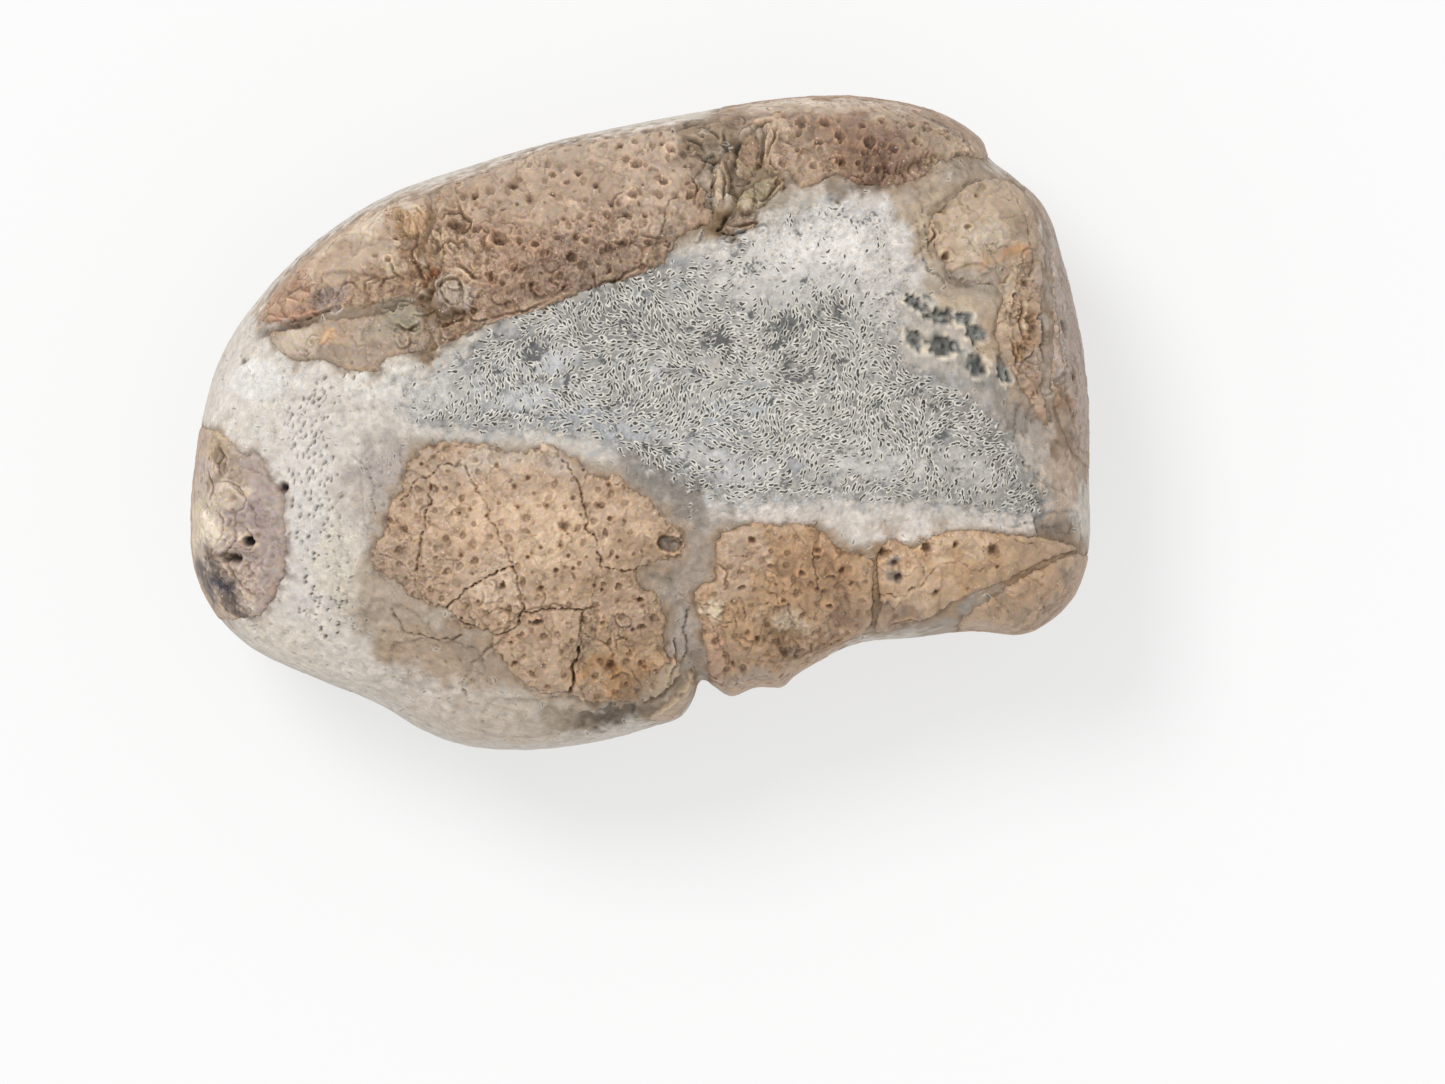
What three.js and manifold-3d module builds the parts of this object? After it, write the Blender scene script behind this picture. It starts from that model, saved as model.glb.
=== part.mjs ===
// A beach-worn nodule with both claw limbs of a fossil lobster lying on its upper face.
// Millimetres, +Z up. X runs along the stone, and the origin is under its middle, where it rests.

import * as THREE from 'three';
import { mergeVertices } from 'three/addons/utils/BufferGeometryUtils.js';
import Module from 'manifold-3d';

const wasm = await Module();
wasm.setup();

// ---- Driving dimensions ---------------------------------------------------------------------

const RIM_HEIGHT = 9.5; // height of the widest outline above the resting flat
const TOP_RISE = 11.0; // from that outline up to the crown, before the relief is added
const BOTTOM_DROP = 9.9; // a little more than RIM_HEIGHT, so that the base is worn to a flat
const FULLNESS = 2.5; // exponent of the stone's cross-section: 2 is an ellipse, more is boxier
const CROWDING = 0.25; // how far the facets are drawn up on to the upper face
const STONE_DETAIL = 7; // subdivision of the stone
const PLATE_DETAIL = 8; // subdivision of the plates
const LUMP_HEIGHT = 0.13; // unevenness of the stone, met by its facets

const SHELL = 1.1; // depth of a plate's edge below the face of the stone
const PROUD = 0.2; // height of a plate above the face of the stone
const GAP = 0.3; // clearance between a plate's edge and its socket
const SOCKET_DEPTH = SHELL + 2 * GAP;
const CRACK_DEPTH = 0.5;
const CRACK_WIDTH = 0.4;
const OUTLINE_STEP = 1.6; // length of a straight facet along an outline
const FEWEST_POINTS = 8; // along the outline of the smallest plates
const CUTTER_RISE = 9; // reach of a cutter above the face
const PIT_SIDES = 4;
const KNOB_SIDES = 5;
const STUD_RADIUS = 0.4; // size of a knob or pit
const STUD_MARGIN = 0.9; // distance of its middle from an outline

// ---- The stone's outline, and the broad relief of its upper face ------------------------------

const STONE_OUTLINE = [
  [-23.9, -5.2], [-23.7, -2.5], [-23.2, 0.6], [-22.2, 3.7], [-20.0, 6.9], [-17.0, 9.8],
  [-13.3, 12.1], [-9.0, 13.6], [-5.0, 14.8], [0.0, 15.9], [5.0, 16.8], [8.0, 17.2], [11.0, 17.3],
  [14.2, 16.9], [16.8, 16.0], [18.3, 14.6], [19.8, 13.1], [21.6, 11.2], [22.5, 8.5], [23.3, 5.2],
  [23.8, 1.6], [23.9, -3.0], [23.9, -6.8], [23.3, -8.8], [22.3, -10.3], [20.4, -11.3],
  [18.0, -11.1], [14.5, -11.5], [11.6, -11.8], [9.2, -12.8], [7.6, -14.0], [6.2, -14.1],
  [4.8, -14.5], [3.2, -13.9], [2.4, -15.2], [0.8, -16.2], [-1.6, -16.9], [-5.4, -17.45],
  [-9.0, -17.3], [-11.4, -16.5], [-14.0, -15.0], [-17.4, -13.6], [-20.6, -12.1], [-22.6, -10.2],
  [-23.7, -7.8],
];

// Each swell is a smooth mound (or a hollow, where its height is negative) with its half-length,
// half-width and turn in degrees.
const SWELLS = [
  { x: -3.5, y: 10.3, along: 8.0, across: 3.6, turn: 22, height: 0.9 }, // upper palm
  { x: -15.0, y: 8.4, along: 5.5, across: 2.0, turn: 36, height: 0.5 }, // movable finger
  { x: 12.5, y: 15.0, along: 5.5, across: 2.4, turn: -5, height: 0.6 }, // arm
  { x: 19.0, y: 8.6, along: 2.8, across: 5.5, turn: 0, height: 0.6 }, // shoulder
  { x: -5.5, y: -8.4, along: 7.0, across: 5.2, turn: -12, height: 1.1 }, // second palm
  { x: 7.8, y: -9.6, along: 4.5, across: 3.6, turn: -20, height: 0.8 }, // second wrist
  { x: 18.0, y: -8.0, along: 5.5, across: 2.0, turn: -2, height: 0.6 }, // second arm
  { x: -21.0, y: -5.6, along: 2.2, across: 4.0, turn: 8, height: 0.4 }, // leg
  { x: 8.0, y: 2.2, along: 12.0, across: 4.2, turn: 2, height: -1.3 }, // trough between the claws
  { x: 10.0, y: 8.6, along: 3.6, across: 3.0, turn: 0, height: -0.5 }, // core under the arm
  { x: 4.0, y: 13.8, along: 1.3, across: 2.2, turn: 20, height: -0.9 }, // broken wrist
  { x: 23.4, y: -4.0, along: 1.8, across: 2.6, turn: 0, height: -0.8 }, // worn right end
  { x: 2.6, y: -12.0, along: 1.2, across: 3.0, turn: 10, height: -0.8 }, // between palm and wrist
];

// ---- Plates: outlines, knobs, pits and cracks ----------------------------------------------------

// An outline that runs past the stone's rim carries on as far down its flank.
// Knobs and pits are spread over a plate at a spacing, and `pitted` is the share that are pits.
// A small plate is a splinter with one flat face.
const PLATES = {
  claw_palm: {
    colour: 0xae9580,
    outline: [
      [-10.9, 12.1], [-9.0, 13.0], [-6.5, 14.1], [-3.5, 14.9], [0.0, 15.2], [2.1, 15.4],
      [2.6, 14.5], [3.5, 13.8], [3.1, 12.8], [3.5, 11.7], [4.0, 10.8], [2.5, 9.9],
      [1.3, 8.2], [-0.6, 7.5], [-3.0, 6.8], [-5.0, 5.9], [-7.5, 5.2], [-9.2, 4.4],
      [-10.9, 3.9], [-10.8, 5.3], [-10.8, 6.8], [-11.4, 8.3], [-11.3, 9.6], [-10.8, 10.8],
    ],
    spacing: 2.1,
    pitted: 0.35,
  },
  movable_finger: {
    colour: 0xaa9682,
    outline: [
      [-20.3, 5.4], [-18.9, 7.7], [-16.6, 9.7], [-14.0, 11.2], [-11.1, 12.0], [-11.1, 10.6],
      [-11.7, 9.2], [-11.5, 7.6], [-11.8, 6.6], [-14.0, 6.1], [-17.0, 5.7], [-19.2, 5.2],
    ],
    spacing: 2.4,
    pitted: 0.4,
  },
  fixed_finger: {
    colour: 0xb5a18d,
    outline: [
      [-19.7, 4.6], [-17.6, 5.0], [-14.4, 5.6], [-12.2, 6.0], [-11.2, 5.9], [-11.2, 3.8],
      [-12.8, 3.4], [-13.9, 2.5], [-15.6, 2.7], [-17.6, 3.0], [-19.0, 3.7],
    ],
  },
  wrist_strip: {
    colour: 0xc9b9a4,
    small: true,
    outline: [[4.0, 13.2], [3.9, 12.0], [4.1, 11.2], [4.6, 12.0], [4.8, 13.0], [4.5, 13.9]],
  },
  wrist_oval: {
    colour: 0xa48b72,
    small: true,
    outline: [[5.3, 14.4], [5.1, 13.2], [5.7, 12.9], [6.3, 13.2], [6.4, 14.6], [6.1, 15.2], [5.6, 15.0]],
  },
  wrist_scale: {
    colour: 0x9a8f74,
    small: true,
    outline: [[6.2, 12.7], [7.7, 12.8], [7.6, 12.1], [6.7, 11.3], [5.5, 11.0], [5.1, 11.6], [5.5, 12.3]],
  },
  wrist_splinter: {
    colour: 0xa08d78,
    small: true,
    outline: [[4.4, 9.9], [4.6, 10.6], [5.3, 10.8], [6.3, 10.6], [6.2, 10.0], [5.3, 9.9]],
  },
  arm_plate: {
    colour: 0x977d68,
    outline: [
      [6.6, 13.1], [6.6, 14.8], [6.2, 15.7], [4.8, 15.5], [4.0, 16.2], [5.4, 17.6], [8.2, 18.8],
      [12.4, 19.0], [16.4, 17.8], [18.6, 15.9], [18.5, 14.1], [17.2, 14.0], [15.8, 13.5],
      [14.4, 12.6], [12.4, 12.3], [10.6, 12.9], [8.6, 12.4], [7.9, 13.2],
    ],
    spacing: 1.9,
    pitted: 0.15,
  },
  shoulder_plate: {
    colour: 0xbca58b,
    outline: [
      [17.9, 12.9], [19.8, 12.7], [20.8, 11.4], [21.4, 9.6], [21.5, 7.0], [21.3, 4.3],
      [21.4, 1.8], [21.7, -0.4], [20.4, 1.4], [19.6, 3.0], [18.9, 4.6], [19.1, 6.4],
      [17.8, 7.4], [16.1, 8.2], [15.3, 9.8], [15.5, 11.2], [16.8, 12.2],
    ],
    spacing: 2.7,
    pitted: 1,
  },
  side_plate: {
    colour: 0xa59386,
    outline: [
      [20.4, 12.2], [21.3, 11.1], [21.8, 9.0], [21.9, 5.0], [21.9, 1.2], [22.6, -1.0],
      [24.0, -2.6], [26.8, -2.4], [28.2, 1.0], [27.6, 6.0], [26.0, 10.4], [23.6, 13.2], [21.6, 13.6],
    ],
    spacing: 2.7,
    pitted: 1,
  },
  second_palm: {
    colour: 0xb8a089,
    outline: [
      [-10.6, -1.1], [-8.0, -1.2], [-5.6, -1.7], [-3.9, -1.9], [-2.4, -2.7], [-0.8, -3.1],
      [0.6, -4.1], [1.4, -5.3], [2.3, -6.1], [2.3, -7.0], [0.9, -7.5], [-0.1, -8.1],
      [0.2, -8.8], [1.1, -9.4], [1.5, -10.8], [1.5, -12.2], [2.2, -13.1], [1.0, -14.5],
      [-1.4, -14.9], [-4.4, -14.7], [-6.6, -13.6], [-7.9, -11.9], [-10.0, -10.8], [-10.5, -9.8],
      [-12.3, -9.0], [-14.2, -7.6], [-14.0, -6.2], [-13.3, -4.5], [-12.6, -3.0], [-11.7, -1.7],
    ],
    spacing: 2.3,
    pitted: 0.8,
    cracks: [
      [[-12.6, -4.0], [-11.4, -3.0], [-9.9, -2.2]],
      [[-11.0, -4.0], [-11.4, -6.0], [-11.8, -7.8]],
      [[-8.8, -3.0], [-8.0, -5.4], [-6.9, -7.6], [-6.3, -9.8], [-7.8, -11.4]],
      [[-9.9, -9.5], [-8.4, -8.3], [-7.3, -7.8]],
      [[-5.8, -9.95], [-4.2, -9.95], [-2.6, -9.95]],
      [[-3.9, -2.5], [-3.0, -4.0], [-2.6, -6.0], [-1.8, -7.6], [-0.6, -7.8]],
      [[-3.3, -10.4], [-3.2, -11.7], [-3.8, -14.0]],
    ],
  },
  second_wrist: {
    colour: 0x9f8168,
    outline: [
      [4.2, -6.0], [5.8, -5.5], [8.2, -5.4], [9.8, -6.0], [11.0, -6.9], [12.1, -7.2],
      [12.2, -8.4], [11.9, -9.6], [12.2, -10.6], [11.2, -11.6], [9.8, -12.8], [8.4, -15.0],
      [5.2, -15.8], [3.8, -14.4], [3.3, -11.8], [2.8, -9.8], [3.2, -8.8], [4.0, -8.2], [4.0, -7.0],
    ],
    beside: ['shell_chip'],
    spacing: 1.9,
    pitted: 0.3,
  },
  shell_chip: {
    colour: 0xd8cdbb,
    small: true,
    outline: [[3.1, -9.0], [4.1, -8.5], [4.2, -9.3], [4.7, -10.1], [4.3, -10.8], [3.7, -10.3]],
  },
  second_arm: {
    colour: 0xb3977b,
    outline: [
      [12.6, -6.8], [13.6, -6.2], [15.2, -6.2], [17.2, -5.7], [19.4, -5.9], [21.6, -6.2],
      [23.3, -6.8], [21.8, -7.3], [19.8, -8.1], [17.4, -9.2], [15.6, -10.3], [13.2, -10.8],
      [12.7, -9.0],
    ],
    spacing: 2.1,
    pitted: 0.6,
  },
  second_arm_fragment: {
    colour: 0xa58d76,
    outline: [
      [16.9, -10.6], [18.4, -9.8], [19.8, -8.8], [21.6, -7.9], [23.3, -7.4], [26.2, -8.4],
      [25.4, -11.2], [22.8, -13.2], [19.8, -13.4], [17.4, -12.2],
    ],
  },
  flank_splinter: {
    colour: 0xb49c80,
    small: true,
    outline: [[2.6, -13.3], [2.9, -14.0], [2.3, -15.0], [1.4, -15.8], [0.4, -15.9], [0.9, -15.2], [1.9, -14.2]],
  },
  leg_section: {
    colour: 0xb7a892,
    outline: [
      [-22.6, -0.3], [-21.6, -1.1], [-20.0, -1.7], [-19.2, -3.2], [-18.8, -5.2], [-18.8, -7.6],
      [-19.4, -9.5], [-20.4, -10.4], [-22.2, -10.6], [-24.8, -10.8], [-26.8, -8.8], [-27.6, -5.2],
      [-26.8, -1.8], [-24.6, -0.3],
    ],
    spacing: 2.5,
    pitted: 1,
  },
};

// The worm-eaten core between the claws, and the cells of spongy filling beside the shoulder.
const CORE_OUTLINE = [
  [-11.4, 1.4], [-6.5, 4.4], [-1.0, 6.6], [3.0, 8.8], [7.4, 10.8], [12.6, 11.0], [13.6, 6.8],
  [13.6, 2.4], [18.6, 1.4], [21.4, -3.0], [19.6, -4.6], [11.0, -4.2], [4.4, -4.0], [0.6, -2.6],
  [-5.0, -0.4], [-11.4, -0.4],
];
const CORE_SPACING = 2.5;
const CELLS = [[14.7, 6.1], [16.0, 5.7], [17.7, 4.7], [14.7, 4.3], [16.0, 4.0], [17.8, 3.0], [19.3, 2.6]];
const CELL_RADIUS = 0.5;
const STONE_COLOUR = 0xc4bab0;

// ---- Outlines ----------------------------------------------------------------------------------

/** A repeatable fraction between 0 and 1 for a pair of numbers. */
function scatter(first, second) {
  const value = Math.sin(first * 127.1 + second * 311.7) * 43758.5453;
  return value - Math.floor(value);
}

/** Evenly spaced points along the smooth curve through a list of corners. */
function curvePoints(corners, step, closed, fewest) {
  const nodes = corners.map(([x, y]) => new THREE.Vector3(x, y, 0));
  const curve = new THREE.CatmullRomCurve3(nodes, closed, 'centripetal');
  const count = Math.max(fewest, Math.round(curve.getLength() / step));
  const points = curve.getSpacedPoints(count).map(point => new THREE.Vector2(point.x, point.y));
  return closed ? points.slice(0, count) : points;
}

/** An outline's points, always anticlockwise. */
function outlinePoints(corners, step = OUTLINE_STEP) {
  const points = curvePoints(corners, step, true, FEWEST_POINTS);
  return THREE.ShapeUtils.isClockWise(points) ? points.reverse() : points;
}

/** A band of even width along a crack's line, as an anticlockwise outline. */
function crackPoints(line) {
  const points = curvePoints(line, OUTLINE_STEP, false, 2);
  const side = shift => points.map((point, index) => {
    const before = points[Math.max(index - 1, 0)];
    const after = points[Math.min(index + 1, points.length - 1)];
    const along = after.clone().sub(before).normalize();
    return new THREE.Vector2(point.x + along.y * shift, point.y - along.x * shift);
  });
  return [...side(CRACK_WIDTH / 2), ...side(-CRACK_WIDTH / 2).reverse()];
}

/** True where a point lies inside an outline, by the even-odd rule. */
function isInside(x, y, points) {
  let inside = false;
  points.forEach((end, index) => {
    const start = points.at(index - 1);
    const crosses = (start.y > y) !== (end.y > y);
    if (crosses && x < start.x + ((y - start.y) / (end.y - start.y)) * (end.x - start.x)) {
      inside = !inside;
    }
  });
  return inside;
}

/** Spots on a jittered grid inside an outline, clear of its edge. */
function spotsInside(corners, spacing) {
  const points = outlinePoints(corners, STUD_MARGIN / 2);
  const box = new THREE.Box2().setFromPoints(points);
  const spots = [];
  for (let row = 0; box.min.y + row * spacing < box.max.y; row += 1) {
    for (let column = 0; box.min.x + column * spacing < box.max.x; column += 1) {
      const jitterX = (row % 2) / 2 + 0.5 * scatter(column, row);
      const jitterY = 0.5 * scatter(row, column);
      const spot = new THREE.Vector2(column + jitterX, row + jitterY).multiplyScalar(spacing).add(box.min);
      const isClear = points.every(point => point.distanceTo(spot) > STUD_MARGIN);
      if (isClear && isInside(spot.x, spot.y, points)) {
        spots.push(spot);
      }
    }
  }
  return spots;
}

// ---- The stone's surface -----------------------------------------------------------------------

const SLOPE_STEP = 0.07; // radians over which a slope is measured
const ANGLE_COUNT = 360;
const ANGLE_STEP = (2 * Math.PI) / ANGLE_COUNT;
const rimPoints = outlinePoints(STONE_OUTLINE, 0.2);

/** Distance from the middle to the stone's outline in a direction. */
function rimDistance(angle) {
  const outward = new THREE.Vector2(Math.cos(angle), Math.sin(angle));
  let distance = 0;
  rimPoints.forEach((end, index) => {
    const start = rimPoints.at(index - 1);
    const along = end.clone().sub(start);
    const share = start.cross(outward) / outward.cross(along);
    const crossing = start.clone().addScaledVector(along, share);
    if (share >= 0 && share <= 1 && crossing.dot(outward) > 0) {
      distance = Math.max(distance, crossing.length());
    }
  });
  return distance;
}

/** Evens out a ring of distances over a number of steps to each side. */
function calm(distances, steps) {
  return distances.map((_, index) => {
    let sum = 0;
    for (let shift = -steps; shift <= steps; shift += 1) {
      sum += distances[(index + shift + ANGLE_COUNT) % ANGLE_COUNT];
    }
    return sum / (2 * steps + 1);
  });
}

const measuredRim = Array.from({ length: ANGLE_COUNT }, (_, index) => rimDistance(index * ANGLE_STEP));
const sharpRim = calm(measuredRim, 1);
const calmRim = calm(measuredRim, 14);

function lookUp(ring, angle) {
  const place = (angle / ANGLE_STEP + ANGLE_COUNT) % ANGLE_COUNT;
  const index = Math.floor(place);
  return THREE.MathUtils.lerp(ring[index % ANGLE_COUNT], ring[(index + 1) % ANGLE_COUNT], place - index);
}

/** The stone's radius at an angle: its notches fade from the rim inwards. */
function stoneRadius(angle, reach) {
  const detail = THREE.MathUtils.smoothstep(reach, 0.5, 1);
  return THREE.MathUtils.lerp(lookUp(calmRim, angle), lookUp(sharpRim, angle), detail);
}

/** Height that the swells add to the upper face. */
function relief(x, y) {
  return SWELLS.reduce((sum, swell) => {
    const turn = THREE.MathUtils.degToRad(swell.turn);
    const along = ((x - swell.x) * Math.cos(turn) + (y - swell.y) * Math.sin(turn)) / swell.along;
    const across = ((y - swell.y) * Math.cos(turn) - (x - swell.x) * Math.sin(turn)) / swell.across;
    return sum + swell.height * Math.exp(-along * along - across * across);
  }, 0);
}

/** Small unevenness of the stone at a spot on the plan. */
const lumps = (x, y) => LUMP_HEIGHT * (Math.sin(1.7 * x + 0.6 * y) + Math.sin(1.9 * y - 0.9 * x));

/** A point `proud` of the stone's surface; the tilt is 0 at the crown and 180 degrees underneath. */
function stonePoint(angle, tilt, proud) {
  const [sine, cosine] = [Math.sin(tilt), Math.cos(tilt)];
  const size = (sine ** FULLNESS + Math.abs(cosine) ** FULLNESS) ** (-1 / FULLNESS);
  const reach = sine * size;
  const radius = stoneRadius(angle, reach);
  const outward = new THREE.Vector2(Math.cos(angle), Math.sin(angle));
  const face = outward.clone().multiplyScalar(reach * radius);
  const swell = lumps(face.x, face.y) + (cosine > 0 ? relief(face.x, face.y) : 0);
  const height = (cosine > 0 ? TOP_RISE : BOTTOM_DROP) + swell + proud;
  const z = Math.max(RIM_HEIGHT + cosine * size * height, 0);
  return new THREE.Vector3(outward.x, outward.y, 0).multiplyScalar(reach * (radius + proud)).setZ(z);
}

/** The other leg of a unit superellipse's corner: the rise for a reach, or the reach for a rise. */
const otherLeg = leg => (1 - leg ** FULLNESS) ** (1 / FULLNESS);

/** The tilt of a spot on the plan. A spot past the rim lies as far down the flank below it. */
function tiltAt(angle, distance) {
  const past = distance - stoneRadius(angle, 1);
  if (past > 0) {
    const drop = past / BOTTOM_DROP;
    return Math.atan2(otherLeg(drop), -drop);
  }
  let reach = 1;
  for (let pass = 0; pass < 5; pass += 1) {
    reach = Math.min(distance / stoneRadius(angle, reach), 1);
  }
  return Math.atan2(reach, otherLeg(reach));
}

/** The stone's surface at a spot on the plan: its place, and the direction straight out of it. */
function surfaceAt({ x, y }) {
  const angle = Math.atan2(y, x);
  const tilt = tiltAt(angle, Math.max(Math.hypot(x, y), 0.01));
  const across = stonePoint(angle + SLOPE_STEP, tilt, 0).sub(stonePoint(angle - SLOPE_STEP, tilt, 0));
  const upper = stonePoint(angle, Math.max(tilt - SLOPE_STEP, 0), 0);
  const down = stonePoint(angle, tilt + SLOPE_STEP, 0).sub(upper);
  return { place: stonePoint(angle, tilt, 0), outward: down.cross(across).normalize() };
}

// ---- Solids ------------------------------------------------------------------------------------

/** A geometry with nothing but its shared points, ready to be moved about and made solid. */
function bare(geometry) {
  geometry.deleteAttribute('normal');
  geometry.deleteAttribute('uv');
  return mergeVertices(geometry, 1e-5);
}

function toSolid(geometry) {
  return new wasm.Manifold(new wasm.Mesh({
    numProp: 3,
    vertProperties: new Float32Array(geometry.attributes.position.array),
    triVerts: new Uint32Array(geometry.index.array),
  }));
}

function toMesh(name, solid, colour) {
  const { vertProperties, triVerts } = solid.getMesh();
  const geometry = new THREE.BufferGeometry();
  geometry.setAttribute('position', new THREE.BufferAttribute(vertProperties, 3));
  geometry.setIndex(new THREE.BufferAttribute(triVerts, 1));
  geometry.computeVertexNormals();
  const material = new THREE.MeshStandardMaterial({ color: colour, roughness: 0.85, metalness: 0 });
  const mesh = new THREE.Mesh(geometry, material);
  mesh.name = name;
  return mesh;
}

/** The whole stone, or a larger one by `proud`, from a sphere whose points are moved out to it. */
function stoneBody(proud, detail) {
  const geometry = bare(new THREE.IcosahedronGeometry(1, detail));
  const positions = geometry.attributes.position;
  const point = new THREE.Vector3();
  for (let index = 0; index < positions.count; index += 1) {
    point.fromBufferAttribute(positions, index);
    const tilt = Math.acos(THREE.MathUtils.clamp(point.z, -1, 1));
    const moved = stonePoint(Math.atan2(point.y, point.x), tilt - CROWDING * Math.sin(tilt), proud);
    positions.setXYZ(index, moved.x, moved.y, moved.z);
  }
  return toSolid(geometry);
}

/** A block that stands square on the stone's surface along an outline, grown by `margin`. */
function cutter(points, margin, depth, rise = CUTTER_RISE) {
  const surfaces = points.map(surfaceAt);
  const sides = surfaces.map(({ place, outward }, index) => {
    const before = surfaces.at(index - 1).place;
    const after = surfaces[(index + 1) % surfaces.length].place;
    const sideways = after.clone().sub(before).cross(outward).normalize();
    const edge = place.clone().addScaledVector(sideways, margin);
    return [-depth, rise].map(height => edge.clone().addScaledVector(outward, height));
  });
  const geometry = bare(new THREE.ExtrudeGeometry(new THREE.Shape(points), { depth: 1, bevelEnabled: false }));
  const positions = geometry.attributes.position;
  for (let index = 0; index < positions.count; index += 1) {
    const corner = new THREE.Vector2(positions.getX(index), positions.getY(index));
    const side = sides[points.findIndex(point => point.distanceTo(corner) < 1e-4)];
    positions.setXYZ(index, ...side[positions.getZ(index) > 0.5 ? 1 : 0]);
  }
  return toSolid(geometry);
}

/** Stands a small upright geometry square on the surface, turned at random, its middle at `height`. */
function stand(upright, spot, height) {
  const { place, outward } = surfaceAt(spot);
  const geometry = bare(upright);
  geometry.rotateY(scatter(spot.x, spot.y) * Math.PI);
  geometry.applyQuaternion(new THREE.Quaternion().setFromUnitVectors(new THREE.Vector3(0, 1, 0), outward));
  return toSolid(geometry.translate(...place.addScaledVector(outward, height)));
}

/** A cone with its point in the stone, which leaves a pit about `radius` wide and deep. */
function pit(spot, radius) {
  const cone = new THREE.ConeGeometry(2 * radius, 2.4 * radius, PIT_SIDES).rotateX(Math.PI);
  return stand(cone, spot, 0.1 * radius);
}

/** A low knob with a narrower top. */
function knob(spot, radius) {
  const frustum = new THREE.CylinderGeometry(0.55 * radius, 1.4 * radius, 1.6 * radius, KNOB_SIDES);
  return stand(frustum, spot, PROUD - 0.1 * radius);
}

// ---- The object ---------------------------------------------------------------------------------

const plateFace = stoneBody(PROUD, PLATE_DETAIL);
const plateBlock = plate => cutter(outlinePoints(plate.outline), -GAP / 2, SHELL);
const socket = plate => cutter(outlinePoints(plate.outline), GAP / 2, SOCKET_DEPTH);

/** One plate of shell, with its knobs, pits and cracks. */
function buildPlate(plate) {
  if (plate.small) {
    return cutter(outlinePoints(plate.outline), -GAP / 2, SHELL, PROUD);
  }
  let solid = plateBlock(plate).intersect(plateFace);
  for (const line of plate.cracks ?? []) {
    solid = solid.subtract(cutter(crackPoints(line), 0, CRACK_DEPTH));
  }
  for (const spot of spotsInside(plate.outline, plate.spacing ?? Infinity)) {
    const isPit = scatter(spot.y, spot.x) < plate.pitted;
    solid = isPit ? solid.subtract(pit(spot, STUD_RADIUS)) : solid.add(knob(spot, STUD_RADIUS));
  }
  for (const neighbour of plate.beside ?? []) {
    solid = solid.subtract(socket(PLATES[neighbour]));
  }
  return solid;
}

/** The stone, with a socket for each plate, the pitted core and the little cells. */
function buildStone() {
  let solid = stoneBody(0, STONE_DETAIL);
  for (const plate of Object.values(PLATES)) {
    // The block itself is cut out too, because its sharpest corners reach past the socket.
    solid = solid.subtract(socket(plate)).subtract(plateBlock(plate));
  }
  for (const spot of spotsInside(CORE_OUTLINE, CORE_SPACING)) {
    solid = solid.subtract(pit(spot, STUD_RADIUS));
  }
  for (const [x, y] of CELLS) {
    solid = solid.subtract(pit({ x, y }, CELL_RADIUS));
  }
  return solid;
}

const fossil = new THREE.Group();
fossil.add(toMesh('nodule_matrix', buildStone(), STONE_COLOUR));
for (const [name, plate] of Object.entries(PLATES)) {
  fossil.add(toMesh(name, buildPlate(plate), plate.colour));
}

export default fossil;
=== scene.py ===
"""The looks of a beach-worn nodule with both claw limbs of a fossil lobster on its upper face.

Lengths are in millimetres until a mesh is made, and X, Y and Z are the frame's own. A spot on the
stone is named by its place on a chart: the plan seen from above, which past the rim carries on as
far down the flank. Relief and colour are drawn on sheets spread over the chart, one set for the
stone and one for the shell, and each piece's mesh reads them where it lies.
"""

import bmesh
import bpy
import numpy as np
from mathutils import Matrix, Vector


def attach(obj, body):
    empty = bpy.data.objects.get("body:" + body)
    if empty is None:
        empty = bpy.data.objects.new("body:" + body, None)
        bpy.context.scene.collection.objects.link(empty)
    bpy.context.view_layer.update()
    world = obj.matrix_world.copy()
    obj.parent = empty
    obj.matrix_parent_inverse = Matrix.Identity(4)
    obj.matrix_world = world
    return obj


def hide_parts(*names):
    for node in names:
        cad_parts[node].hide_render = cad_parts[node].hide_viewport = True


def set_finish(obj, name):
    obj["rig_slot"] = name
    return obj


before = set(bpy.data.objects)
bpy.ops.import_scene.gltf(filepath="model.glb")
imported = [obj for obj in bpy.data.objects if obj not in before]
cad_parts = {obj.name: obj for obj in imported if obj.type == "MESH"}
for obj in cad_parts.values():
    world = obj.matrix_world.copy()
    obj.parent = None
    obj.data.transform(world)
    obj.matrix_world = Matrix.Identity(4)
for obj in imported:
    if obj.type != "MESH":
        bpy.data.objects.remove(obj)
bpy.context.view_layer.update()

MM = 0.001
SEED = 7

# ---- The stone's smooth shape, as in the frame ----------------------------------------------------

RIM_HEIGHT = 9.5  # height of the widest outline above the resting flat
TOP_RISE = 11.0  # from that outline up to the crown, before the relief is added
BOTTOM_DROP = 9.9  # a little more than RIM_HEIGHT, so that the base is worn to a flat
FULLNESS = 2.5  # exponent of the stone's cross-section
STEEP = 0.45  # below this share of the crown's rise the stone's side is steep
ANGLE_COUNT = 720  # spokes on which the stone's outline is measured
SPAN_POINTS = 12  # points between two corners of a curve before they are spaced evenly
BATCH = 4096  # spots measured against an outline at once
HALVINGS = 30  # steps of the search that undoes `unrolled`

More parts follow.
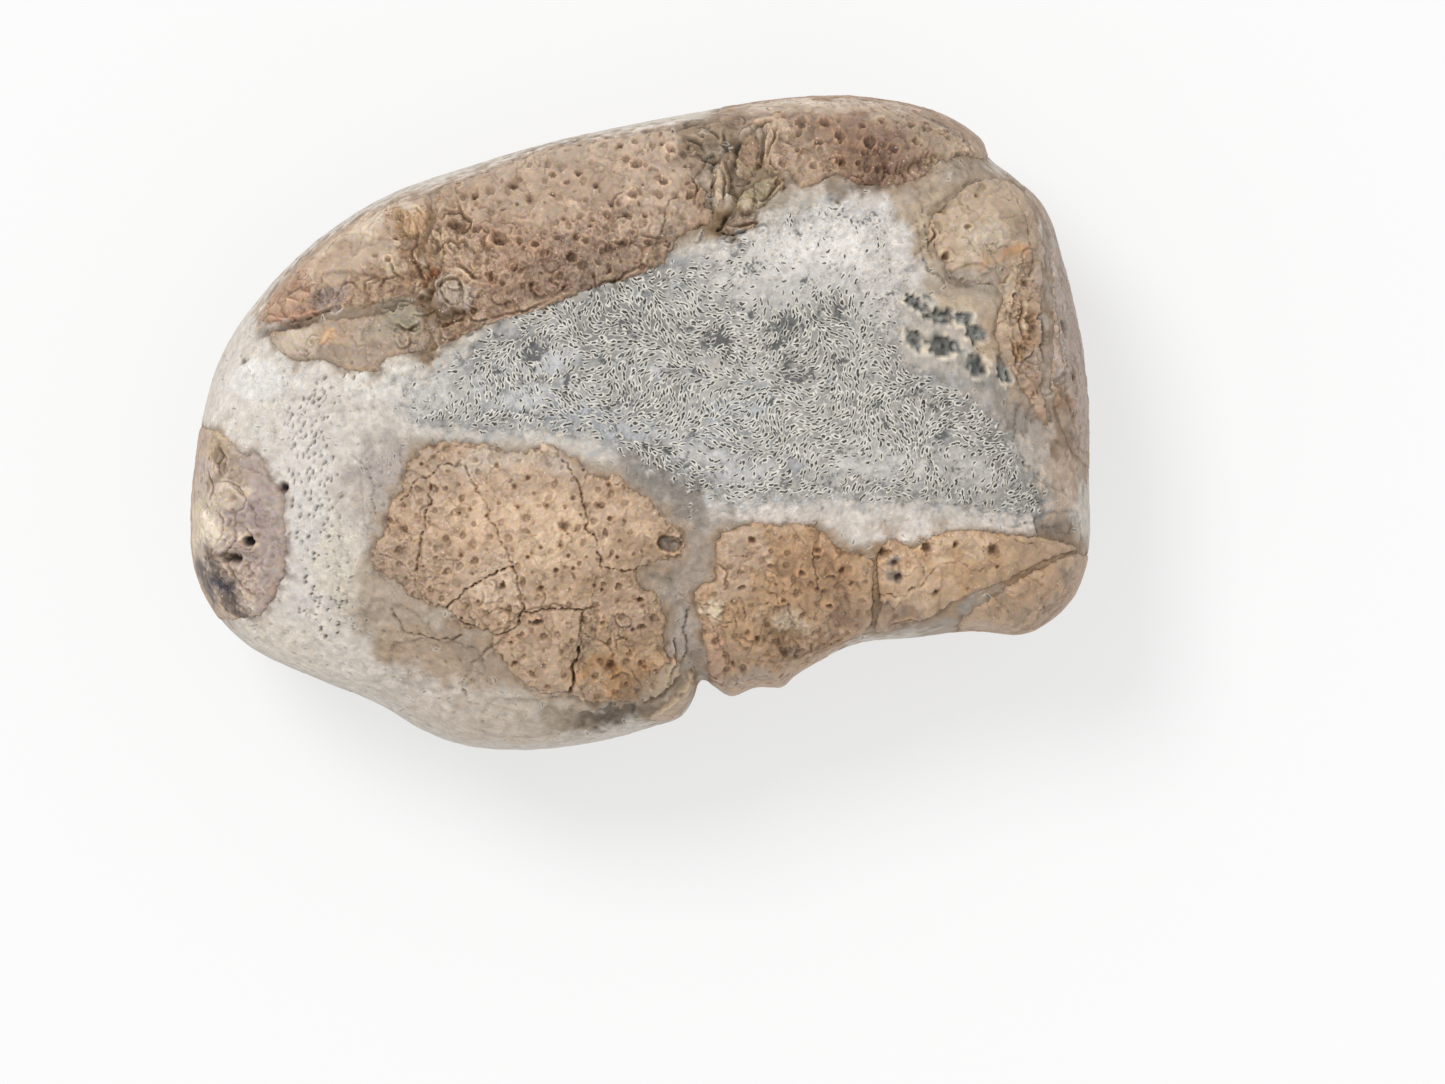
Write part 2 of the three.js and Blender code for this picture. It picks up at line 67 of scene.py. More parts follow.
STONE_OUTLINE = [
    (-23.9, -5.2), (-23.7, -2.5), (-23.2, 0.6), (-22.2, 3.7), (-20.0, 6.9), (-17.0, 9.8),
    (-13.3, 12.1), (-9.0, 13.6), (-5.0, 14.8), (0.0, 15.9), (5.0, 16.8), (8.0, 17.2), (11.0, 17.3),
    (14.2, 16.9), (16.8, 16.0), (18.3, 14.8), (18.5, 14.1), (19.9, 13.0), (21.5, 11.4), (22.5, 8.5),
    (23.3, 5.2), (23.8, 1.6), (23.9, -3.0), (23.9, -6.8), (23.3, -8.9), (22.2, -10.3), (20.4, -11.3),
    (18.0, -11.1), (14.5, -11.5), (11.6, -11.8), (9.2, -12.9), (8.1, -13.6), (7.6, -14.1),
    (6.2, -14.1), (4.8, -14.6), (4.2, -14.2), (3.2, -13.7), (2.9, -14.6), (2.2, -15.7),
    (0.8, -16.2), (-1.6, -16.9), (-5.4, -17.45), (-9.0, -17.3), (-11.4, -16.5), (-14.0, -15.0),
    (-17.4, -13.6), (-20.6, -12.1), (-22.6, -10.2), (-23.7, -7.8),
]

# Each swell is a mound or hollow: x, y, half-length, half-width, turn in degrees, height.
SWELLS = [
    (-3.5, 10.3, 8.0, 3.6, 22, 0.9),  # upper palm
    (-15.0, 8.4, 5.5, 2.0, 36, 0.5),  # movable finger
    (12.5, 15.0, 5.5, 2.4, -5, 0.6),  # arm
    (19.0, 8.6, 2.8, 5.5, 0, 0.6),  # shoulder
    (-5.5, -8.4, 7.0, 5.2, -12, 1.1),  # second palm
    (7.8, -9.6, 4.5, 3.6, -20, 0.8),  # second wrist
    (18.0, -8.0, 5.5, 2.0, -2, 0.6),  # second arm
    (-21.0, -5.6, 2.2, 4.0, 8, 0.4),  # leg
    (8.0, 2.2, 12.0, 4.2, 2, -1.3),  # trough between the claws
    (10.0, 8.6, 3.6, 3.0, 0, -0.5),  # core under the arm
    (4.0, 13.8, 1.3, 2.2, 20, -0.9),  # broken wrist
    (23.4, -4.0, 1.8, 2.6, 0, -0.8),  # worn right end
    (2.6, -12.0, 1.2, 3.0, 10, -0.8),  # between palm and wrist
]


def smooth_step(value, low, high):
    """0 below one value, 1 above another, and an even rise between them."""
    share = np.clip((value - low) / (high - low), 0, 1)
    return share * share * (3 - 2 * share)


def blend(first, second, share):
    """The first at a share of 0 and the second at 1."""
    return first + (second - first) * share


def curve(corners, step, closed=True):
    """Evenly spaced points along the centripetal Catmull-Rom curve through a list of corners."""
    corners = np.array(corners, float)
    count = len(corners)
    if closed:
        around = corners[np.arange(-1, count + 2) % count]
    else:
        around = np.vstack([2 * corners[0] - corners[1], corners, 2 * corners[-1] - corners[-2]])
    dense = []
    for p0, p1, p2, p3 in zip(around, around[1:], around[2:], around[3:]):
        sides = ((p0, p1), (p1, p2), (p2, p3))
        knots = np.cumsum([0, *(np.linalg.norm(b - a) ** 0.5 for a, b in sides)])
        t = np.linspace(knots[1], knots[2], SPAN_POINTS, endpoint=False)[:, None]
        t0, t1, t2, t3 = knots
        a1 = (p0 * (t1 - t) + p1 * (t - t0)) / (t1 - t0)
        a2 = (p1 * (t2 - t) + p2 * (t - t1)) / (t2 - t1)
        a3 = (p2 * (t3 - t) + p3 * (t - t2)) / (t3 - t2)
        b1 = (a1 * (t2 - t) + a2 * (t - t0)) / (t2 - t0)
        b2 = (a2 * (t3 - t) + a3 * (t - t1)) / (t3 - t1)
        dense.append((b1 * (t2 - t) + b2 * (t - t1)) / (t2 - t1))
    dense = np.vstack([*dense, corners[:1] if closed else corners[-1:]])
    travel = np.append(0, np.cumsum(np.linalg.norm(np.diff(dense, axis=0), axis=1)))
    steps = max(8, round(travel[-1] / step))
    places = np.linspace(0, travel[-1], steps + 1)
    points = np.stack([np.interp(places, travel, dense[:, k]) for k in (0, 1)], axis=1)
    return points[:-1] if closed else points


def measure_rim():
    """Distance from the middle to the stone's outline at each angle."""
    angles = np.arange(ANGLE_COUNT) * 2 * np.pi / ANGLE_COUNT
    outward = np.stack([np.cos(angles), np.sin(angles)], axis=1)[:, None]
    starts = curve(STONE_OUTLINE, 0.2)[None]
    along = np.roll(starts, -1, axis=1) - starts
    facing = outward[..., 0] * along[..., 1] - outward[..., 1] * along[..., 0]
    share = (starts[..., 0] * outward[..., 1] - starts[..., 1] * outward[..., 0]) / facing
    distance = ((starts + along * share[..., None]) * outward).sum(-1)
    return np.where((share >= 0) & (share <= 1), distance, 0).max(axis=1)


def calm(ring, steps):
    """A ring of distances, each the mean of its neighbours up to some steps away."""
    return np.mean([np.roll(ring, shift) for shift in range(-steps, steps + 1)], axis=0)


measured_rim = measure_rim()
sharp_rim = calm(measured_rim, 1)
calm_rim = calm(measured_rim, 28)


def on_ring(ring, angle):
    """The distance that a ring gives at an angle."""
    place = np.mod(angle * ANGLE_COUNT / (2 * np.pi), ANGLE_COUNT)
    index = place.astype(int)
    return blend(ring[index % ANGLE_COUNT], ring[(index + 1) % ANGLE_COUNT], place - index)


def stone_radius(angle, reach):
    """The stone's radius at an angle: its notches fade from the rim inwards."""
    return blend(on_ring(calm_rim, angle), on_ring(sharp_rim, angle), smooth_step(reach, 0.5, 1))


def other_leg(leg):
    """How high the cross-section stands, as a share, where it is a share of its width from the middle."""
    return np.clip(1 - leg**FULLNESS, 0, 1) ** (1 / FULLNESS)


def relief(x, y):
    """Height that the swells add to the crown."""
    total = np.zeros_like(x)
    for mid_x, mid_y, along, across, turn, height in SWELLS:
        cosine, sine = np.cos(np.radians(turn)), np.sin(np.radians(turn))
        far_along = ((x - mid_x) * cosine + (y - mid_y) * sine) / along
        far_across = ((y - mid_y) * cosine - (x - mid_x) * sine) / across
        total += height * np.exp(-(far_along**2) - far_across**2)
    return total


def stone_place(angle, tilt):
    """A point of the smooth stone, and its place on the chart. The tilt is 0 at the crown."""
    sine, cosine = np.sin(tilt), np.cos(tilt)
    size = (sine**FULLNESS + np.abs(cosine) ** FULLNESS) ** (-1 / FULLNESS)
    reach = sine * size
    radius = stone_radius(angle, reach)
    outward = np.stack([np.cos(angle), np.sin(angle)], axis=-1)
    plan = outward * (reach * radius)[..., None]
    rise = TOP_RISE + relief(plan[..., 0], plan[..., 1])
    z = RIM_HEIGHT + cosine * size * np.where(cosine > 0, rise, BOTTOM_DROP)
    place = np.concatenate([plan, np.maximum(z, 0)[..., None]], axis=-1)
    drop = np.maximum(-cosine * size, 0) * BOTTOM_DROP
    return place, outward * (np.where(cosine > 0, reach * radius, radius + drop))[..., None]


def tilt_of(angle, distance):
    """The tilt of a spot on the chart."""
    rim = stone_radius(angle, np.ones_like(angle))
    drop = np.clip((distance - rim) / BOTTOM_DROP, 0, 0.999)
    reach = np.ones_like(angle)
    for _ in range(6):
        reach = np.minimum(distance / stone_radius(angle, reach), 1)
    return np.where(distance > rim, np.arctan2(other_leg(drop), -drop), np.arctan2(reach, other_leg(reach)))


def surface(chart):
    """The smooth stone at spots on the chart."""
    angle = np.arctan2(chart[:, 1], chart[:, 0])
    distance = np.maximum(np.hypot(chart[:, 0], chart[:, 1]), 0.01)
    return stone_place(angle, tilt_of(angle, distance))[0]


def pushed(distance, angle):
    """How much farther out the sheets are read for a spot, which is more where the side is steep."""
    level = other_leg(np.minimum(distance / on_ring(sharp_rim, angle), 1))
    return TOP_RISE * STEEP * np.clip(1 - level / STEEP, 0, 1) ** 1.4


def unrolled(chart):
    """Where the sheets are read for spots on the chart, so that nothing is drawn out down the flanks."""
    angle = np.arctan2(chart[:, 1], chart[:, 0])
    distance = np.maximum(np.hypot(chart[:, 0], chart[:, 1]), 0.01)
    return chart * (1 + pushed(distance, angle) / distance)[:, None]


def rolled(spots):
    """The way back from `unrolled`: the spots on the chart."""
    angle = np.arctan2(spots[:, 1], spots[:, 0])
    far = np.maximum(np.hypot(spots[:, 0], spots[:, 1]), 0.01)
    low, high = 0 * far, far
    for _ in range(HALVINGS):
        middle = (low + high) / 2
        beyond = middle + pushed(middle, angle) > far
        low, high = np.where(beyond, low, middle), np.where(beyond, middle, high)
    return spots * (high / far)[:, None]


# ---- Sheets: relief and colour spread over the chart ------------------------------------------------

SHEET_STEP = 0.04
SHEET_LOW = np.array([-30.0, -22.0])
SHEET_SIZE = (1104, 1512)  # rows along Y, columns along X
random = np.random.default_rng(SEED)
sheet_y = (SHEET_LOW[1] + SHEET_STEP * np.arange(SHEET_SIZE[0]))[:, None]
sheet_x = (SHEET_LOW[0] + SHEET_STEP * np.arange(SHEET_SIZE[1]))[None, :]
wave_y = np.fft.fftfreq(SHEET_SIZE[0], SHEET_STEP)[:, None]
wave_x = np.fft.rfftfreq(SHEET_SIZE[1], SHEET_STEP)[None, :]
wave = np.hypot(wave_x, wave_y) + 1e-9


def blank():
    """An empty sheet."""
    return np.zeros(SHEET_SIZE, np.float32)


def read(sheet, chart):
    """A sheet's value at spots on the chart."""
    place = (chart - SHEET_LOW) / SHEET_STEP
    last = np.array(SHEET_SIZE[::-1]) - 1.001
    place = last - np.abs(last - np.abs(place))  # past its edge a sheet is read backwards
    column, row = place.astype(int).T
    across, up = (place - place.astype(int)).T
    if sheet.ndim == 3:
        across, up = across[:, None], up[:, None]
    lower = blend(sheet[row, column], sheet[row, column + 1], across)
    upper = blend(sheet[row + 1, column], sheet[row + 1, column + 1], across)
    return blend(lower, upper, up)


def value_at(sheet, x, y):
    """A sheet's value at one spot."""
    return float(read(sheet, np.array([[x, y]]))[0])


def steady(sheet):
    """A sheet with mean 0 and spread 1."""
    sheet = sheet - sheet.mean()
    return (sheet / sheet.std()).astype(np.float32)


def through(sheet, band):
    """A sheet with each wavelength kept as far as a band lets it through."""
    return np.fft.irfft2(np.fft.rfft2(sheet) * band, s=SHEET_SIZE)


def band_pass(fine, coarse):
    """Keeps wavelengths between two lengths."""
    return np.exp(-((wave * fine) ** 2)) * (1 - np.exp(-((wave * coarse) ** 2)))


def noise(fine, coarse):
    """Noise with lumps between two lengths."""
    return steady(through(random.standard_normal(SHEET_SIZE), band_pass(fine, coarse)))


def cloud(coarse):
    """Noise at all sizes below a length, with the large ones strongest."""
    band = (1 - np.exp(-((wave * coarse) ** 2))) * wave ** -2.0
    return steady(through(random.standard_normal(SHEET_SIZE), band))


def window(x, y, reach):
    """The part of a sheet round a spot: its slices, and the offsets from the spot."""
    column = int((x - SHEET_LOW[0]) / SHEET_STEP)
    row = int((y - SHEET_LOW[1]) / SHEET_STEP)
    cells = int(reach / SHEET_STEP) + 1
    rows = slice(max(row - cells, 0), min(row + cells + 1, SHEET_SIZE[0]))
    columns = slice(max(column - cells, 0), min(column + cells + 1, SHEET_SIZE[1]))
    return (rows, columns), sheet_x[:, columns] - x, sheet_y[rows] - y


def linear(colour):
    """Linear light of an sRGB colour given as 0 to 255."""
    share = np.array(colour, float) / 255
    return np.where(share <= 0.04045, share / 12.92, ((share + 0.055) / 1.055) ** 2.4)


warp_x, warp_y = (0.45 * noise(1.6, 6.0) + 0.16 * noise(0.4, 1.4) for _ in range(2))
curl_x, curl_y = (0.7 * noise(0.7, 2.4) + 0.3 * noise(0.25, 0.8) for _ in range(2))
crag = 0.5 * noise(0.25, 1.0) + 0.5 * noise(0.1, 0.4)
sway = 0.7 * noise(0.9, 3.0) + 0.3 * noise(0.3, 1.0)
everywhere = np.stack(np.broadcast_arrays(sheet_x, sheet_y), axis=-1).reshape(-1, 2)


def warped(sheet, amount):
    """A sheet with its pattern pulled about by up to an amount."""
    moved = everywhere + amount * np.stack([curl_x.ravel(), curl_y.ravel()], axis=1)
    return read(sheet, moved).reshape(SHEET_SIZE).astype(np.float32)


def frills(size, sharpness):
    """Thin curly ridges with hollows between them, from 0 to 1."""
    ridges = 1 - np.minimum(np.abs(noise(0.5 * size, 2 * size)) * sharpness, 1)
    return warped(ridges, 0.45 * size)


def scoops(size, depth):
    """Chipped ground: hollows that meet at sharp ridges, a tone for each, and how near the next one is."""
    count = tuple(int(length * SHEET_STEP / size) + 6 for length in SHEET_SIZE)
    level, tone = random.uniform(0, 0.6, count), random.uniform(-1, 1, count)
    middle_x, middle_y, slope_x, slope_y = random.uniform(0, 1, (4, *count))
    place_x = (sheet_x - SHEET_LOW[0]) / size + 2.5 + 0.35 * curl_x
    place_y = (sheet_y - SHEET_LOW[1]) / size + 2.5 + 0.35 * curl_y
    column, row = place_x.astype(int), place_y.astype(int)
    lowest, second, shade = np.full(SHEET_SIZE, 9.0), np.full(SHEET_SIZE, 9.0), np.zeros(SHEET_SIZE)
    for up, side in np.ndindex(3, 3):
        at = (row + up - 1, column + side - 1)
        far_x = place_x - at[1] - middle_x[at]
        far_y = place_y - at[0] - middle_y[at]
        height = far_x**2 + far_y**2 + level[at]
        height = height + (slope_x[at] - 0.5) * far_x + (slope_y[at] - 0.5) * far_y
        lower = height < lowest
        second = np.where(lower, lowest, np.minimum(second, height))
        lowest = np.where(lower, height, lowest)
        shade = np.where(lower, tone[at], shade)
    return tuple(sheet.astype(np.float32) for sheet in (depth * (lowest - 0.4), shade, second - lowest))


def lasting(size, share):
    """Where a flaking skin is left, with crisp ragged edges: 0 or 1, from how much of it is left."""
    field = noise(0.5 * size, 2.2 * size) + 0.3 * noise(0.2 * size, 0.7 * size)
    return smooth_step(field + share, -0.1, 0.1)


def flakes(size, thin=0.06):
    """Thin flakes: which side of a flake's edge each spot is on, the painted shadow line below the edge and
    the painted highlight on its lip.
    """
    field = warped(noise(size, 3 * size), 0.06 * size)
    slope = np.hypot(*np.gradient(field, SHEET_STEP)) + 0.25 / size
    far = field / slope
    broken = smooth_step(noise(0.8 * size, 3 * size), -0.5, 0.6)
    side = smooth_step(far, -thin, thin)
    # A painted shadow line at the bottom of each step and a painted highlight on its upper lip.
    shadow_line = broken * np.exp(-(((far + 0.5 * thin) / thin) ** 2))
    lip = broken * np.exp(-(((far - 1.6 * thin) / (1.2 * thin)) ** 2))
    return side.astype(np.float32), shadow_line.astype(np.float32), lip.astype(np.float32)


class Layers:
    """The sheets of one kind of surface: height in mm, dark and pale marks, roughness and colour."""

    def __init__(self, ground):
        self.height = blank()
        # Dark marks hold painted shade as well as dark colour; pale marks hold painted highlights as well as
        # pale colour.
        self.dark = blank()
        self.pale = blank()
        self.rough = blank()
        self.paint = np.tile(linear(ground).astype(np.float32), (*SHEET_SIZE, 1))

    def blotch(self, x, y, along, across, turn, edge, frayed):
        """Where a blotch with a frayed edge lies: its window, and how fully it covers each spot."""
        place, far_x, far_y = window(x, y, (1 + edge) * max(along, across) + frayed)
        far_x = far_x + frayed * warp_x[place]
        far_y = far_y + frayed * warp_y[place]
        cosine, sine = np.cos(np.radians(turn)), np.sin(np.radians(turn))
        far_along = (far_x * cosine + far_y * sine) / along
        far_across = (far_y * cosine - far_x * sine) / across
        distance = np.hypot(far_along, far_across)
        return place, 1 - smooth_step(distance, 1 - edge, 1 + edge)

    def patch(self, x, y, along, across, turn, colour, strength=0.9, edge=0.45, frayed=0.8):
        """Paints a blotch; a small `edge` gives it a sharp one."""
        place, share = self.blotch(x, y, along, across, turn, edge, min(frayed, across))
        self.paint[place] = blend(self.paint[place], linear(colour), strength * share[..., None])

    def roughen(self, x, y, along, across, turn, amount):
        """Sets how rough a blotch is."""
        place, share = self.blotch(x, y, along, across, turn, 0.35, min(0.8, across))
        self.rough[place] = blend(self.rough[place], amount, share)

    def mound(self, x, y, along, across, turn, height, edge=0.6):
        """A low swelling, or a hollow where the height is negative."""
        place, share = self.blotch(x, y, along, across, turn, edge, 0.5 * min(1, across))
        self.height[place] += height * share

    def tier(self, corners, height, edge, dark):
        """Lifts or sinks the ground inside a loop of corners, with a broken edge all round and painted shade
        along the bottom of its step.
        """
        loop = curve(corners, 0.15)
        loop = loop + 0.07 * np.stack([read(crag, loop), read(sway, loop)], axis=1)
        middle = loop.mean(0)
        place, far_x, far_y = window(*middle, np.abs(loop - middle).max() + 0.4)
        far_x, far_y = np.broadcast_arrays(far_x, far_y)
        inside = to_outline(np.stack([far_x, far_y], axis=-1).reshape(-1, 2) + middle, loop)[0]
        inside = inside.reshape(far_x.shape)
        share = smooth_step(inside, -edge / 2, edge / 2)
        self.height[place] += share * height
        # Painted shade along the bottom of the step.
        foot = np.exp(-(((inside + np.sign(height) * 0.5 * edge) / 0.07) ** 2))
        self.dark[place] = np.maximum(self.dark[place], dark * foot * smooth_step(crag[place], -1.4, 0.6))

    def pit(self, x, y, radius, depth=0.16, rim=0.03, dark=0.8, pale=0.35):
        """A pore with a slightly raised rim, more worn on one side; its inside is painted dark as shade and
        its rim pale as a highlight.
        """
        place, far_x, far_y = window(x, y, 3.2 * radius)
        far = np.hypot(far_x, far_y) / radius * (1 + 0.14 * crag[place])
        hole = np.exp(-(far**4))
        side = np.clip(0.75 - 0.5 * np.sin(np.arctan2(far_y, far_x) + 9 * (x + y)), 0, 1)
        ridge = np.exp(-(((far - 1.5) / 0.4) ** 2)) * side
        self.height[place] += rim * ridge - depth * hole
        # Painted shade inside the pore and a painted highlight on its rim.
        self.dark[place] = np.maximum(self.dark[place], dark * np.exp(-((far / 0.95) ** 4)))
        self.pale[place] = np.maximum(self.pale[place], pale * ridge)

    def crater(self, x, y, radius, depth, wall, stain, squash=1.0, turn=0.0, worn=0.8):
        """A worn tubercle: a bowl with a brown floor, a low grain in it and a broken wall round it."""
        place, far_x, far_y = window(x, y, 2.6 * radius / min(squash, 1))
        cosine, sine = np.cos(np.radians(turn)), np.sin(np.radians(turn))
        far = np.hypot(far_x * cosine + far_y * sine, (far_y * cosine - far_x * sine) / squash) / radius
        far = far * (1 + 0.16 * crag[place] + 0.14 * sway[place])
        way = np.arctan2(far_y, far_x)
        bowl = 1 - smooth_step(far, 0.4, 0.95)
        ring = np.exp(-(((far - 1.1) / 0.24) ** 2)) * np.clip(1.2 - worn + worn * np.sin(way + 7 * x), 0, 1)
        grain = np.exp(-(((far - 0.1) / 0.28) ** 2))
        # The floor's own brown, made darker on one side and lighter on the grain as painted shade.
        shade = stain * bowl * np.clip(0.8 + 0.35 * np.sin(way + 5 * y), 0.3, 1) * (1 - 0.4 * grain)
        halo = stain * np.exp(-((far / 1.5) ** 4))
        self.height[place] += radius * (wall * ring - depth * bowl + 0.4 * depth * grain)
        self.dark[place] = np.maximum(self.dark[place], shade)
        # The wall is painted pale as a highlight.
        self.pale[place] = np.maximum(self.pale[place], ring * min(0.8, 2.4 * wall))
        self.paint[place] *= 1 - halo[..., None] * np.array([0.1, 0.15, 0.2], np.float32)

    def line(self, corners, width, depth, dark=0.9, wander=0.1):
        """A crack along a wandering line, wider and darker in some stretches."""
        for x, y in wandering(corners, wander):
            vary = value_at(crag, x, y)
            broad = width * np.clip(0.85 + 0.35 * vary, 0.5, 1.6)
            place, far_x, far_y = window(x, y, 3 * broad)
            near = np.exp(-((np.hypot(far_x, far_y) / broad) ** 2))
            sunk = blend(self.height[place], self.height[place] - depth * near, near)
            self.height[place] = np.minimum(self.height[place], np.maximum(sunk, -1.6 * depth))
            deep = dark * np.clip(0.8 + 0.3 * vary, 0.35, 1)
            self.dark[place] = np.maximum(self.dark[place], deep * near)

    def ridge(self, corners, width, height, pale=0.6, wander=0.08):
        """A fine raised line."""
        drawn = blank()
        for x, y in wandering(corners, wander):
            place, far_x, far_y = window(x, y, 3 * width)
            drawn[place] = np.maximum(drawn[place], np.exp(-((np.hypot(far_x, far_y) / width) ** 2)))
        self.height += height * drawn
        self.pale = np.maximum(self.pale, pale * drawn)


def wandering(corners, wander):
    """Close points along a curve through some corners, which strays from it by up to an amount."""
    points = curve(corners, 0.04, closed=False)
    fade = np.minimum(1, np.minimum(np.arange(len(points)), np.arange(len(points))[::-1]) / 8)[:, None]
    shift = np.stack([read(sway, points), read(sway, points[:, ::-1])], axis=1)
    return points + wander * shift * fade


def fold(crests, crevices, corners, width, strength=1.0, side=1):
    """Draws a curled-up edge: a crest along the corners, and a crevice on one side of it."""
    crest = wandering(corners, 0.06)
    along = np.gradient(crest, axis=0)
    along /= np.linalg.norm(along, axis=1)[:, None]
    crevice = crest + side * 1.7 * width * np.stack([along[:, 1], -along[:, 0]], axis=1)
    fade = strength * np.sin(np.pi * (np.arange(len(crest)) + 0.5) / len(crest)) ** 0.6
    for sheet, points, broad in ((crests, crest, width), (crevices, crevice, 0.95 * width)):
        for (x, y), amount in zip(points, fade):
            place, far_x, far_y = window(x, y, 2.6 * broad)
            drawn = amount * np.exp(-((np.hypot(far_x, far_y) / broad) ** 2))
            sheet[place] = np.maximum(sheet[place], drawn)


# ---- Outlines of the pieces of shell ------------------------------------------------------------

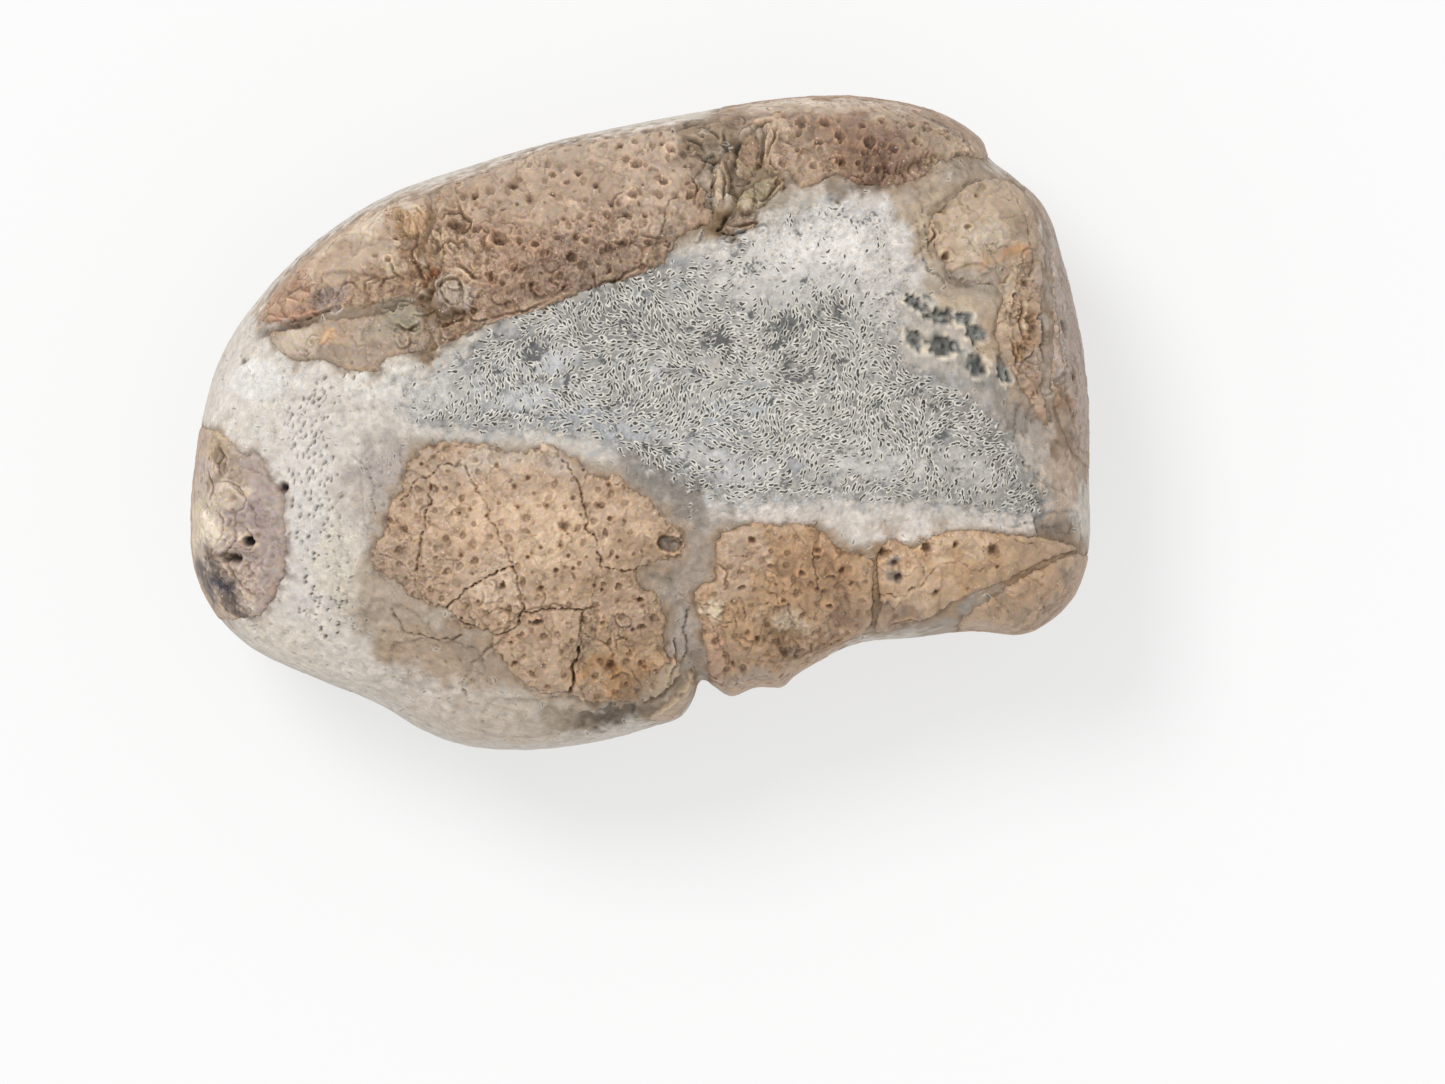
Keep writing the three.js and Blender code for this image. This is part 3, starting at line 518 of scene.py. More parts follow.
OUTLINES = {
    "claw_palm": [
        (-10.9, 11.9), (-10.0, 12.6), (-8.0, 13.4), (-6.0, 14.2), (-4.0, 14.8), (-1.0, 15.1), (2.1, 15.4),
        (2.4, 14.9), (2.6, 14.4), (3.2, 14.1), (3.5, 13.5), (3.1, 12.9), (3.2, 12.4), (3.6, 12.1),
        (3.6, 11.4), (4.1, 10.8), (3.5, 10.2), (2.5, 9.9), (1.9, 9.2), (1.3, 8.2), (0.5, 7.9),
        (-1.0, 7.3), (-3.0, 6.8), (-4.3, 6.2), (-6.0, 5.6), (-8.0, 5.0), (-9.4, 4.4), (-10.9, 3.9),
        (-10.9, 5.3), (-10.8, 7.0), (-11.4, 8.4), (-11.3, 9.6), (-10.8, 10.8),
    ],
    "movable_finger": [
        (-20.3, 5.4), (-19.4, 7.0), (-18.2, 8.4), (-16.6, 9.7), (-14.5, 11.0), (-12.5, 11.8),
        (-11.1, 12.0), (-11.1, 10.5), (-11.7, 9.2), (-11.4, 8.0), (-11.2, 7.3), (-12.0, 6.6),
        (-13.5, 6.2), (-16.0, 5.8), (-18.0, 5.4), (-19.6, 5.2),
    ],
    "fixed_finger": [
        (-19.7, 4.7), (-18.2, 4.95), (-17.0, 5.3), (-14.0, 5.7), (-11.7, 6.2), (-11.1, 5.0),
        (-11.1, 3.8), (-12.8, 3.4), (-13.6, 3.1), (-13.7, 2.6), (-15.3, 2.6), (-17.0, 3.2),
        (-18.2, 3.1), (-19.4, 3.9),
    ],
    "wrist_strip": [
        (3.9, 13.3), (3.85, 12.2), (4.05, 11.2), (4.6, 12.0), (4.75, 12.7), (4.4, 13.9),
    ],
    "wrist_oval": [
        (5.2, 14.3), (5.1, 13.2), (5.8, 12.85), (6.25, 13.0), (6.4, 14.3), (6.3, 15.1), (5.9, 15.3),
        (5.5, 14.9),
    ],
    "wrist_scale": [
        (6.2, 12.8), (7.7, 12.9), (7.7, 12.4), (6.7, 11.5), (6.2, 11.1), (5.4, 11.05), (5.1, 11.6),
        (5.8, 12.4),
    ],
    "wrist_splinter": [
        (4.3, 10.0), (4.7, 10.5), (5.2, 10.85), (6.2, 10.7), (6.2, 10.2), (5.5, 10.1), (4.9, 9.95),
    ],
    "arm_plate": [
        (6.6, 13.2), (6.5, 14.4), (6.6, 15.1), (6.2, 15.7), (5.0, 15.6), (4.0, 16.2), (5.4, 17.6),
        (8.2, 18.8), (12.4, 19.0), (16.4, 17.8), (18.6, 15.9), (18.5, 14.0), (17.2, 14.0),
        (15.8, 13.6), (15.0, 12.9), (13.2, 12.4), (11.5, 12.5), (10.5, 13.0), (9.6, 12.6),
        (8.6, 12.3), (7.9, 13.1), (7.2, 13.0),
    ],
    "shoulder_plate": [
        (17.6, 12.7), (18.6, 12.9), (19.8, 12.7), (20.8, 11.4), (21.4, 9.6), (21.5, 7.0),
        (21.3, 4.3), (21.4, 1.8), (21.8, -0.4), (20.7, 0.9), (19.8, 2.5), (18.9, 4.2), (18.9, 5.6),
        (19.2, 6.4), (18.6, 7.1), (16.5, 7.3), (16.0, 8.4), (15.3, 9.7), (15.3, 10.6), (16.3, 11.7),
    ],
    "side_plate": [
        (20.4, 12.2), (21.3, 11.1), (21.8, 9.0), (21.9, 5.0), (21.9, 1.2), (22.6, -1.0),
        (24.0, -2.6), (26.8, -2.4), (28.2, 1.0), (27.6, 6.0), (26.0, 10.4), (23.6, 13.2), (21.6, 13.6),
    ],
    "second_palm": [
        (-12.4, -2.3), (-11.4, -1.4), (-10.6, -1.1), (-8.0, -1.2), (-6.5, -1.6), (-4.6, -1.2),
        (-3.2, -2.1), (-2.1, -2.9), (-0.9, -2.8), (-0.7, -3.3), (0.6, -4.1), (1.3, -5.1), (2.2, -5.9),
        (2.3, -7.0), (1.0, -7.5), (-0.1, -8.0), (0.1, -8.8), (1.0, -9.2), (1.4, -10.6), (1.3, -12.1),
        (2.2, -12.9), (1.7, -14.0), (0.3, -14.9), (-1.6, -14.9), (-3.0, -15.0), (-3.5, -14.6),
        (-5.0, -14.6), (-6.6, -13.7), (-7.5, -12.6), (-7.9, -12.0), (-7.8, -11.4), (-9.4, -11.0),
        (-10.2, -10.1), (-12.0, -9.4), (-13.0, -8.6), (-14.2, -7.7), (-14.3, -6.9), (-13.7, -5.9),
        (-13.3, -4.5), (-12.6, -3.3),
    ],
    "second_wrist": [
        (4.2, -6.0), (5.2, -5.6), (6.0, -5.3), (7.5, -5.5), (8.2, -5.3), (9.8, -5.9), (10.6, -6.7),
        (11.8, -7.1), (12.4, -7.2), (12.5, -8.2), (12.45, -9.6), (12.3, -11.0), (11.2, -11.6),
        (9.8, -12.8), (8.4, -15.0), (6.8, -15.4), (5.2, -15.8), (3.8, -14.4), (3.4, -12.0),
        (3.0, -10.0), (2.8, -9.4), (3.2, -8.7), (4.0, -8.3), (4.0, -6.8),
    ],
    "shell_chip": [
        (3.1, -9.05), (3.4, -8.75), (4.05, -8.55), (4.15, -9.2), (4.55, -9.7), (4.6, -10.3),
        (4.2, -10.7), (3.5, -9.9),
    ],
    "second_arm": [
        (12.5, -6.9), (12.9, -6.5), (13.4, -6.2), (14.5, -6.7), (15.2, -6.2), (17.0, -5.7),
        (19.0, -5.9), (21.6, -6.2), (23.4, -6.8), (22.2, -7.2), (20.5, -7.95), (19.2, -8.6),
        (17.0, -9.5), (15.6, -10.3), (14.0, -10.8), (12.45, -11.2), (12.5, -10.4), (12.7, -9.8),
        (12.5, -9.0), (12.52, -7.6),
    ],
    "second_arm_fragment": [
        (16.9, -10.8), (17.6, -10.0), (19.2, -9.0), (19.9, -8.5), (21.6, -7.6), (23.4, -7.0),
        (26.2, -8.4), (25.4, -11.2), (22.8, -13.2), (19.8, -13.4), (17.4, -12.2),
    ],
    "flank_splinter": [
        (2.6, -13.1), (3.0, -13.7), (2.6, -14.9), (2.0, -15.7), (0.7, -16.0), (0.4, -15.8),
        (1.3, -14.9), (2.2, -13.9),
    ],
    "leg_section": [
        (-22.7, -0.4), (-21.8, -0.9), (-20.9, -1.8), (-20.2, -1.6), (-19.5, -3.1), (-19.0, -3.6),
        (-18.8, -4.8), (-18.8, -8.0), (-19.5, -9.6), (-20.3, -10.4), (-22.2, -10.6), (-24.8, -10.8),
        (-26.8, -8.8), (-27.6, -5.2), (-26.8, -1.8), (-24.6, -0.3),
    ],
}

SLOTS = {
    "claw_palm": "claw_shell", "movable_finger": "claw_shell", "wrist_oval": "claw_shell",
    "side_plate": "claw_shell", "second_arm_fragment": "claw_shell", "second_palm": "sandy_shell",
    "second_arm": "sandy_shell", "arm_plate": "dark_shell", "second_wrist": "dark_shell",
    "fixed_finger": "smooth_shell", "shoulder_plate": "smooth_shell", "wrist_scale": "olive_shell",
    "wrist_splinter": "olive_shell", "wrist_strip": "pale_shell", "shell_chip": "pale_shell",
    "flank_splinter": "pale_shell", "leg_section": "leg_filling",
}

CORE_OUTLINE = [
    (-12.6, 1.8), (-11.2, 2.6), (-9.2, 3.8), (-6.6, 5.1), (-4.0, 6.1), (-1.0, 7.1), (1.2, 7.9),
    (3.2, 8.9), (5.4, 9.9), (7.6, 11.0), (10.0, 11.6), (12.4, 11.3), (13.4, 9.6), (13.6, 7.4),
    (13.9, 5.2), (14.2, 3.4), (16.2, 2.2), (18.4, 0.8), (19.6, -0.6), (20.6, -2.4), (21.6, -4.2),
    (21.2, -5.1), (18.8, -4.9), (14.6, -4.5), (11.0, -4.4), (7.4, -4.4), (4.6, -4.4), (2.6, -4.0),
    (1.0, -3.0), (-0.6, -2.0), (-2.6, -1.3), (-5.2, -0.7), (-8.0, -0.6), (-10.6, -0.4), (-12.6, 0.2),
]


def craggy(name, amount):
    """An outline with the small irregularities of a broken edge, anticlockwise."""
    points = curve(OUTLINES[name] if name in OUTLINES else CORE_OUTLINE, 0.12)
    ahead = np.roll(points, -1, axis=0) - np.roll(points, 1, axis=0)
    sideways = np.stack([ahead[:, 1], -ahead[:, 0]], axis=1) / np.linalg.norm(ahead, axis=1)[:, None]
    points = points + sideways * (amount * read(crag, points))[:, None]
    x, y = points.T
    turning = np.sum(x * np.roll(y, -1) - y * np.roll(x, -1))
    return points if turning > 0 else points[::-1]


def to_outline(chart, outline):
    """Distance inside an outline, negative outside, the nearest point on it and the way along it."""
    ends = np.roll(outline, -1, axis=0)
    spans = ends - outline
    lengths = (spans**2).sum(1)
    travel = np.append(0, np.cumsum(np.sqrt(lengths)))
    distance, along = np.empty(len(chart)), np.empty(len(chart))
    nearest = np.empty((len(chart), 2))
    for first in range(0, len(chart), BATCH):
        spots = chart[first:first + BATCH]
        away = spots[:, None] - outline[None]
        share = np.clip((away * spans).sum(-1) / lengths, 0, 1)
        gap = away - share[..., None] * spans
        far = (gap**2).sum(-1)
        best = far.argmin(1)
        rows = np.arange(len(spots))
        crosses = (outline[:, 1] > spots[:, 1:]) != (ends[:, 1] > spots[:, 1:])
        slope = spans[:, 0] / np.where(spans[:, 1] == 0, 1e-12, spans[:, 1])
        left = spots[:, :1] < outline[:, 0] + (spots[:, 1:] - outline[:, 1]) * slope
        inside = (crosses & left).sum(1) % 2 == 1
        part = slice(first, first + len(spots))
        distance[part] = np.sqrt(far[rows, best]) * np.where(inside, 1, -1)
        nearest[part] = spots - gap[rows, best]
        along[part] = travel[best] + share[rows, best] * np.sqrt(lengths[best])
    return distance, nearest, along


EDGE_WEAR = {"claw_palm": 0.1, "second_palm": 0.12, "leg_section": 0.08, "core": 0.2}
outlines = {name: craggy(name, EDGE_WEAR.get(name, 0.06)) for name in OUTLINES}
core_outline = craggy("core", EDGE_WEAR["core"])


def enlarge(coarse, stride):
    """A coarse sheet at `stride` times its resolution, in straight steps between its values."""
    share = np.arange(stride) / stride
    rows = blend(coarse[:-1, None], coarse[1:, None], share[None, :, None]).reshape(-1, coarse.shape[1])
    return blend(rows[:, :-1, None], rows[:, 1:, None], share).reshape(len(rows), -1)


def cover_sheet(loops, stride=4, margin=1.5):
    """How far inside the nearest of some outlines each spot of the chart is."""
    cover = np.full(SHEET_SIZE, -margin, np.float32)
    for loop in loops:
        low = np.maximum(((loop.min(0) - margin - SHEET_LOW) / SHEET_STEP).astype(int), 0)
        high = ((loop.max(0) + margin - SHEET_LOW) / SHEET_STEP).astype(int)
        columns = SHEET_LOW[0] + SHEET_STEP * np.arange(low[0], high[0] + stride, stride)
        rows = SHEET_LOW[1] + SHEET_STEP * np.arange(low[1], high[1] + stride, stride)
        spots = np.stack(np.meshgrid(columns, rows), axis=-1).reshape(-1, 2)
        inside = enlarge(to_outline(spots, loop)[0].reshape(len(rows), len(columns)), stride)
        inside = inside[: SHEET_SIZE[0] - low[1], : SHEET_SIZE[1] - low[0]]
        place = (slice(low[1], low[1] + inside.shape[0]), slice(low[0], low[0] + inside.shape[1]))
        cover[place] = np.maximum(cover[place], inside)
    return cover


plate_cover = cover_sheet(outlines.values())
core_cover = cover_sheet([core_outline])

# ---- The stone's relief and colour ------------------------------------------------------------------

STONE_GROUND = (212, 204, 194)
BESIDE_SHELL = (168, 152, 134)  # the stone's stain round the plates
CORE_GROUND = (170, 167, 162)
STAIN_TONE = (98, 99, 100)
CELL_WALL = (230, 216, 196)
stone = Layers(STONE_GROUND)

# Blotches: x, y, half-length, half-width, turn in degrees, colour.
STONE_PATCHES = [
    (-18.0, 1.6, 5.5, 2.6, 0, (211, 203, 193)),  # cream corner
    (-20.0, 2.3, 1.9, 1.0, 10, (224, 220, 214)),
    (-21.6, 3.6, 1.6, 1.0, 50, (208, 198, 186)),
    (-22.6, 1.0, 0.9, 2.4, -10, (219, 211, 203)),
    (-14.2, 2.4, 2.4, 0.6, 10, (224, 218, 209)),
    (-17.6, -5.0, 1.7, 5.6, 3, (213, 206, 199)),  # white band
    (-15.4, -5.4, 1.0, 3.6, 0, (201, 190, 180)),
    (-13.6, -4.0, 1.5, 2.8, -12, (180, 168, 156)),
    (-13.8, -2.6, 1.4, 1.2, 0, (176, 165, 158)),
    (-14.0, -9.4, 2.0, 1.6, -30, (192, 176, 157)),
    (-16.0, -8.0, 0.8, 3.0, 5, (214, 205, 190)),
    (-12.4, -10.6, 3.0, 1.5, -25, (180, 163, 145)),
    (-9.2, -11.5, 1.6, 0.7, -20, (170, 152, 134)),
    (-10.8, -12.6, 3.4, 1.6, -18, (178, 155, 132)),  # tan patch
    (-9.2, -12.0, 1.6, 0.9, -30, (161, 143, 125)),
    (-16.8, -12.2, 3.2, 1.4, -25, (226, 215, 204)),
    (-19.4, -12.2, 3.0, 1.6, -25, (228, 217, 202)),
    (-15.0, -14.4, 3.0, 1.6, -25, (220, 211, 199)),
    (-12.8, -14.8, 1.8, 1.1, -20, (206, 195, 182)),
    (-9.8, -16.4, 3.4, 1.8, -8, (210, 197, 182)),
    (-6.0, -16.2, 3.6, 2.0, 0, (205, 191, 174)),
    (-3.4, -16.0, 1.8, 1.0, 10, (168, 152, 132)),
    (-1.4, -15.7, 1.5, 0.8, 20, (122, 108, 93)),
    (0.6, -15.4, 0.9, 0.5, 40, (118, 104, 88)),
    (2.5, -11.6, 0.8, 2.0, 5, (190, 176, 163)),  # strip between palm and wrist
    (2.2, -8.4, 1.6, 1.1, 10, (168, 152, 138)),
    (2.9, -6.4, 0.9, 1.4, 0, (163, 148, 134)),
    (0.6, -8.4, 1.0, 0.6, 0, (140, 130, 114)),
    (1.6, -4.0, 2.6, 0.9, -35, (148, 139, 130)),  # dark corner above the opening
    (3.6, -4.9, 1.2, 0.8, -20, (158, 149, 140)),
    (8.0, -5.0, 4.0, 0.6, 0, (218, 207, 198)),  # white margin
    (14.4, -5.7, 3.4, 0.6, 6, (230, 220, 211)),
    (19.6, -5.4, 2.6, 0.5, -8, (222, 211, 201)),
    (10.2, 10.2, 3.4, 1.9, 8, (210, 201, 192)),  # under the arm
    (6.6, 10.2, 1.8, 0.9, 30, (205, 195, 184)),
    (13.4, 10.8, 0.8, 0.8, 0, (231, 226, 220)),
    (13.4, 8.4, 1.6, 2.0, 0, (212, 205, 198)),
    (10.8, 12.4, 2.0, 0.6, 0, (172, 160, 150)),
    (14.6, 11.9, 1.2, 1.2, 0, (180, 163, 145)),
    (15.2, 9.2, 0.8, 1.6, 0, (184, 167, 149)),
    (14.6, 7.4, 1.4, 0.7, 0, (198, 188, 176)),
    (16.2, 4.9, 3.0, 1.9, -20, (190, 181, 170)),
    (16.4, 4.8, 2.2, 0.5, -25, (180, 170, 160)),
    (17.8, 5.3, 0.9, 1.0, -10, (205, 188, 162)),
    (16.9, 6.4, 1.8, 0.5, -8, (196, 176, 150)),
    (18.9, 4.0, 0.5, 1.2, 10, (178, 158, 134)),
    (17.4, 2.2, 2.2, 0.7, -18, (152, 148, 142)),
    (14.2, 7.4, 1.0, 0.7, 0, (212, 206, 200)),
    (18.4, 5.4, 0.9, 1.1, 0, (186, 168, 150)),
    (19.6, 0.6, 1.6, 1.3, -45, (163, 152, 142)),
    (20.9, -1.2, 1.3, 1.9, 30, (196, 184, 171)),
    (22.8, -2.4, 1.1, 1.9, 12, (196, 172, 153)),  # dark worn end
    (22.6, -5.8, 1.5, 0.9, 5, (134, 118, 103)),
    (22.0, -4.0, 1.1, 1.5, 0, (200, 179, 160)),
    (16.8, -10.0, 2.6, 0.6, 25, (168, 150, 134)),  # strip in the second arm
    (12.45, -9.0, 0.6, 2.6, 0, (140, 112, 84)),  # joint of the second wrist and arm
    (20.6, -8.1, 2.0, 0.45, 22, (160, 128, 96)),
    (22.8, -7.2, 1.0, 0.4, 15, (154, 128, 100)),
    (17.6, -9.9, 1.8, 0.5, 28, (172, 163, 152)),
    (12.7, -10.0, 0.4, 0.7, 0, (122, 106, 82)),
    (14.4, -11.3, 2.8, 0.3, -3, (190, 182, 172)),
    (4.0, 14.4, 1.5, 1.1, 20, (132, 116, 98)),  # broken wrist
    (5.4, 12.2, 1.9, 1.4, 20, (170, 148, 124)),
    (5.0, 10.4, 1.4, 0.6, 20, (160, 142, 125)),
    (4.2, 12.6, 0.6, 1.2, 10, (196, 184, 170)),
    (2.0, 16.0, 2.2, 0.5, 10, (130, 114, 99)),
    (-1.4, 15.5, 1.5, 0.35, 8, (178, 164, 152)),
    (-8.0, 14.2, 5.0, 0.6, 18, (226, 215, 206)),  # pale flank above the claw, painted lighter for the light that falls on this slope
    (-13.4, 12.0, 2.6, 0.7, 28, (218, 206, 194)),
    (-17.4, 9.4, 2.2, 0.5, 42, (176, 160, 146)),
    (-4.6, 14.8, 7.0, 0.8, 15, (216, 201, 188)),  # rim above the first claw, painted lighter for the light that falls on its slope
    (-15.6, 10.9, 4.4, 0.7, 30, (204, 186, 170)),
    (-19.2, 7.6, 1.6, 0.5, 50, (178, 160, 142)),
    (-11.2, 8.0, 0.8, 4.4, 0, (154, 125, 92)),  # crease between finger and palm
    (-11.2, 7.2, 0.4, 1.8, 0, (112, 84, 56)),
    (-10.95, 7.6, 0.3, 0.6, 20, (128, 72, 26)),
    (-11.3, 4.8, 0.5, 1.2, 0, (140, 116, 90)),
    (-15.4, 5.7, 4.4, 0.5, 9, (132, 116, 98)),  # cleft between the fingers
    (-18.7, 4.95, 1.4, 0.35, 10, (84, 70, 60)),
    (4.6, 11.0, 1.8, 1.0, 25, (150, 130, 108)),
    (6.6, 13.0, 0.9, 1.4, 0, (140, 120, 100)),
    (8.4, 11.8, 1.8, 0.6, -10, (196, 184, 170)),
    (10.8, 12.7, 3.4, 0.5, 0, (150, 136, 122)),
    (15.6, 12.6, 2.2, 0.9, -25, (184, 166, 146)),
    (17.8, 13.6, 1.4, 0.6, -20, (176, 158, 140)),
    (15.3, 10.2, 0.9, 2.6, 0, (186, 166, 143)),
    (16.6, 7.0, 1.6, 0.5, -5, (172, 156, 140)),
    (18.9, 4.6, 0.6, 1.6, 0, (176, 154, 130)),
    (20.2, 1.4, 0.8, 1.6, -25, (172, 152, 132)),
    (21.8, 11.0, 0.5, 1.4, -20, (166, 146, 130)),
    (22.2, -0.2, 0.6, 1.4, 20, (150, 128, 108)),
    (21.6, 9.4, 0.4, 1.8, -6, (222, 214, 208)),  # pale strip at the shoulder
    (21.6, 6.0, 0.35, 2.4, 0, (150, 128, 108)),
    (19.4, 13.3, 1.2, 0.5, -35, (160, 146, 132)),
    (3.6, 15.3, 1.6, 0.8, 12, (146, 126, 104)),
    (4.6, 14.6, 0.4, 0.4, 0, (106, 94, 82)),
    (-1.4, 15.25, 1.6, 0.16, 7, (150, 142, 134)),
    (1.6, 15.6, 1.8, 0.22, 12, (104, 88, 74)),
    (-6.6, 14.25, 1.1, 0.1, 18, (112, 96, 82)),
    (-3.0, 15.9, 7.0, 0.28, 12, (226, 214, 203)),
    (4.9, 13.4, 0.5, 1.8, 5, (104, 86, 68)),  # crevices of the broken wrist
    (6.7, 14.0, 0.3, 1.2, -10, (112, 94, 76)),
    (5.0, 11.9, 0.5, 0.8, 0, (110, 96, 66)),
    (4.3, 10.6, 0.5, 0.5, 0, (112, 88, 60)),
    (7.4, 11.6, 0.9, 0.4, 30, (172, 160, 144)),
]

CORE_PATCHES = [
    (2.0, 1.6, 13.0, 4.4, 10, (181, 178, 173)),
    (14.0, -0.6, 7.6, 4.4, -8, (178, 174, 168)),
    (8.0, 6.6, 5.6, 4.0, 15, (182, 178, 172)),
    (-7.0, 1.6, 5.0, 2.2, 14, (173, 172, 170)),
    (-10.6, 1.4, 2.2, 1.2, 0, (187, 184, 179)),
    (-4.5, 3.4, 3.0, 1.2, 20, (170, 169, 166)),
    (-1.2, 4.6, 2.4, 1.4, 15, (160, 158, 154)),
    (1.6, 6.4, 2.6, 1.0, 25, (178, 176, 173)),
    (-3.0, 0.2, 4.0, 0.7, -5, (170, 172, 175)),
    (4.0, -1.0, 4.0, 1.0, -15, (168, 168, 166)),
    (0.8, -2.0, 2.4, 0.6, -25, (166, 163, 159)),
    (7.0, -4.0, 4.0, 0.8, -4, (190, 187, 183)),
    (14.0, -4.2, 5.0, 0.9, 2, (190, 185, 178)),
    (19.0, -3.4, 2.0, 1.4, -30, (184, 178, 171)),
    (9.0, 2.0, 1.6, 1.4, 0, (172, 168, 162)),
    (5.0, 4.0, 2.0, 1.4, 0, (178, 174, 169)),
    (11.0, 4.6, 2.0, 1.6, 0, (184, 180, 173)),
    (9.6, 9.0, 3.6, 1.8, 8, (208, 202, 195)),
    (5.6, 8.4, 2.0, 1.0, 30, (196, 191, 185)),
    (12.8, 7.6, 1.2, 2.2, 0, (200, 194, 187)),
    (13.8, 3.6, 0.9, 1.6, 0, (190, 184, 176)),
    (18.4, 0.4, 1.8, 1.0, -30, (166, 160, 153)),
    (5.4, 0.6, 2.0, 1.2, 30, (178, 180, 182)),
    (1.0, 2.6, 1.8, 1.0, 0, (182, 181, 178)),
]

# Where the core is chalky and few tubes open.
CORE_PALE = [
    (9.8, 9.6, 4.2, 2.0, 8, (236, 230, 223)),
    (6.2, 8.9, 2.2, 1.1, 32, (224, 218, 210)),
    (13.0, 7.4, 1.2, 2.6, 0, (226, 219, 211)),
    (8.6, 7.2, 3.6, 1.0, 10, (206, 201, 195)),
    (-11.0, 1.6, 2.0, 1.3, 10, (212, 208, 202)),
    (-4.4, 3.4, 1.0, 0.6, 20, (206, 206, 206)),
    (-6.6, 1.2, 1.6, 0.4, 0, (204, 204, 202)),
    (-1.0, -0.4, 2.6, 0.4, -14, (196, 196, 197)),
    (5.0, -2.6, 3.0, 0.5, -10, (206, 204, 202)),
    (12.0, -2.4, 3.0, 0.6, 4, (202, 198, 193)),
    (17.0, -2.6, 2.0, 0.6, -12, (200, 195, 188)),
]

# Blotches that lie across the core's border.
BORDER_PATCHES = [
    (1.5, -3.9, 2.9, 0.95, -31, (146, 137, 128)),
    (0.0, -3.0, 1.4, 0.5, -30, (150, 143, 135)),
    (3.6, -5.2, 0.9, 0.8, 0, (154, 145, 135)),
    (19.8, 0.6, 0.7, 1.8, 40, (158, 149, 139)),
    (-13.6, 1.6, 1.4, 0.5, 12, (222, 216, 208)),
]

# Dark blotches in the core: x, y, radius.
CORE_STAINS = [
    (-3.6, 2.2, 0.35), (-3.7, 1.4, 0.3), (-5.5, 3.8, 0.45), (-5.6, 3.2, 0.3), (-0.5, 5.0, 0.4),
    (4.1, 4.3, 0.65), (4.5, 3.4, 0.4), (7.9, 5.1, 0.75), (7.3, 4.4, 0.4), (7.7, 3.3, 0.5),
    (8.0, 2.3, 0.55), (9.0, 2.6, 0.35), (-0.9, 1.0, 0.35), (5.6, 5.6, 0.35), (10.6, 3.0, 0.3),
    (3.0, 2.6, 0.25), (12.4, 0.8, 0.35), (14.6, 1.4, 0.3), (13.2, -0.4, 0.3), (2.4, 5.2, 0.3),
    (-7.6, 2.4, 0.25), (0.9, -1.5, 0.3), (2.3, -2.2, 0.35), (7.0, 1.0, 0.3), (16.6, -0.6, 0.35),
    (15.6, 0.8, 0.3), (10.8, 5.8, 0.25), (-1.8, 3.2, 0.25),
]

# Open cells of spongy filling beside the shoulder: x, y, half-length, half-width, turn, and the tone of the
# floor, painted dark as the shade in the cell.
CELLS = [
    (14.45, 6.25, 0.45, 0.26, -25, 92), (15.2, 5.85, 0.4, 0.22, -35, 100),
    (16.1, 5.6, 0.62, 0.38, -8, 96), (17.15, 5.35, 0.42, 0.27, 15, 128),
    (17.75, 4.65, 0.55, 0.38, -12, 112), (14.6, 4.25, 0.56, 0.42, -30, 116),
    (15.95, 4.0, 0.68, 0.44, -25, 88), (17.85, 3.0, 0.46, 0.56, 5, 92),
    (19.2, 2.75, 0.26, 0.7, 15, 104), (16.9, 3.75, 0.16, 0.36, 25, 150),
    (15.3, 6.45, 0.34, 0.1, -20, 140),
]

# Ground that is as rough as the shell beside it: x, y, half-length, half-width, turn, how rough.
STONE_ROUGH = [
    (-11.3, 8.0, 0.9, 4.4, 0, 1.2),  # crease between finger and palm
    (-15.0, 5.7, 4.6, 0.7, 9, 0.9),  # cleft between the fingers
    (4.6, 12.6, 2.6, 3.6, 10, 1.2),  # broken wrist
    (10.8, 12.5, 4.6, 0.8, 0, 0.9),  # below the arm
    (14.9, 9.6, 1.3, 3.4, 0, 0.7),  # beside the shoulder
    (16.6, 13.4, 2.4, 1.0, -20, 0.6),
    (-4.0, 15.1, 9.0, 0.8, 14, 0.5),  # rim above the first claw
    (-17.0, 9.8, 4.6, 0.7, 38, 0.5),
    (20.4, 4.0, 1.4, 5.0, 0, 0.8),
    (22.4, -4.0, 1.8, 4.0, 0, 0.5),
    (-1.6, -15.4, 3.0, 1.0, 12, 0.8),
    (-12.4, -11.6, 4.0, 1.8, -25, 0.3),
    (2.4, -9.0, 1.2, 6.4, 0, 0.4),
    (-21.0, -10.4, 2.6, 1.4, -30, 0.6),
]

def paint_ground():
    """The stone's own colours, and how rough it is in places."""
    beside = smooth_step(plate_cover + 0.3 * sway, -1.6, -0.3) * smooth_step(-core_cover, 0.0, 0.8)
    beside = beside * smooth_step(sheet_x, -17, -13)
    stone.paint = blend(stone.paint, linear(BESIDE_SHELL), 0.85 * beside[..., None])
    for patch in STONE_PATCHES:
        stone.patch(*patch)
    for spot in STONE_ROUGH:
        stone.roughen(*spot)


def paint_core():
    """Paints the grey core into the stone, and gives how fully it covers each spot."""
    share = smooth_step(core_cover + 0.2 * noise(0.5, 2.4) + 0.8 * claw_side, -0.3, 0.3)
    grey = Layers(CORE_GROUND)
    for patch in CORE_PATCHES:
        grey.patch(*patch, strength=0.85, edge=0.6)
    grey.paint *= (1.06 + 0.11 * cloud(3.0) + 0.06 * noise(0.3, 1.2))[..., None]
    grey.paint *= 1 + 0.02 * noise(0.8, 4.0)[..., None] * np.array([-0.6, 0.0, 1.0], np.float32)
    for patch in CORE_PALE:
        grey.patch(*patch, strength=0.85, edge=0.6)
    stone.paint = blend(stone.paint, grey.paint, share[..., None])
    for patch in BORDER_PATCHES:
        stone.patch(*patch)
    return share


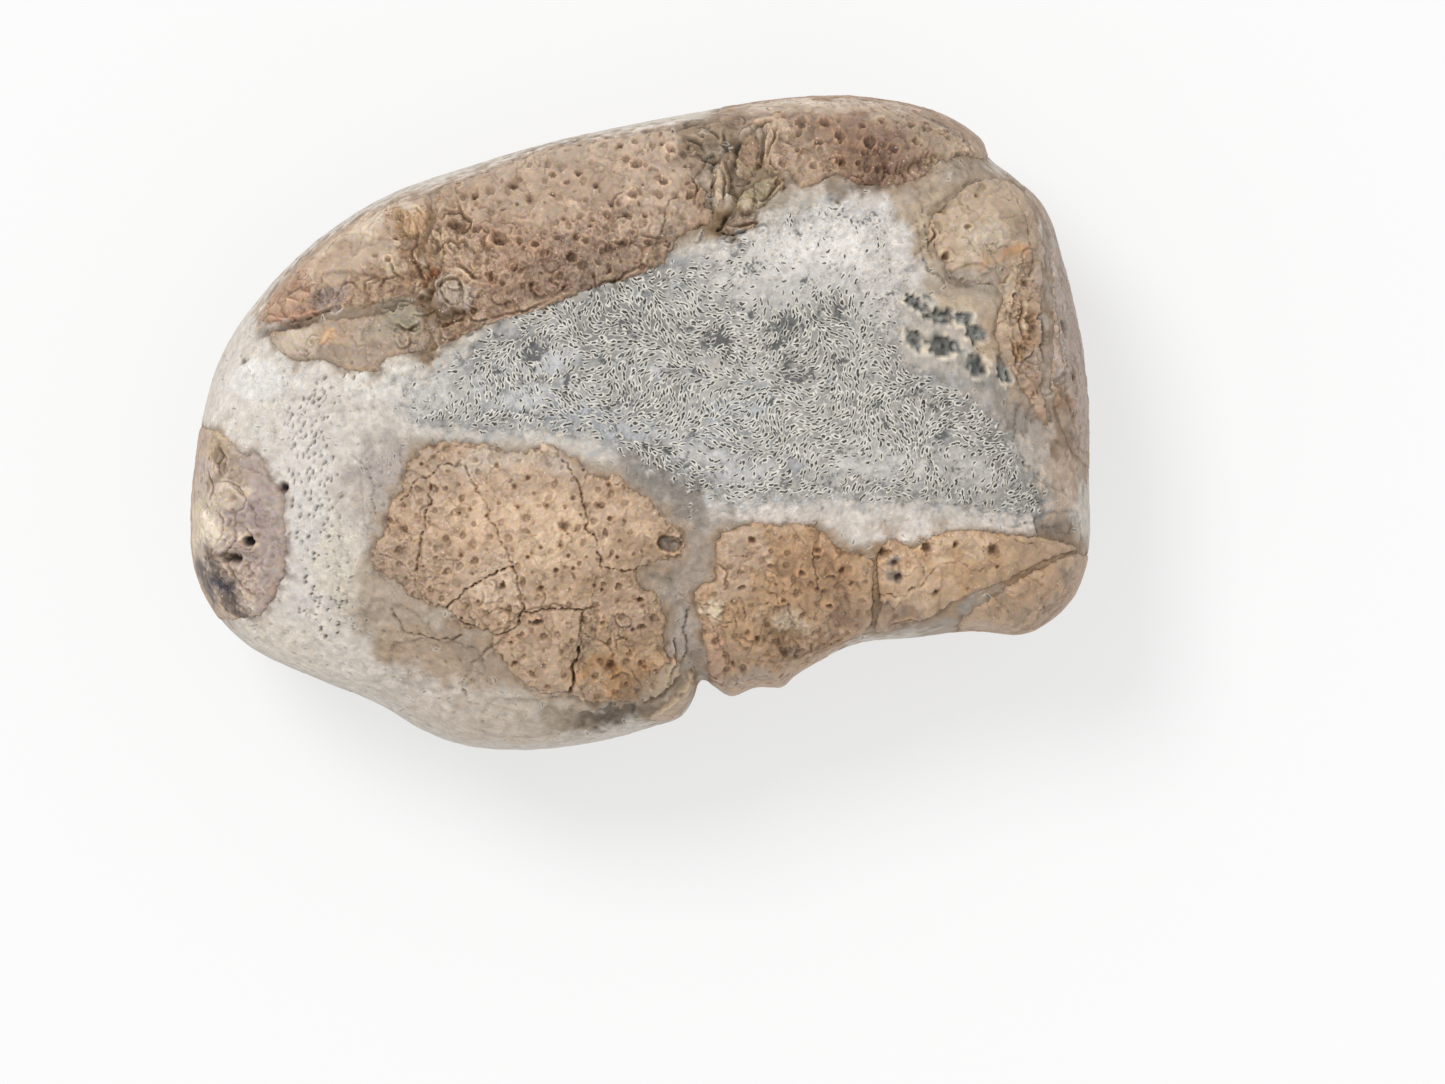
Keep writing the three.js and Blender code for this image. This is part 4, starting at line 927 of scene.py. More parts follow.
def draw_stains():
    """Dark blotches in the core, the placed ones and small ones at random: where they lie."""
    stains = blank()
    for x, y, radius in CORE_STAINS:
        place, far_x, far_y = window(x, y, 4 * radius)
        far_x = far_x + 0.45 * warp_x[place] + 0.25 * curl_x[place]
        far = np.hypot(far_x, far_y + 0.45 * warp_y[place]) / radius
        drawn = 1 - smooth_step(far + 0.35 * crag[place], 0.7, 1.15)
        stains[place] = np.maximum(stains[place], drawn)
    blots = warped(noise(0.25, 1.1), 0.3) + 0.7 * noise(1.5, 5.0)
    stains = np.maximum(stains, smooth_step(blots + 0.2 * crag, 2.0, 2.6) * core_share)
    tone = 1 + 0.12 * noise(0.12, 0.5)[..., None]
    stone.paint = blend(stone.paint, tone * linear(STAIN_TONE), 0.85 * stains[..., None])
    stone.height -= 0.07 * stains
    return stains


def measure_tubes(stains):
    """How thickly the core's tubes open: less near its rim and in the stains and chalky patches."""
    tubes = core_share * smooth_step(core_cover + 0.6 * claw_side, -0.2, 0.8)
    tubes = tubes * smooth_step(cloud(2.2), -2.4, -0.6)
    tubes = tubes * (1 - 0.4 * stains)
    for x, y, along, across, turn, _ in CORE_PALE:
        place, share = stone.blotch(x, y, along, across, turn, 0.6, 0.8)
        tubes[place] *= 1 - 0.8 * share
    stone.paint *= (1 - 0.2 * tubes)[..., None]
    return tubes


def draw_fibres():
    """Curled white fibres along the core's border, inside it and on the stone beside it."""
    free = 1 - claw_side
    ragged = smooth_step(frills(0.8, 2.4), 0.6, 0.95)
    ragged = ragged * np.exp(-(((core_cover - 0.1) / 0.9) ** 2)) * free
    stone.pale += 0.7 * ragged
    stone.height += 0.06 * ragged
    strings = frills(0.42, 1.6)
    border = np.exp(-(((core_cover - 0.7) / 0.8) ** 2)) * free
    stone.paint *= (1 - 0.18 * border * (1 - smooth_step(strings, 0.3, 0.8)))[..., None]
    stone.pale += 0.8 * border * smooth_step(strings, 0.7, 0.95)
    margin = np.exp(-(((core_cover + 0.6) / 0.8) ** 2)) * free * smooth_step(-plate_cover, 0.0, 0.3)
    stone.paint *= (1 - 0.05 * margin * (1 - smooth_step(strings, 0.2, 0.7)))[..., None]
    dips = 0.3 * margin * np.exp(-(((strings - 0.2) / 0.08) ** 2))
    stone.dark += dips * smooth_step(sway, -0.2, 0.8)
    stone.height += 0.08 * (border + margin) * (strings - 0.5)


paint_ground()
claw_side = blank()  # where the grey core reaches right up to the first claw
reach_up, reach_share = stone.blotch(-3.0, 6.6, 5.2, 1.3, 20, 0.3, 0.3)
claw_side[reach_up] = reach_share
core_share = paint_core()
tubes = measure_tubes(draw_stains())
draw_fibres()


def scatter(count, box, spread):
    """Spots at random in a box, none nearer another than `spread`."""
    spots = []
    low_x, low_y, high_x, high_y = box
    for x, y in random.uniform((low_x, low_y), (high_x, high_y), (count, 2)):
        if all((x - a) ** 2 + (y - b) ** 2 > spread**2 for a, b in spots):
            spots.append((x, y))
    return spots


def draw_belt():
    """Slanting pores, which lie thick in the white band on the left."""
    for x, y in scatter(2600, (-19.5, -11.5, -12.6, 2.4), 0.27):
        belt = -17.3 - 0.12 * (y + 5) + 0.35 * max(y + 1, 0) ** 1.5
        if abs(x - belt) >= 0.9 + 0.7 * random.random():
            continue
        if random.random() > 0.45 + 0.55 * np.exp(-(((y + 2) / 3.6) ** 2)):
            continue
        size, way = random.uniform(0.036, 0.062), np.radians(random.normal(66, 14))
        length = random.uniform(0.08, 0.3)
        end = (x + length * np.cos(way), y + length * np.sin(way))
        # Each pore is painted dark as its shade.
        stone.line([(x, y), end], size, 0.14, dark=random.uniform(0.5, 1.2), wander=0)
        # Half of them get a pale ridge on the lower right side, a painted highlight.
        if random.random() < 0.5:
            highlight_ridge = [(x + 0.08, y - 0.03), (end[0] + 0.08, end[1] - 0.03)]
            stone.ridge(highlight_ridge, 0.04, 0.03, pale=0.6, wander=0)


STONE_PORES = [  # box, how many are tried, least gap
    ((-22.5, -1.0, -9.0, 4.5), 170, 0.45),
    ((-20.0, -16.0, -8.0, -9.5), 170, 0.5),
    ((-14.6, -8.0, -12.0, -1.5), 60, 0.4),
    ((6.0, 8.4, 13.6, 11.8), 90, 0.4),
    ((9.0, -5.6, 21.0, -4.2), 40, 0.6),
    ((20.0, -6.0, 24.0, 0.5), 40, 0.5),
]


def draw_cell(x, y, along, across, turn, tone):
    """An open cell with a floor painted dark as its shade, darker towards one side and with painted glints,
    and a pale wall, more worn on one side.
    """
    place, far_x, far_y = window(x, y, 2.6 * max(along, across))
    cosine, sine = np.cos(np.radians(turn)), np.sin(np.radians(turn))
    far_x = far_x + 0.1 * warp_x[place] + 0.08 * curl_x[place]
    far_y = far_y + 0.1 * warp_y[place]
    far_along = (far_x * cosine + far_y * sine) / along
    far_across = (far_y * cosine - far_x * sine) / across
    far = 0.88 * (np.abs(far_along) ** 3 + np.abs(far_across) ** 3) ** (1 / 3)
    hollow = 1 - smooth_step(far + 0.12 * crag[place], 0.84, 1.04)
    wall = np.exp(-(((far + 0.12 * crag[place] - 1.16) / 0.12) ** 2))
    wall = wall * smooth_step(sway[place] - far_across, -1.6, 0.2)
    stone.height[place] += 0.06 * wall - 0.2 * hollow + 0.07 * hollow * crag[place]
    stone.paint[place] = blend(stone.paint[place], linear(CELL_WALL), wall[..., None])
    # The floor is painted dark as the shade in the cell, darker towards one side.
    floor_shade = np.clip(1.25 + 0.6 * crag[place] - 0.3 * far_across, 0.5, 3)[..., None]
    inner = floor_shade * linear((tone, tone, tone - 4))
    stone.paint[place] = blend(stone.paint[place], inner, hollow[..., None])
    # Painted glints in the floor.
    glints = 0.5 * hollow * smooth_step(crag[place], 1.2, 1.8)
    stone.pale[place] = np.maximum(stone.pale[place], glints)
    tubes[place] *= 1 - (1 - smooth_step(far, 1.2, 2.0))


draw_belt()
for box, count, gap in STONE_PORES:
    for x, y in scatter(count, box, gap):
        size = random.uniform(0.06, 0.1)
        stone.pit(x, y, size, depth=0.06, rim=0, dark=random.uniform(0.2, 0.6), pale=0)
stone.pit(-21.1, 3.2, 0.16, depth=0.12, dark=0.5)
# A purple-black pit by the leg.
stone.patch(-18.9, -3.5, 0.3, 0.24, 70, (62, 48, 58), strength=1, edge=0.2, frayed=0.1)
stone.pit(-18.9, -3.5, 0.3, depth=0.3, dark=0.5)
for cell in CELLS:
    draw_cell(*cell)

# Facets, ledges and hollows of the bare stone.
STONE_TIERS = [  # height, edge width, how dark the painted shade at the bottom of the step, and corners
    (-0.12, 0.2, 0.4, [
        (-13.2, -12.0), (-11.0, -11.6), (-8.6, -12.2), (-8.2, -13.4), (-10.4, -14.4), (-13.0, -13.8)]),
    (0.08, 0.2, 0.2, [(-16.4, -8.6), (-15.2, -9.0), (-14.6, -11.2), (-16.2, -12.4), (-17.4, -10.6)]),
    (-0.22, 0.2, 0.5, [(21.0, -5.1), (24.0, -4.9), (24.6, -7.0), (21.6, -6.7)]),
    (-0.14, 0.2, 0.4, [(20.2, 0.9), (22.8, -1.6), (24.2, -4.4), (21.2, -3.2), (19.8, -0.6)]),
    (0.08, 0.15, 0.2, [
        (-15.9, -4.2), (-14.6, -4.4), (-14.2, -7.0), (-14.4, -9.8), (-15.8, -10.2), (-15.6, -7.0)]),
    (0.1, 0.14, 0.3, [(-14.4, -1.6), (-12.9, -1.2), (-12.9, -4.6), (-14.0, -6.2), (-14.6, -4.0)]),
    (-0.08, 0.15, 0.3, [(-14.2, -9.6), (-12.6, -9.8), (-11.0, -11.2), (-12.6, -12.4), (-14.6, -11.4)]),
    (-0.1, 0.2, 0.3, [(-8.0, -14.8), (-4.4, -15.2), (-4.0, -16.6), (-8.4, -16.9)]),
    (0.1, 0.12, 0.3, [(16.2, 6.8), (18.2, 6.9), (19.0, 5.6), (18.3, 4.4), (17.0, 6.0)]),
    (0.08, 0.12, 0.3, [(15.0, 12.4), (17.0, 13.4), (17.4, 12.8), (15.6, 11.4), (15.0, 10.8)]),
    (-0.1, 0.14, 0.3, [(-11.9, 2.9), (-9.0, 4.2), (-8.6, 3.6), (-11.4, 2.2), (-13.6, 1.8)]),
]
STONE_MOUNDS = [  # x, y, half-length, half-width, turn, height
    (-1.6, -15.8, 1.5, 0.7, 12, -0.45), (3.6, 14.6, 1.5, 0.8, 10, -0.3),
    (5.0, 12.4, 0.5, 1.6, 15, -0.35), (-11.2, 7.2, 0.4, 1.8, 0, -0.4),
    (-18.9, 4.95, 1.3, 0.25, 10, -0.35), (1.8, 15.8, 1.8, 0.3, 12, -0.3),
    (12.4, -8.6, 0.35, 2.2, 0, 0.16),
]
STONE_CRACKS = [  # width, depth, how dark and corners
    (0.1, 0.2, 0.8, [(-21.0, 5.4), (-18.8, 8.3), (-16.6, 10.2), (-14.2, 11.5)]),
    (0.07, 0.1, 0.5, [(-17.6, 10.2), (-15.0, 11.6), (-12.4, 12.5), (-9.8, 13.5)]),
    (0.07, 0.1, 0.4, [(-13.8, 12.2), (-11.4, 13.0), (-8.6, 13.9), (-6.4, 14.5)]),
    (0.06, 0.15, 0.7, [(-10.6, 12.7), (-8.6, 13.5), (-6.2, 14.4), (-4.0, 15.0)]),
    (0.08, 0.2, 0.9, [(-5.2, 14.9), (-2.4, 15.25), (0.4, 15.45), (3.0, 15.9)]),
    (0.07, 0.1, 0.5, [(-2.6, 15.6), (0.0, 16.0), (2.6, 16.4), (4.6, 17.0)]),
    (0.06, 0.12, 0.5, [(-7.8, -12.0), (-8.6, -12.6), (-9.4, -13.8), (-9.0, -15.0)]),
    (0.06, 0.15, 0.5, [(-13.2, -10.0), (-12.4, -11.2), (-11.0, -11.6), (-9.4, -11.4)]),
    (0.07, 0.12, 0.6, [(2.0, -13.2), (2.5, -12.2), (2.4, -10.8), (2.7, -9.6)]),
    (0.1, 0.2, 0.9, [(0.3, -14.9), (1.4, -14.4), (2.2, -13.5)]),
    (0.05, 0.1, 0.6, [(19.6, -5.6), (21.4, -5.5), (22.8, -6.0)]),
    (0.14, 0.3, 1.0, [(5.33, 14.8), (5.2, 14.1), (4.83, 13.3), (4.73, 12.2)]),
    (0.1, 0.2, 0.9, [(7.0, 15.1), (7.1, 14.6), (6.9, 13.8)]),
    (0.12, 0.2, 1.0, [(5.0, 12.6), (5.4, 12.65), (5.8, 12.7)]),
    (0.09, 0.15, 0.9, [(6.3, 11.3), (7.1, 11.8), (7.7, 12.4)]),
    (0.1, 0.2, 0.9, [(4.15, 10.1), (4.6, 10.7), (5.1, 11.3)]),
    (0.09, 0.15, 0.9, [(4.5, 9.95), (5.5, 10.05), (6.3, 10.5)]),
    (0.1, 0.2, 0.9, [(3.9, 11.0), (3.8, 12.0), (3.9, 13.2), (4.0, 13.9)]),
    (0.05, 0.05, 0.3, [(-19.0, 1.4), (-16.6, 1.1), (-14.0, 1.8), (-12.0, 2.2)]),
    (0.05, 0.05, 0.3, [(-18.0, 0.2), (-15.6, 0.5), (-13.0, 0.8), (-10.6, 0.6)]),
    (0.06, 0.06, 0.4, [(-15.2, -1.8), (-14.2, -3.0), (-14.0, -4.6), (-14.4, -6.0)]),
    (0.05, 0.05, 0.35, [(-15.8, -6.4), (-15.2, -8.2), (-15.4, -9.8), (-14.8, -11.2)]),
    (0.06, 0.08, 0.5, [(14.6, 12.4), (15.0, 11.4), (14.7, 10.4), (15.0, 9.4), (14.6, 8.6)]),
    (0.07, 0.15, 0.7, [(15.1, 10.4), (15.4, 9.9), (15.2, 9.2)]),
    (0.07, 0.1, 0.7, [(16.2, 7.2), (15.4, 8.0), (15.0, 8.8)]),
]
for height, edge, dark, corners in STONE_TIERS:
    stone.tier(corners, height, edge, dark)
for mound in STONE_MOUNDS:
    stone.mound(*mound)
for width, depth, dark, corners in STONE_CRACKS:
    stone.line(corners, width, depth, dark=dark)


def texture_stone():
    """Facets all over, and on rough ground a worn skin with chipped hollows where it has gone."""
    facets, facet_tone, _ = scoops(1.9, 0.1)
    chips, chip_tone, _ = scoops(0.6, 0.2)
    kept = lasting(1.6, 1.0 - 1.3 * stone.rough)
    swell = 0.03 * noise(0.8, 4.0) + 0.006 * noise(0.12, 0.4) + 0.8 * facets
    stone.height += swell.astype(np.float32)
    stone.height += 0.05 * kept + stone.rough * (1 - kept) * chips
    stone.paint *= (1 + 0.035 * facet_tone + 0.03 * noise(0.4, 1.6))[..., None]
    worn = 0.05 * kept + (1 - kept) * (0.12 * chip_tone - 0.1)
    stone.paint *= (1 + stone.rough * worn)[..., None]


texture_stone()

# ---- The shell's relief and colour -------------------------------------------------------------------

SHELL_GROUND = (176, 150, 126)
shell = Layers(SHELL_GROUND)

# Blotches on the shell: x, y, half-length, half-width, turn in degrees, colour.
SHELL_PATCHES = [
    # the first claw's palm
    (-6.0, 17.4, 10.0, 3.4, 20, (160, 136, 114)),
    (-4.0, 10.0, 9.0, 5.0, 18, (164, 140, 118)),
    (-3.0, 14.0, 6.0, 1.1, 10, (184, 162, 141)),
    (-4.4, 12.0, 6.6, 1.3, 12, (174, 151, 130)),
    (-1.6, 10.2, 3.0, 1.4, 10, (182, 158, 137)),
    (1.0, 12.6, 2.4, 2.2, 0, (181, 159, 139)),
    (-3.0, 8.4, 4.6, 1.5, 15, (144, 123, 105)),
    (-4.6, 8.0, 1.6, 1.2, 0, (146, 124, 107)),
    (-9.0, 8.2, 1.2, 1.5, 0, (182, 156, 131)),
    (-7.0, 9.2, 1.8, 1.3, 0, (170, 143, 121)),
    (-9.6, 11.4, 1.4, 0.9, 20, (172, 148, 124)),
    (-10.0, 5.4, 1.2, 1.5, 0, (128, 98, 68)),
    (-9.9, 6.7, 0.8, 0.8, 0, (170, 156, 146)),
    (-9.6, 10.3, 0.75, 0.35, -10, (112, 82, 54)),
    (-10.4, 5.8, 0.8, 0.45, 0, (98, 78, 52)),
    (-8.6, 7.6, 0.9, 0.7, 0, (190, 168, 142)),
    (-10.4, 8.9, 0.7, 0.6, 0, (170, 150, 124)),
    (-7.4, 5.8, 2.0, 0.6, 15, (166, 145, 126)),
    (-6.4, 6.8, 2.4, 0.8, 15, (158, 133, 112)),
    (1.8, 9.4, 1.0, 0.9, 0, (150, 130, 111)),
    (3.0, 11.2, 0.8, 1.6, 0, (152, 128, 106)),
    (3.0, 14.2, 0.6, 1.0, 0, (142, 122, 102)),
    # its fingers
    (-16.0, 8.4, 5.4, 2.4, 34, (172, 148, 125)),
    (-14.2, 10.6, 2.0, 0.7, 30, (211, 192, 170)),
    (-17.0, 8.7, 2.2, 0.5, 42, (196, 176, 154)),
    (-12.0, 10.4, 0.8, 0.6, 20, (172, 142, 108)),
    (-12.6, 8.2, 1.2, 0.8, 10, (188, 168, 142)),
    (-18.6, 6.6, 1.6, 1.0, 40, (174, 141, 116)),
    (-14.2, 8.6, 1.5, 0.8, 20, (176, 156, 136)),
    (-16.6, 6.6, 1.4, 0.5, 12, (142, 126, 117)),
    (-13.6, 7.0, 1.8, 0.6, 5, (156, 130, 106)),
    (-11.8, 8.4, 0.5, 1.4, 0, (150, 118, 90)),
    (-18.4, 5.6, 1.4, 0.35, 15, (168, 132, 108)),
    (-15.0, 4.0, 5.0, 1.4, 5, (158, 140, 123)),
    (-18.4, 4.0, 1.4, 0.6, 20, (190, 174, 154)),
    (-16.4, 4.3, 0.6, 0.4, 0, (190, 154, 118)),
    (-12.6, 5.4, 1.4, 0.9, 0, (146, 138, 118)),
    (-11.8, 3.9, 0.9, 0.6, 0, (160, 142, 124)),
    # wrist pieces
    (4.4, 12.6, 0.9, 1.6, 10, (198, 182, 160)),
    (5.8, 14.1, 0.9, 1.4, 0, (160, 138, 114)),
    (6.4, 12.0, 1.6, 1.2, 20, (152, 142, 116)),
    (5.2, 10.5, 1.2, 0.6, 15, (156, 136, 116)),
    # arm
    (12.0, 19.0, 9.0, 3.6, -5, (160, 134, 112)),
    (12.0, 16.0, 7.6, 4.4, -5, (154, 126, 101)),
    (11.6, 14.6, 2.8, 1.2, -8, (132, 103, 84)),
    (8.6, 14.0, 1.6, 1.6, 0, (164, 141, 120)),
    (13.6, 13.2, 2.2, 0.6, 8, (118, 92, 70)),
    (15.0, 15.4, 2.0, 1.2, -30, (164, 142, 121)),
    (7.0, 14.8, 0.6, 1.4, 0, (186, 164, 140)),
    (10.5, 16.9, 4.6, 0.6, -2, (184, 162, 140)),
    (5.2, 16.4, 1.8, 0.7, 10, (150, 128, 108)),
    (17.2, 14.8, 1.4, 0.9, -40, (172, 151, 130)),
    (10.6, 18.0, 5.6, 0.9, -2, (204, 188, 172)),
    (16.9, 15.7, 1.3, 0.4, -42, (128, 114, 102)),
    # shoulder
    (18.4, 9.0, 3.6, 5.6, 0, (184, 162, 138)),
    (17.6, 11.6, 1.8, 1.4, 0, (187, 165, 142)),
    (17.8, 9.6, 1.2, 0.9, 0, (194, 178, 158)),
    (17.6, 7.6, 1.6, 0.6, 0, (158, 146, 134)),
    (19.8, 8.6, 1.0, 0.7, 0, (196, 150, 108)),
    (20.7, 9.6, 0.6, 1.8, -8, (160, 136, 114)),
    (20.6, 5.0, 0.9, 1.6, 0, (170, 134, 92)),
    (20.9, 4.9, 0.4, 0.5, 0, (116, 82, 50)),
    (19.6, 6.0, 0.8, 1.2, 0, (192, 168, 142)),
    (20.4, 2.6, 1.0, 1.4, -20, (178, 154, 133)),
    (21.3, 0.6, 0.5, 1.4, 12, (166, 136, 110)),
    (16.0, 11.4, 0.7, 0.7, 0, (160, 140, 120)),
    # side
    (25.0, 5.0, 3.6, 9.0, 0, (168, 151, 139)),
    (22.6, 8.6, 0.7, 2.4, -8, (188, 174, 164)),
    (22.6, 1.0, 1.0, 0.7, 0, (150, 122, 96)),
    (23.0, 4.6, 0.7, 2.2, 0, (184, 170, 160)),
    (22.8, -1.2, 0.9, 0.9, 0, (152, 130, 112)),
    # the second claw's palm
    (-6.0, -7.6, 9.4, 7.4, -8, (186, 159, 133)),
    (-5.0, -6.0, 2.6, 1.8, 0, (206, 178, 149)),
    (-8.0, -5.4, 2.4, 2.2, -30, (192, 164, 137)),
    (-8.0, -2.0, 2.6, 0.8, 0, (186, 169, 152)),
    (-3.6, -2.4, 1.6, 0.8, -30, (180, 163, 148)),
    (-12.4, -4.6, 1.4, 2.4, 12, (186, 158, 132)),
    (-11.2, -3.2, 1.4, 1.6, 0, (168, 145, 124)),
    (-12.8, -7.8, 1.6, 1.2, -30, (162, 140, 120)),
    (-10.6, -8.0, 1.8, 1.6, 0, (178, 153, 129)),
    (-7.6, -8.8, 1.4, 1.2, 20, (196, 173, 150)),
    (-9.0, -10.2, 1.6, 0.7, -20, (168, 143, 118)),
    (-1.4, -4.4, 2.0, 1.4, -35, (190, 163, 137)),
    (-3.0, -3.6, 0.9, 1.2, 0, (170, 144, 119)),
    (-2.4, -8.6, 2.0, 0.9, 0, (172, 144, 117)),
    (0.4, -6.6, 1.8, 1.0, -10, (170, 142, 115)),
    (1.6, -6.5, 0.7, 0.5, 0, (130, 106, 82)),
    (-5.0, -12.2, 2.6, 1.9, 0, (182, 156, 130)),
    (-5.2, -11.0, 1.2, 0.9, 0, (184, 156, 131)),
    (-1.0, -12.4, 2.6, 2.2, 0, (182, 151, 118)),
    (-1.2, -13.4, 1.9, 1.0, 10, (166, 129, 90)),
    (0.6, -14.0, 1.2, 0.8, 20, (136, 108, 84)),
    (-0.6, -10.6, 1.2, 1.0, 0, (170, 146, 125)),
    (-3.0, -11.4, 0.7, 1.4, 0, (158, 136, 112)),
    # second wrist
    (7.8, -9.6, 5.2, 4.8, 0, (179, 145, 109)),
    (5.6, -6.6, 1.4, 1.0, 0, (182, 158, 136)),
    (5.2, -8.4, 1.2, 1.4, 0, (180, 153, 129)),
    (9.6, -7.6, 2.2, 1.6, 0, (168, 133, 100)),
    (8.1, -10.4, 0.9, 0.5, 0, (196, 176, 152)),
    (8.4, -12.0, 2.6, 0.8, -20, (140, 108, 72)),
    (10.9, -10.2, 1.0, 1.2, 0, (144, 112, 84)),
    (4.1, -12.4, 0.7, 2.6, 5, (184, 150, 122)),
    (6.6, -13.6, 2.0, 0.6, 15, (164, 144, 126)),
    (3.8, -9.65, 0.55, 0.95, 0, (216, 200, 174)),
    # second arm
    (17.4, -7.8, 5.4, 2.6, 8, (192, 157, 121)),
    (14.4, -8.6, 1.6, 1.2, -10, (202, 172, 142)),
    (13.5, -7.5, 0.35, 0.3, 0, (130, 124, 118)),
    (13.7, -8.2, 0.35, 0.3, 0, (128, 122, 116)),
    (17.4, -6.6, 2.4, 0.7, 0, (196, 170, 143)),
    (21.0, -6.7, 1.8, 0.5, -8, (172, 145, 118)),
    (14.0, -10.3, 1.6, 0.7, 0, (160, 132, 108)),
    (19.4, -7.6, 1.6, 0.7, 25, (176, 146, 116)),
    (22.0, -10.0, 4.6, 3.0, 20, (176, 149, 123)),
    (21.4, -8.8, 1.6, 0.7, 10, (186, 153, 121)),
    (23.4, -8.4, 0.8, 0.8, 0, (148, 128, 110)),
    (1.8, -14.6, 1.6, 1.8, -40, (184, 162, 136)),
    # leg
    (-22.0, -5.4, 4.0, 5.4, 0, (186, 171, 160)),
    (-20.0, -6.0, 1.5, 4.2, 0, (166, 150, 143)),
    (-22.6, -1.4, 1.5, 1.1, 0, (188, 165, 138)),
    (-21.2, -2.2, 0.8, 0.7, 0, (168, 150, 132)),
    (-22.9, -2.8, 0.5, 0.8, 0, (140, 124, 106)),
    (-23.0, -5.8, 1.1, 1.0, 0, (224, 210, 188)),
    (-21.6, -3.9, 0.8, 0.8, 0, (204, 186, 166)),
    (-23.0, -4.2, 0.8, 0.5, 0, (196, 182, 160)),
    (-22.4, -7.2, 1.1, 0.35, 0, (128, 112, 98)),
    (-22.6, -8.8, 0.9, 1.1, 20, (112, 106, 104)),
    (-23.0, -9.0, 0.5, 0.6, 0, (74, 78, 92)),
    (-21.8, -10.2, 1.2, 0.4, -30, (104, 92, 84)),
    (-21.5, -7.3, 0.5, 0.2, 0, (56, 48, 44)),
    (-20.7, -6.3, 0.45, 0.45, 0, (206, 190, 170)),
    (-20.6, -8.4, 1.3, 0.6, -50, (184, 166, 152)),
    (-20.6, -9.7, 0.35, 0.35, 0, (216, 206, 192)),
    (-19.7, -4.6, 0.5, 0.9, 0, (150, 132, 128)),
    (-24.6, -9.2, 1.6, 1.0, -50, (88, 80, 78)),
    (-25.0, -5.6, 1.4, 1.5, 0, (208, 192, 166)),
    (-22.9, -7.4, 0.5, 0.3, -10, (132, 112, 94)),
    (-22.2, -8.1, 0.6, 0.25, -45, (156, 138, 122)),
    (-21.6, -9.2, 0.5, 0.25, -40, (172, 154, 138)),
    (-23.2, -8.4, 0.35, 0.6, 0, (92, 80, 74)),
    (-22.5, -8.9, 0.4, 0.5, 10, (62, 62, 72)),
    (-22.6, -1.9, 0.6, 0.5, 0, (132, 112, 90)),
    (-21.5, -7.3, 0.4, 0.12, 10, (50, 44, 44)),
]

# Pores: x, y, radius.
SHELL_PITS = [
    (-4.0, -5.6, 0.24), (-4.4, -7.9, 0.15), (-5.2, -8.85, 0.17), (-2.4, -8.7, 0.12), (-2.0, -8.9, 0.1),
    (-7.2, -8.7, 0.16), (-1.5, -12.85, 0.24), (-1.65, -3.4, 0.14), (-2.2, -4.5, 0.17), (-3.1, -5.0, 0.1),
    (-6.6, -3.5, 0.12), (-5.9, -3.05, 0.14), (-4.9, -4.5, 0.12), (-9.5, -4.9, 0.12), (-8.9, -4.7, 0.12),
    (-9.4, -7.1, 0.12), (-11.5, -2.3, 0.12), (-4.2, -6.6, 0.11), (-5.2, -6.7, 0.12), (-5.9, -7.2, 0.11),
    (-3.5, -7.8, 0.12), (-6.8, -11.7, 0.12), (-6.6, -12.8, 0.15), (-8.5, -9.5, 0.12), (-9.4, -10.4, 0.12),
    (-3.8, -6.0, 0.1), (-6.4, -4.6, 0.1), (-2.8, -7.2, 0.1), (-1.2, -7.2, 0.12), (-0.4, -11.0, 0.13),
    (-8.7, 11.8, 0.2), (-6.7, 12.4, 0.24), (-3.2, 13.0, 0.22), (-4.6, 11.9, 0.16), (-5.8, 11.6, 0.14),
    (-2.3, 12.4, 0.16), (-1.0, 14.5, 0.2), (-1.5, 11.4, 0.18), (0.3, 10.8, 0.14), (2.4, 13.4, 0.1),
    (-7.2, 7.2, 0.16), (-5.7, 7.2, 0.16), (1.2, 14.6, 0.12), (0.2, 12.4, 0.09), (-4.0, 10.6, 0.14),
    (-2.6, 10.2, 0.12), (6.0, -6.3, 0.18), (6.2, -11.5, 0.18), (4.9, -12.8, 0.13), (4.1, -13.7, 0.1),
    (10.7, -7.85, 0.2), (7.2, -8.6, 0.1), (9.4, -8.8, 0.12), (12.85, -6.95, 0.3), (15.2, -6.7, 0.32),
    (16.75, -6.55, 0.17), (18.7, -6.85, 0.32), (15.7, -8.95, 0.17), (13.7, -8.2, 0.22),
    (13.5, -7.5, 0.18), (18.9, -7.7, 0.12), (17.8, 11.9, 0.1), (15.9, 11.2, 0.16), (20.4, 7.3, 0.2),
    (16.2, 8.7, 0.22), (-20.6, -6.35, 0.3), (-18.9, -3.6, 0.2), (22.9, 5.2, 0.3), (23.6, 2.4, 0.3),
]

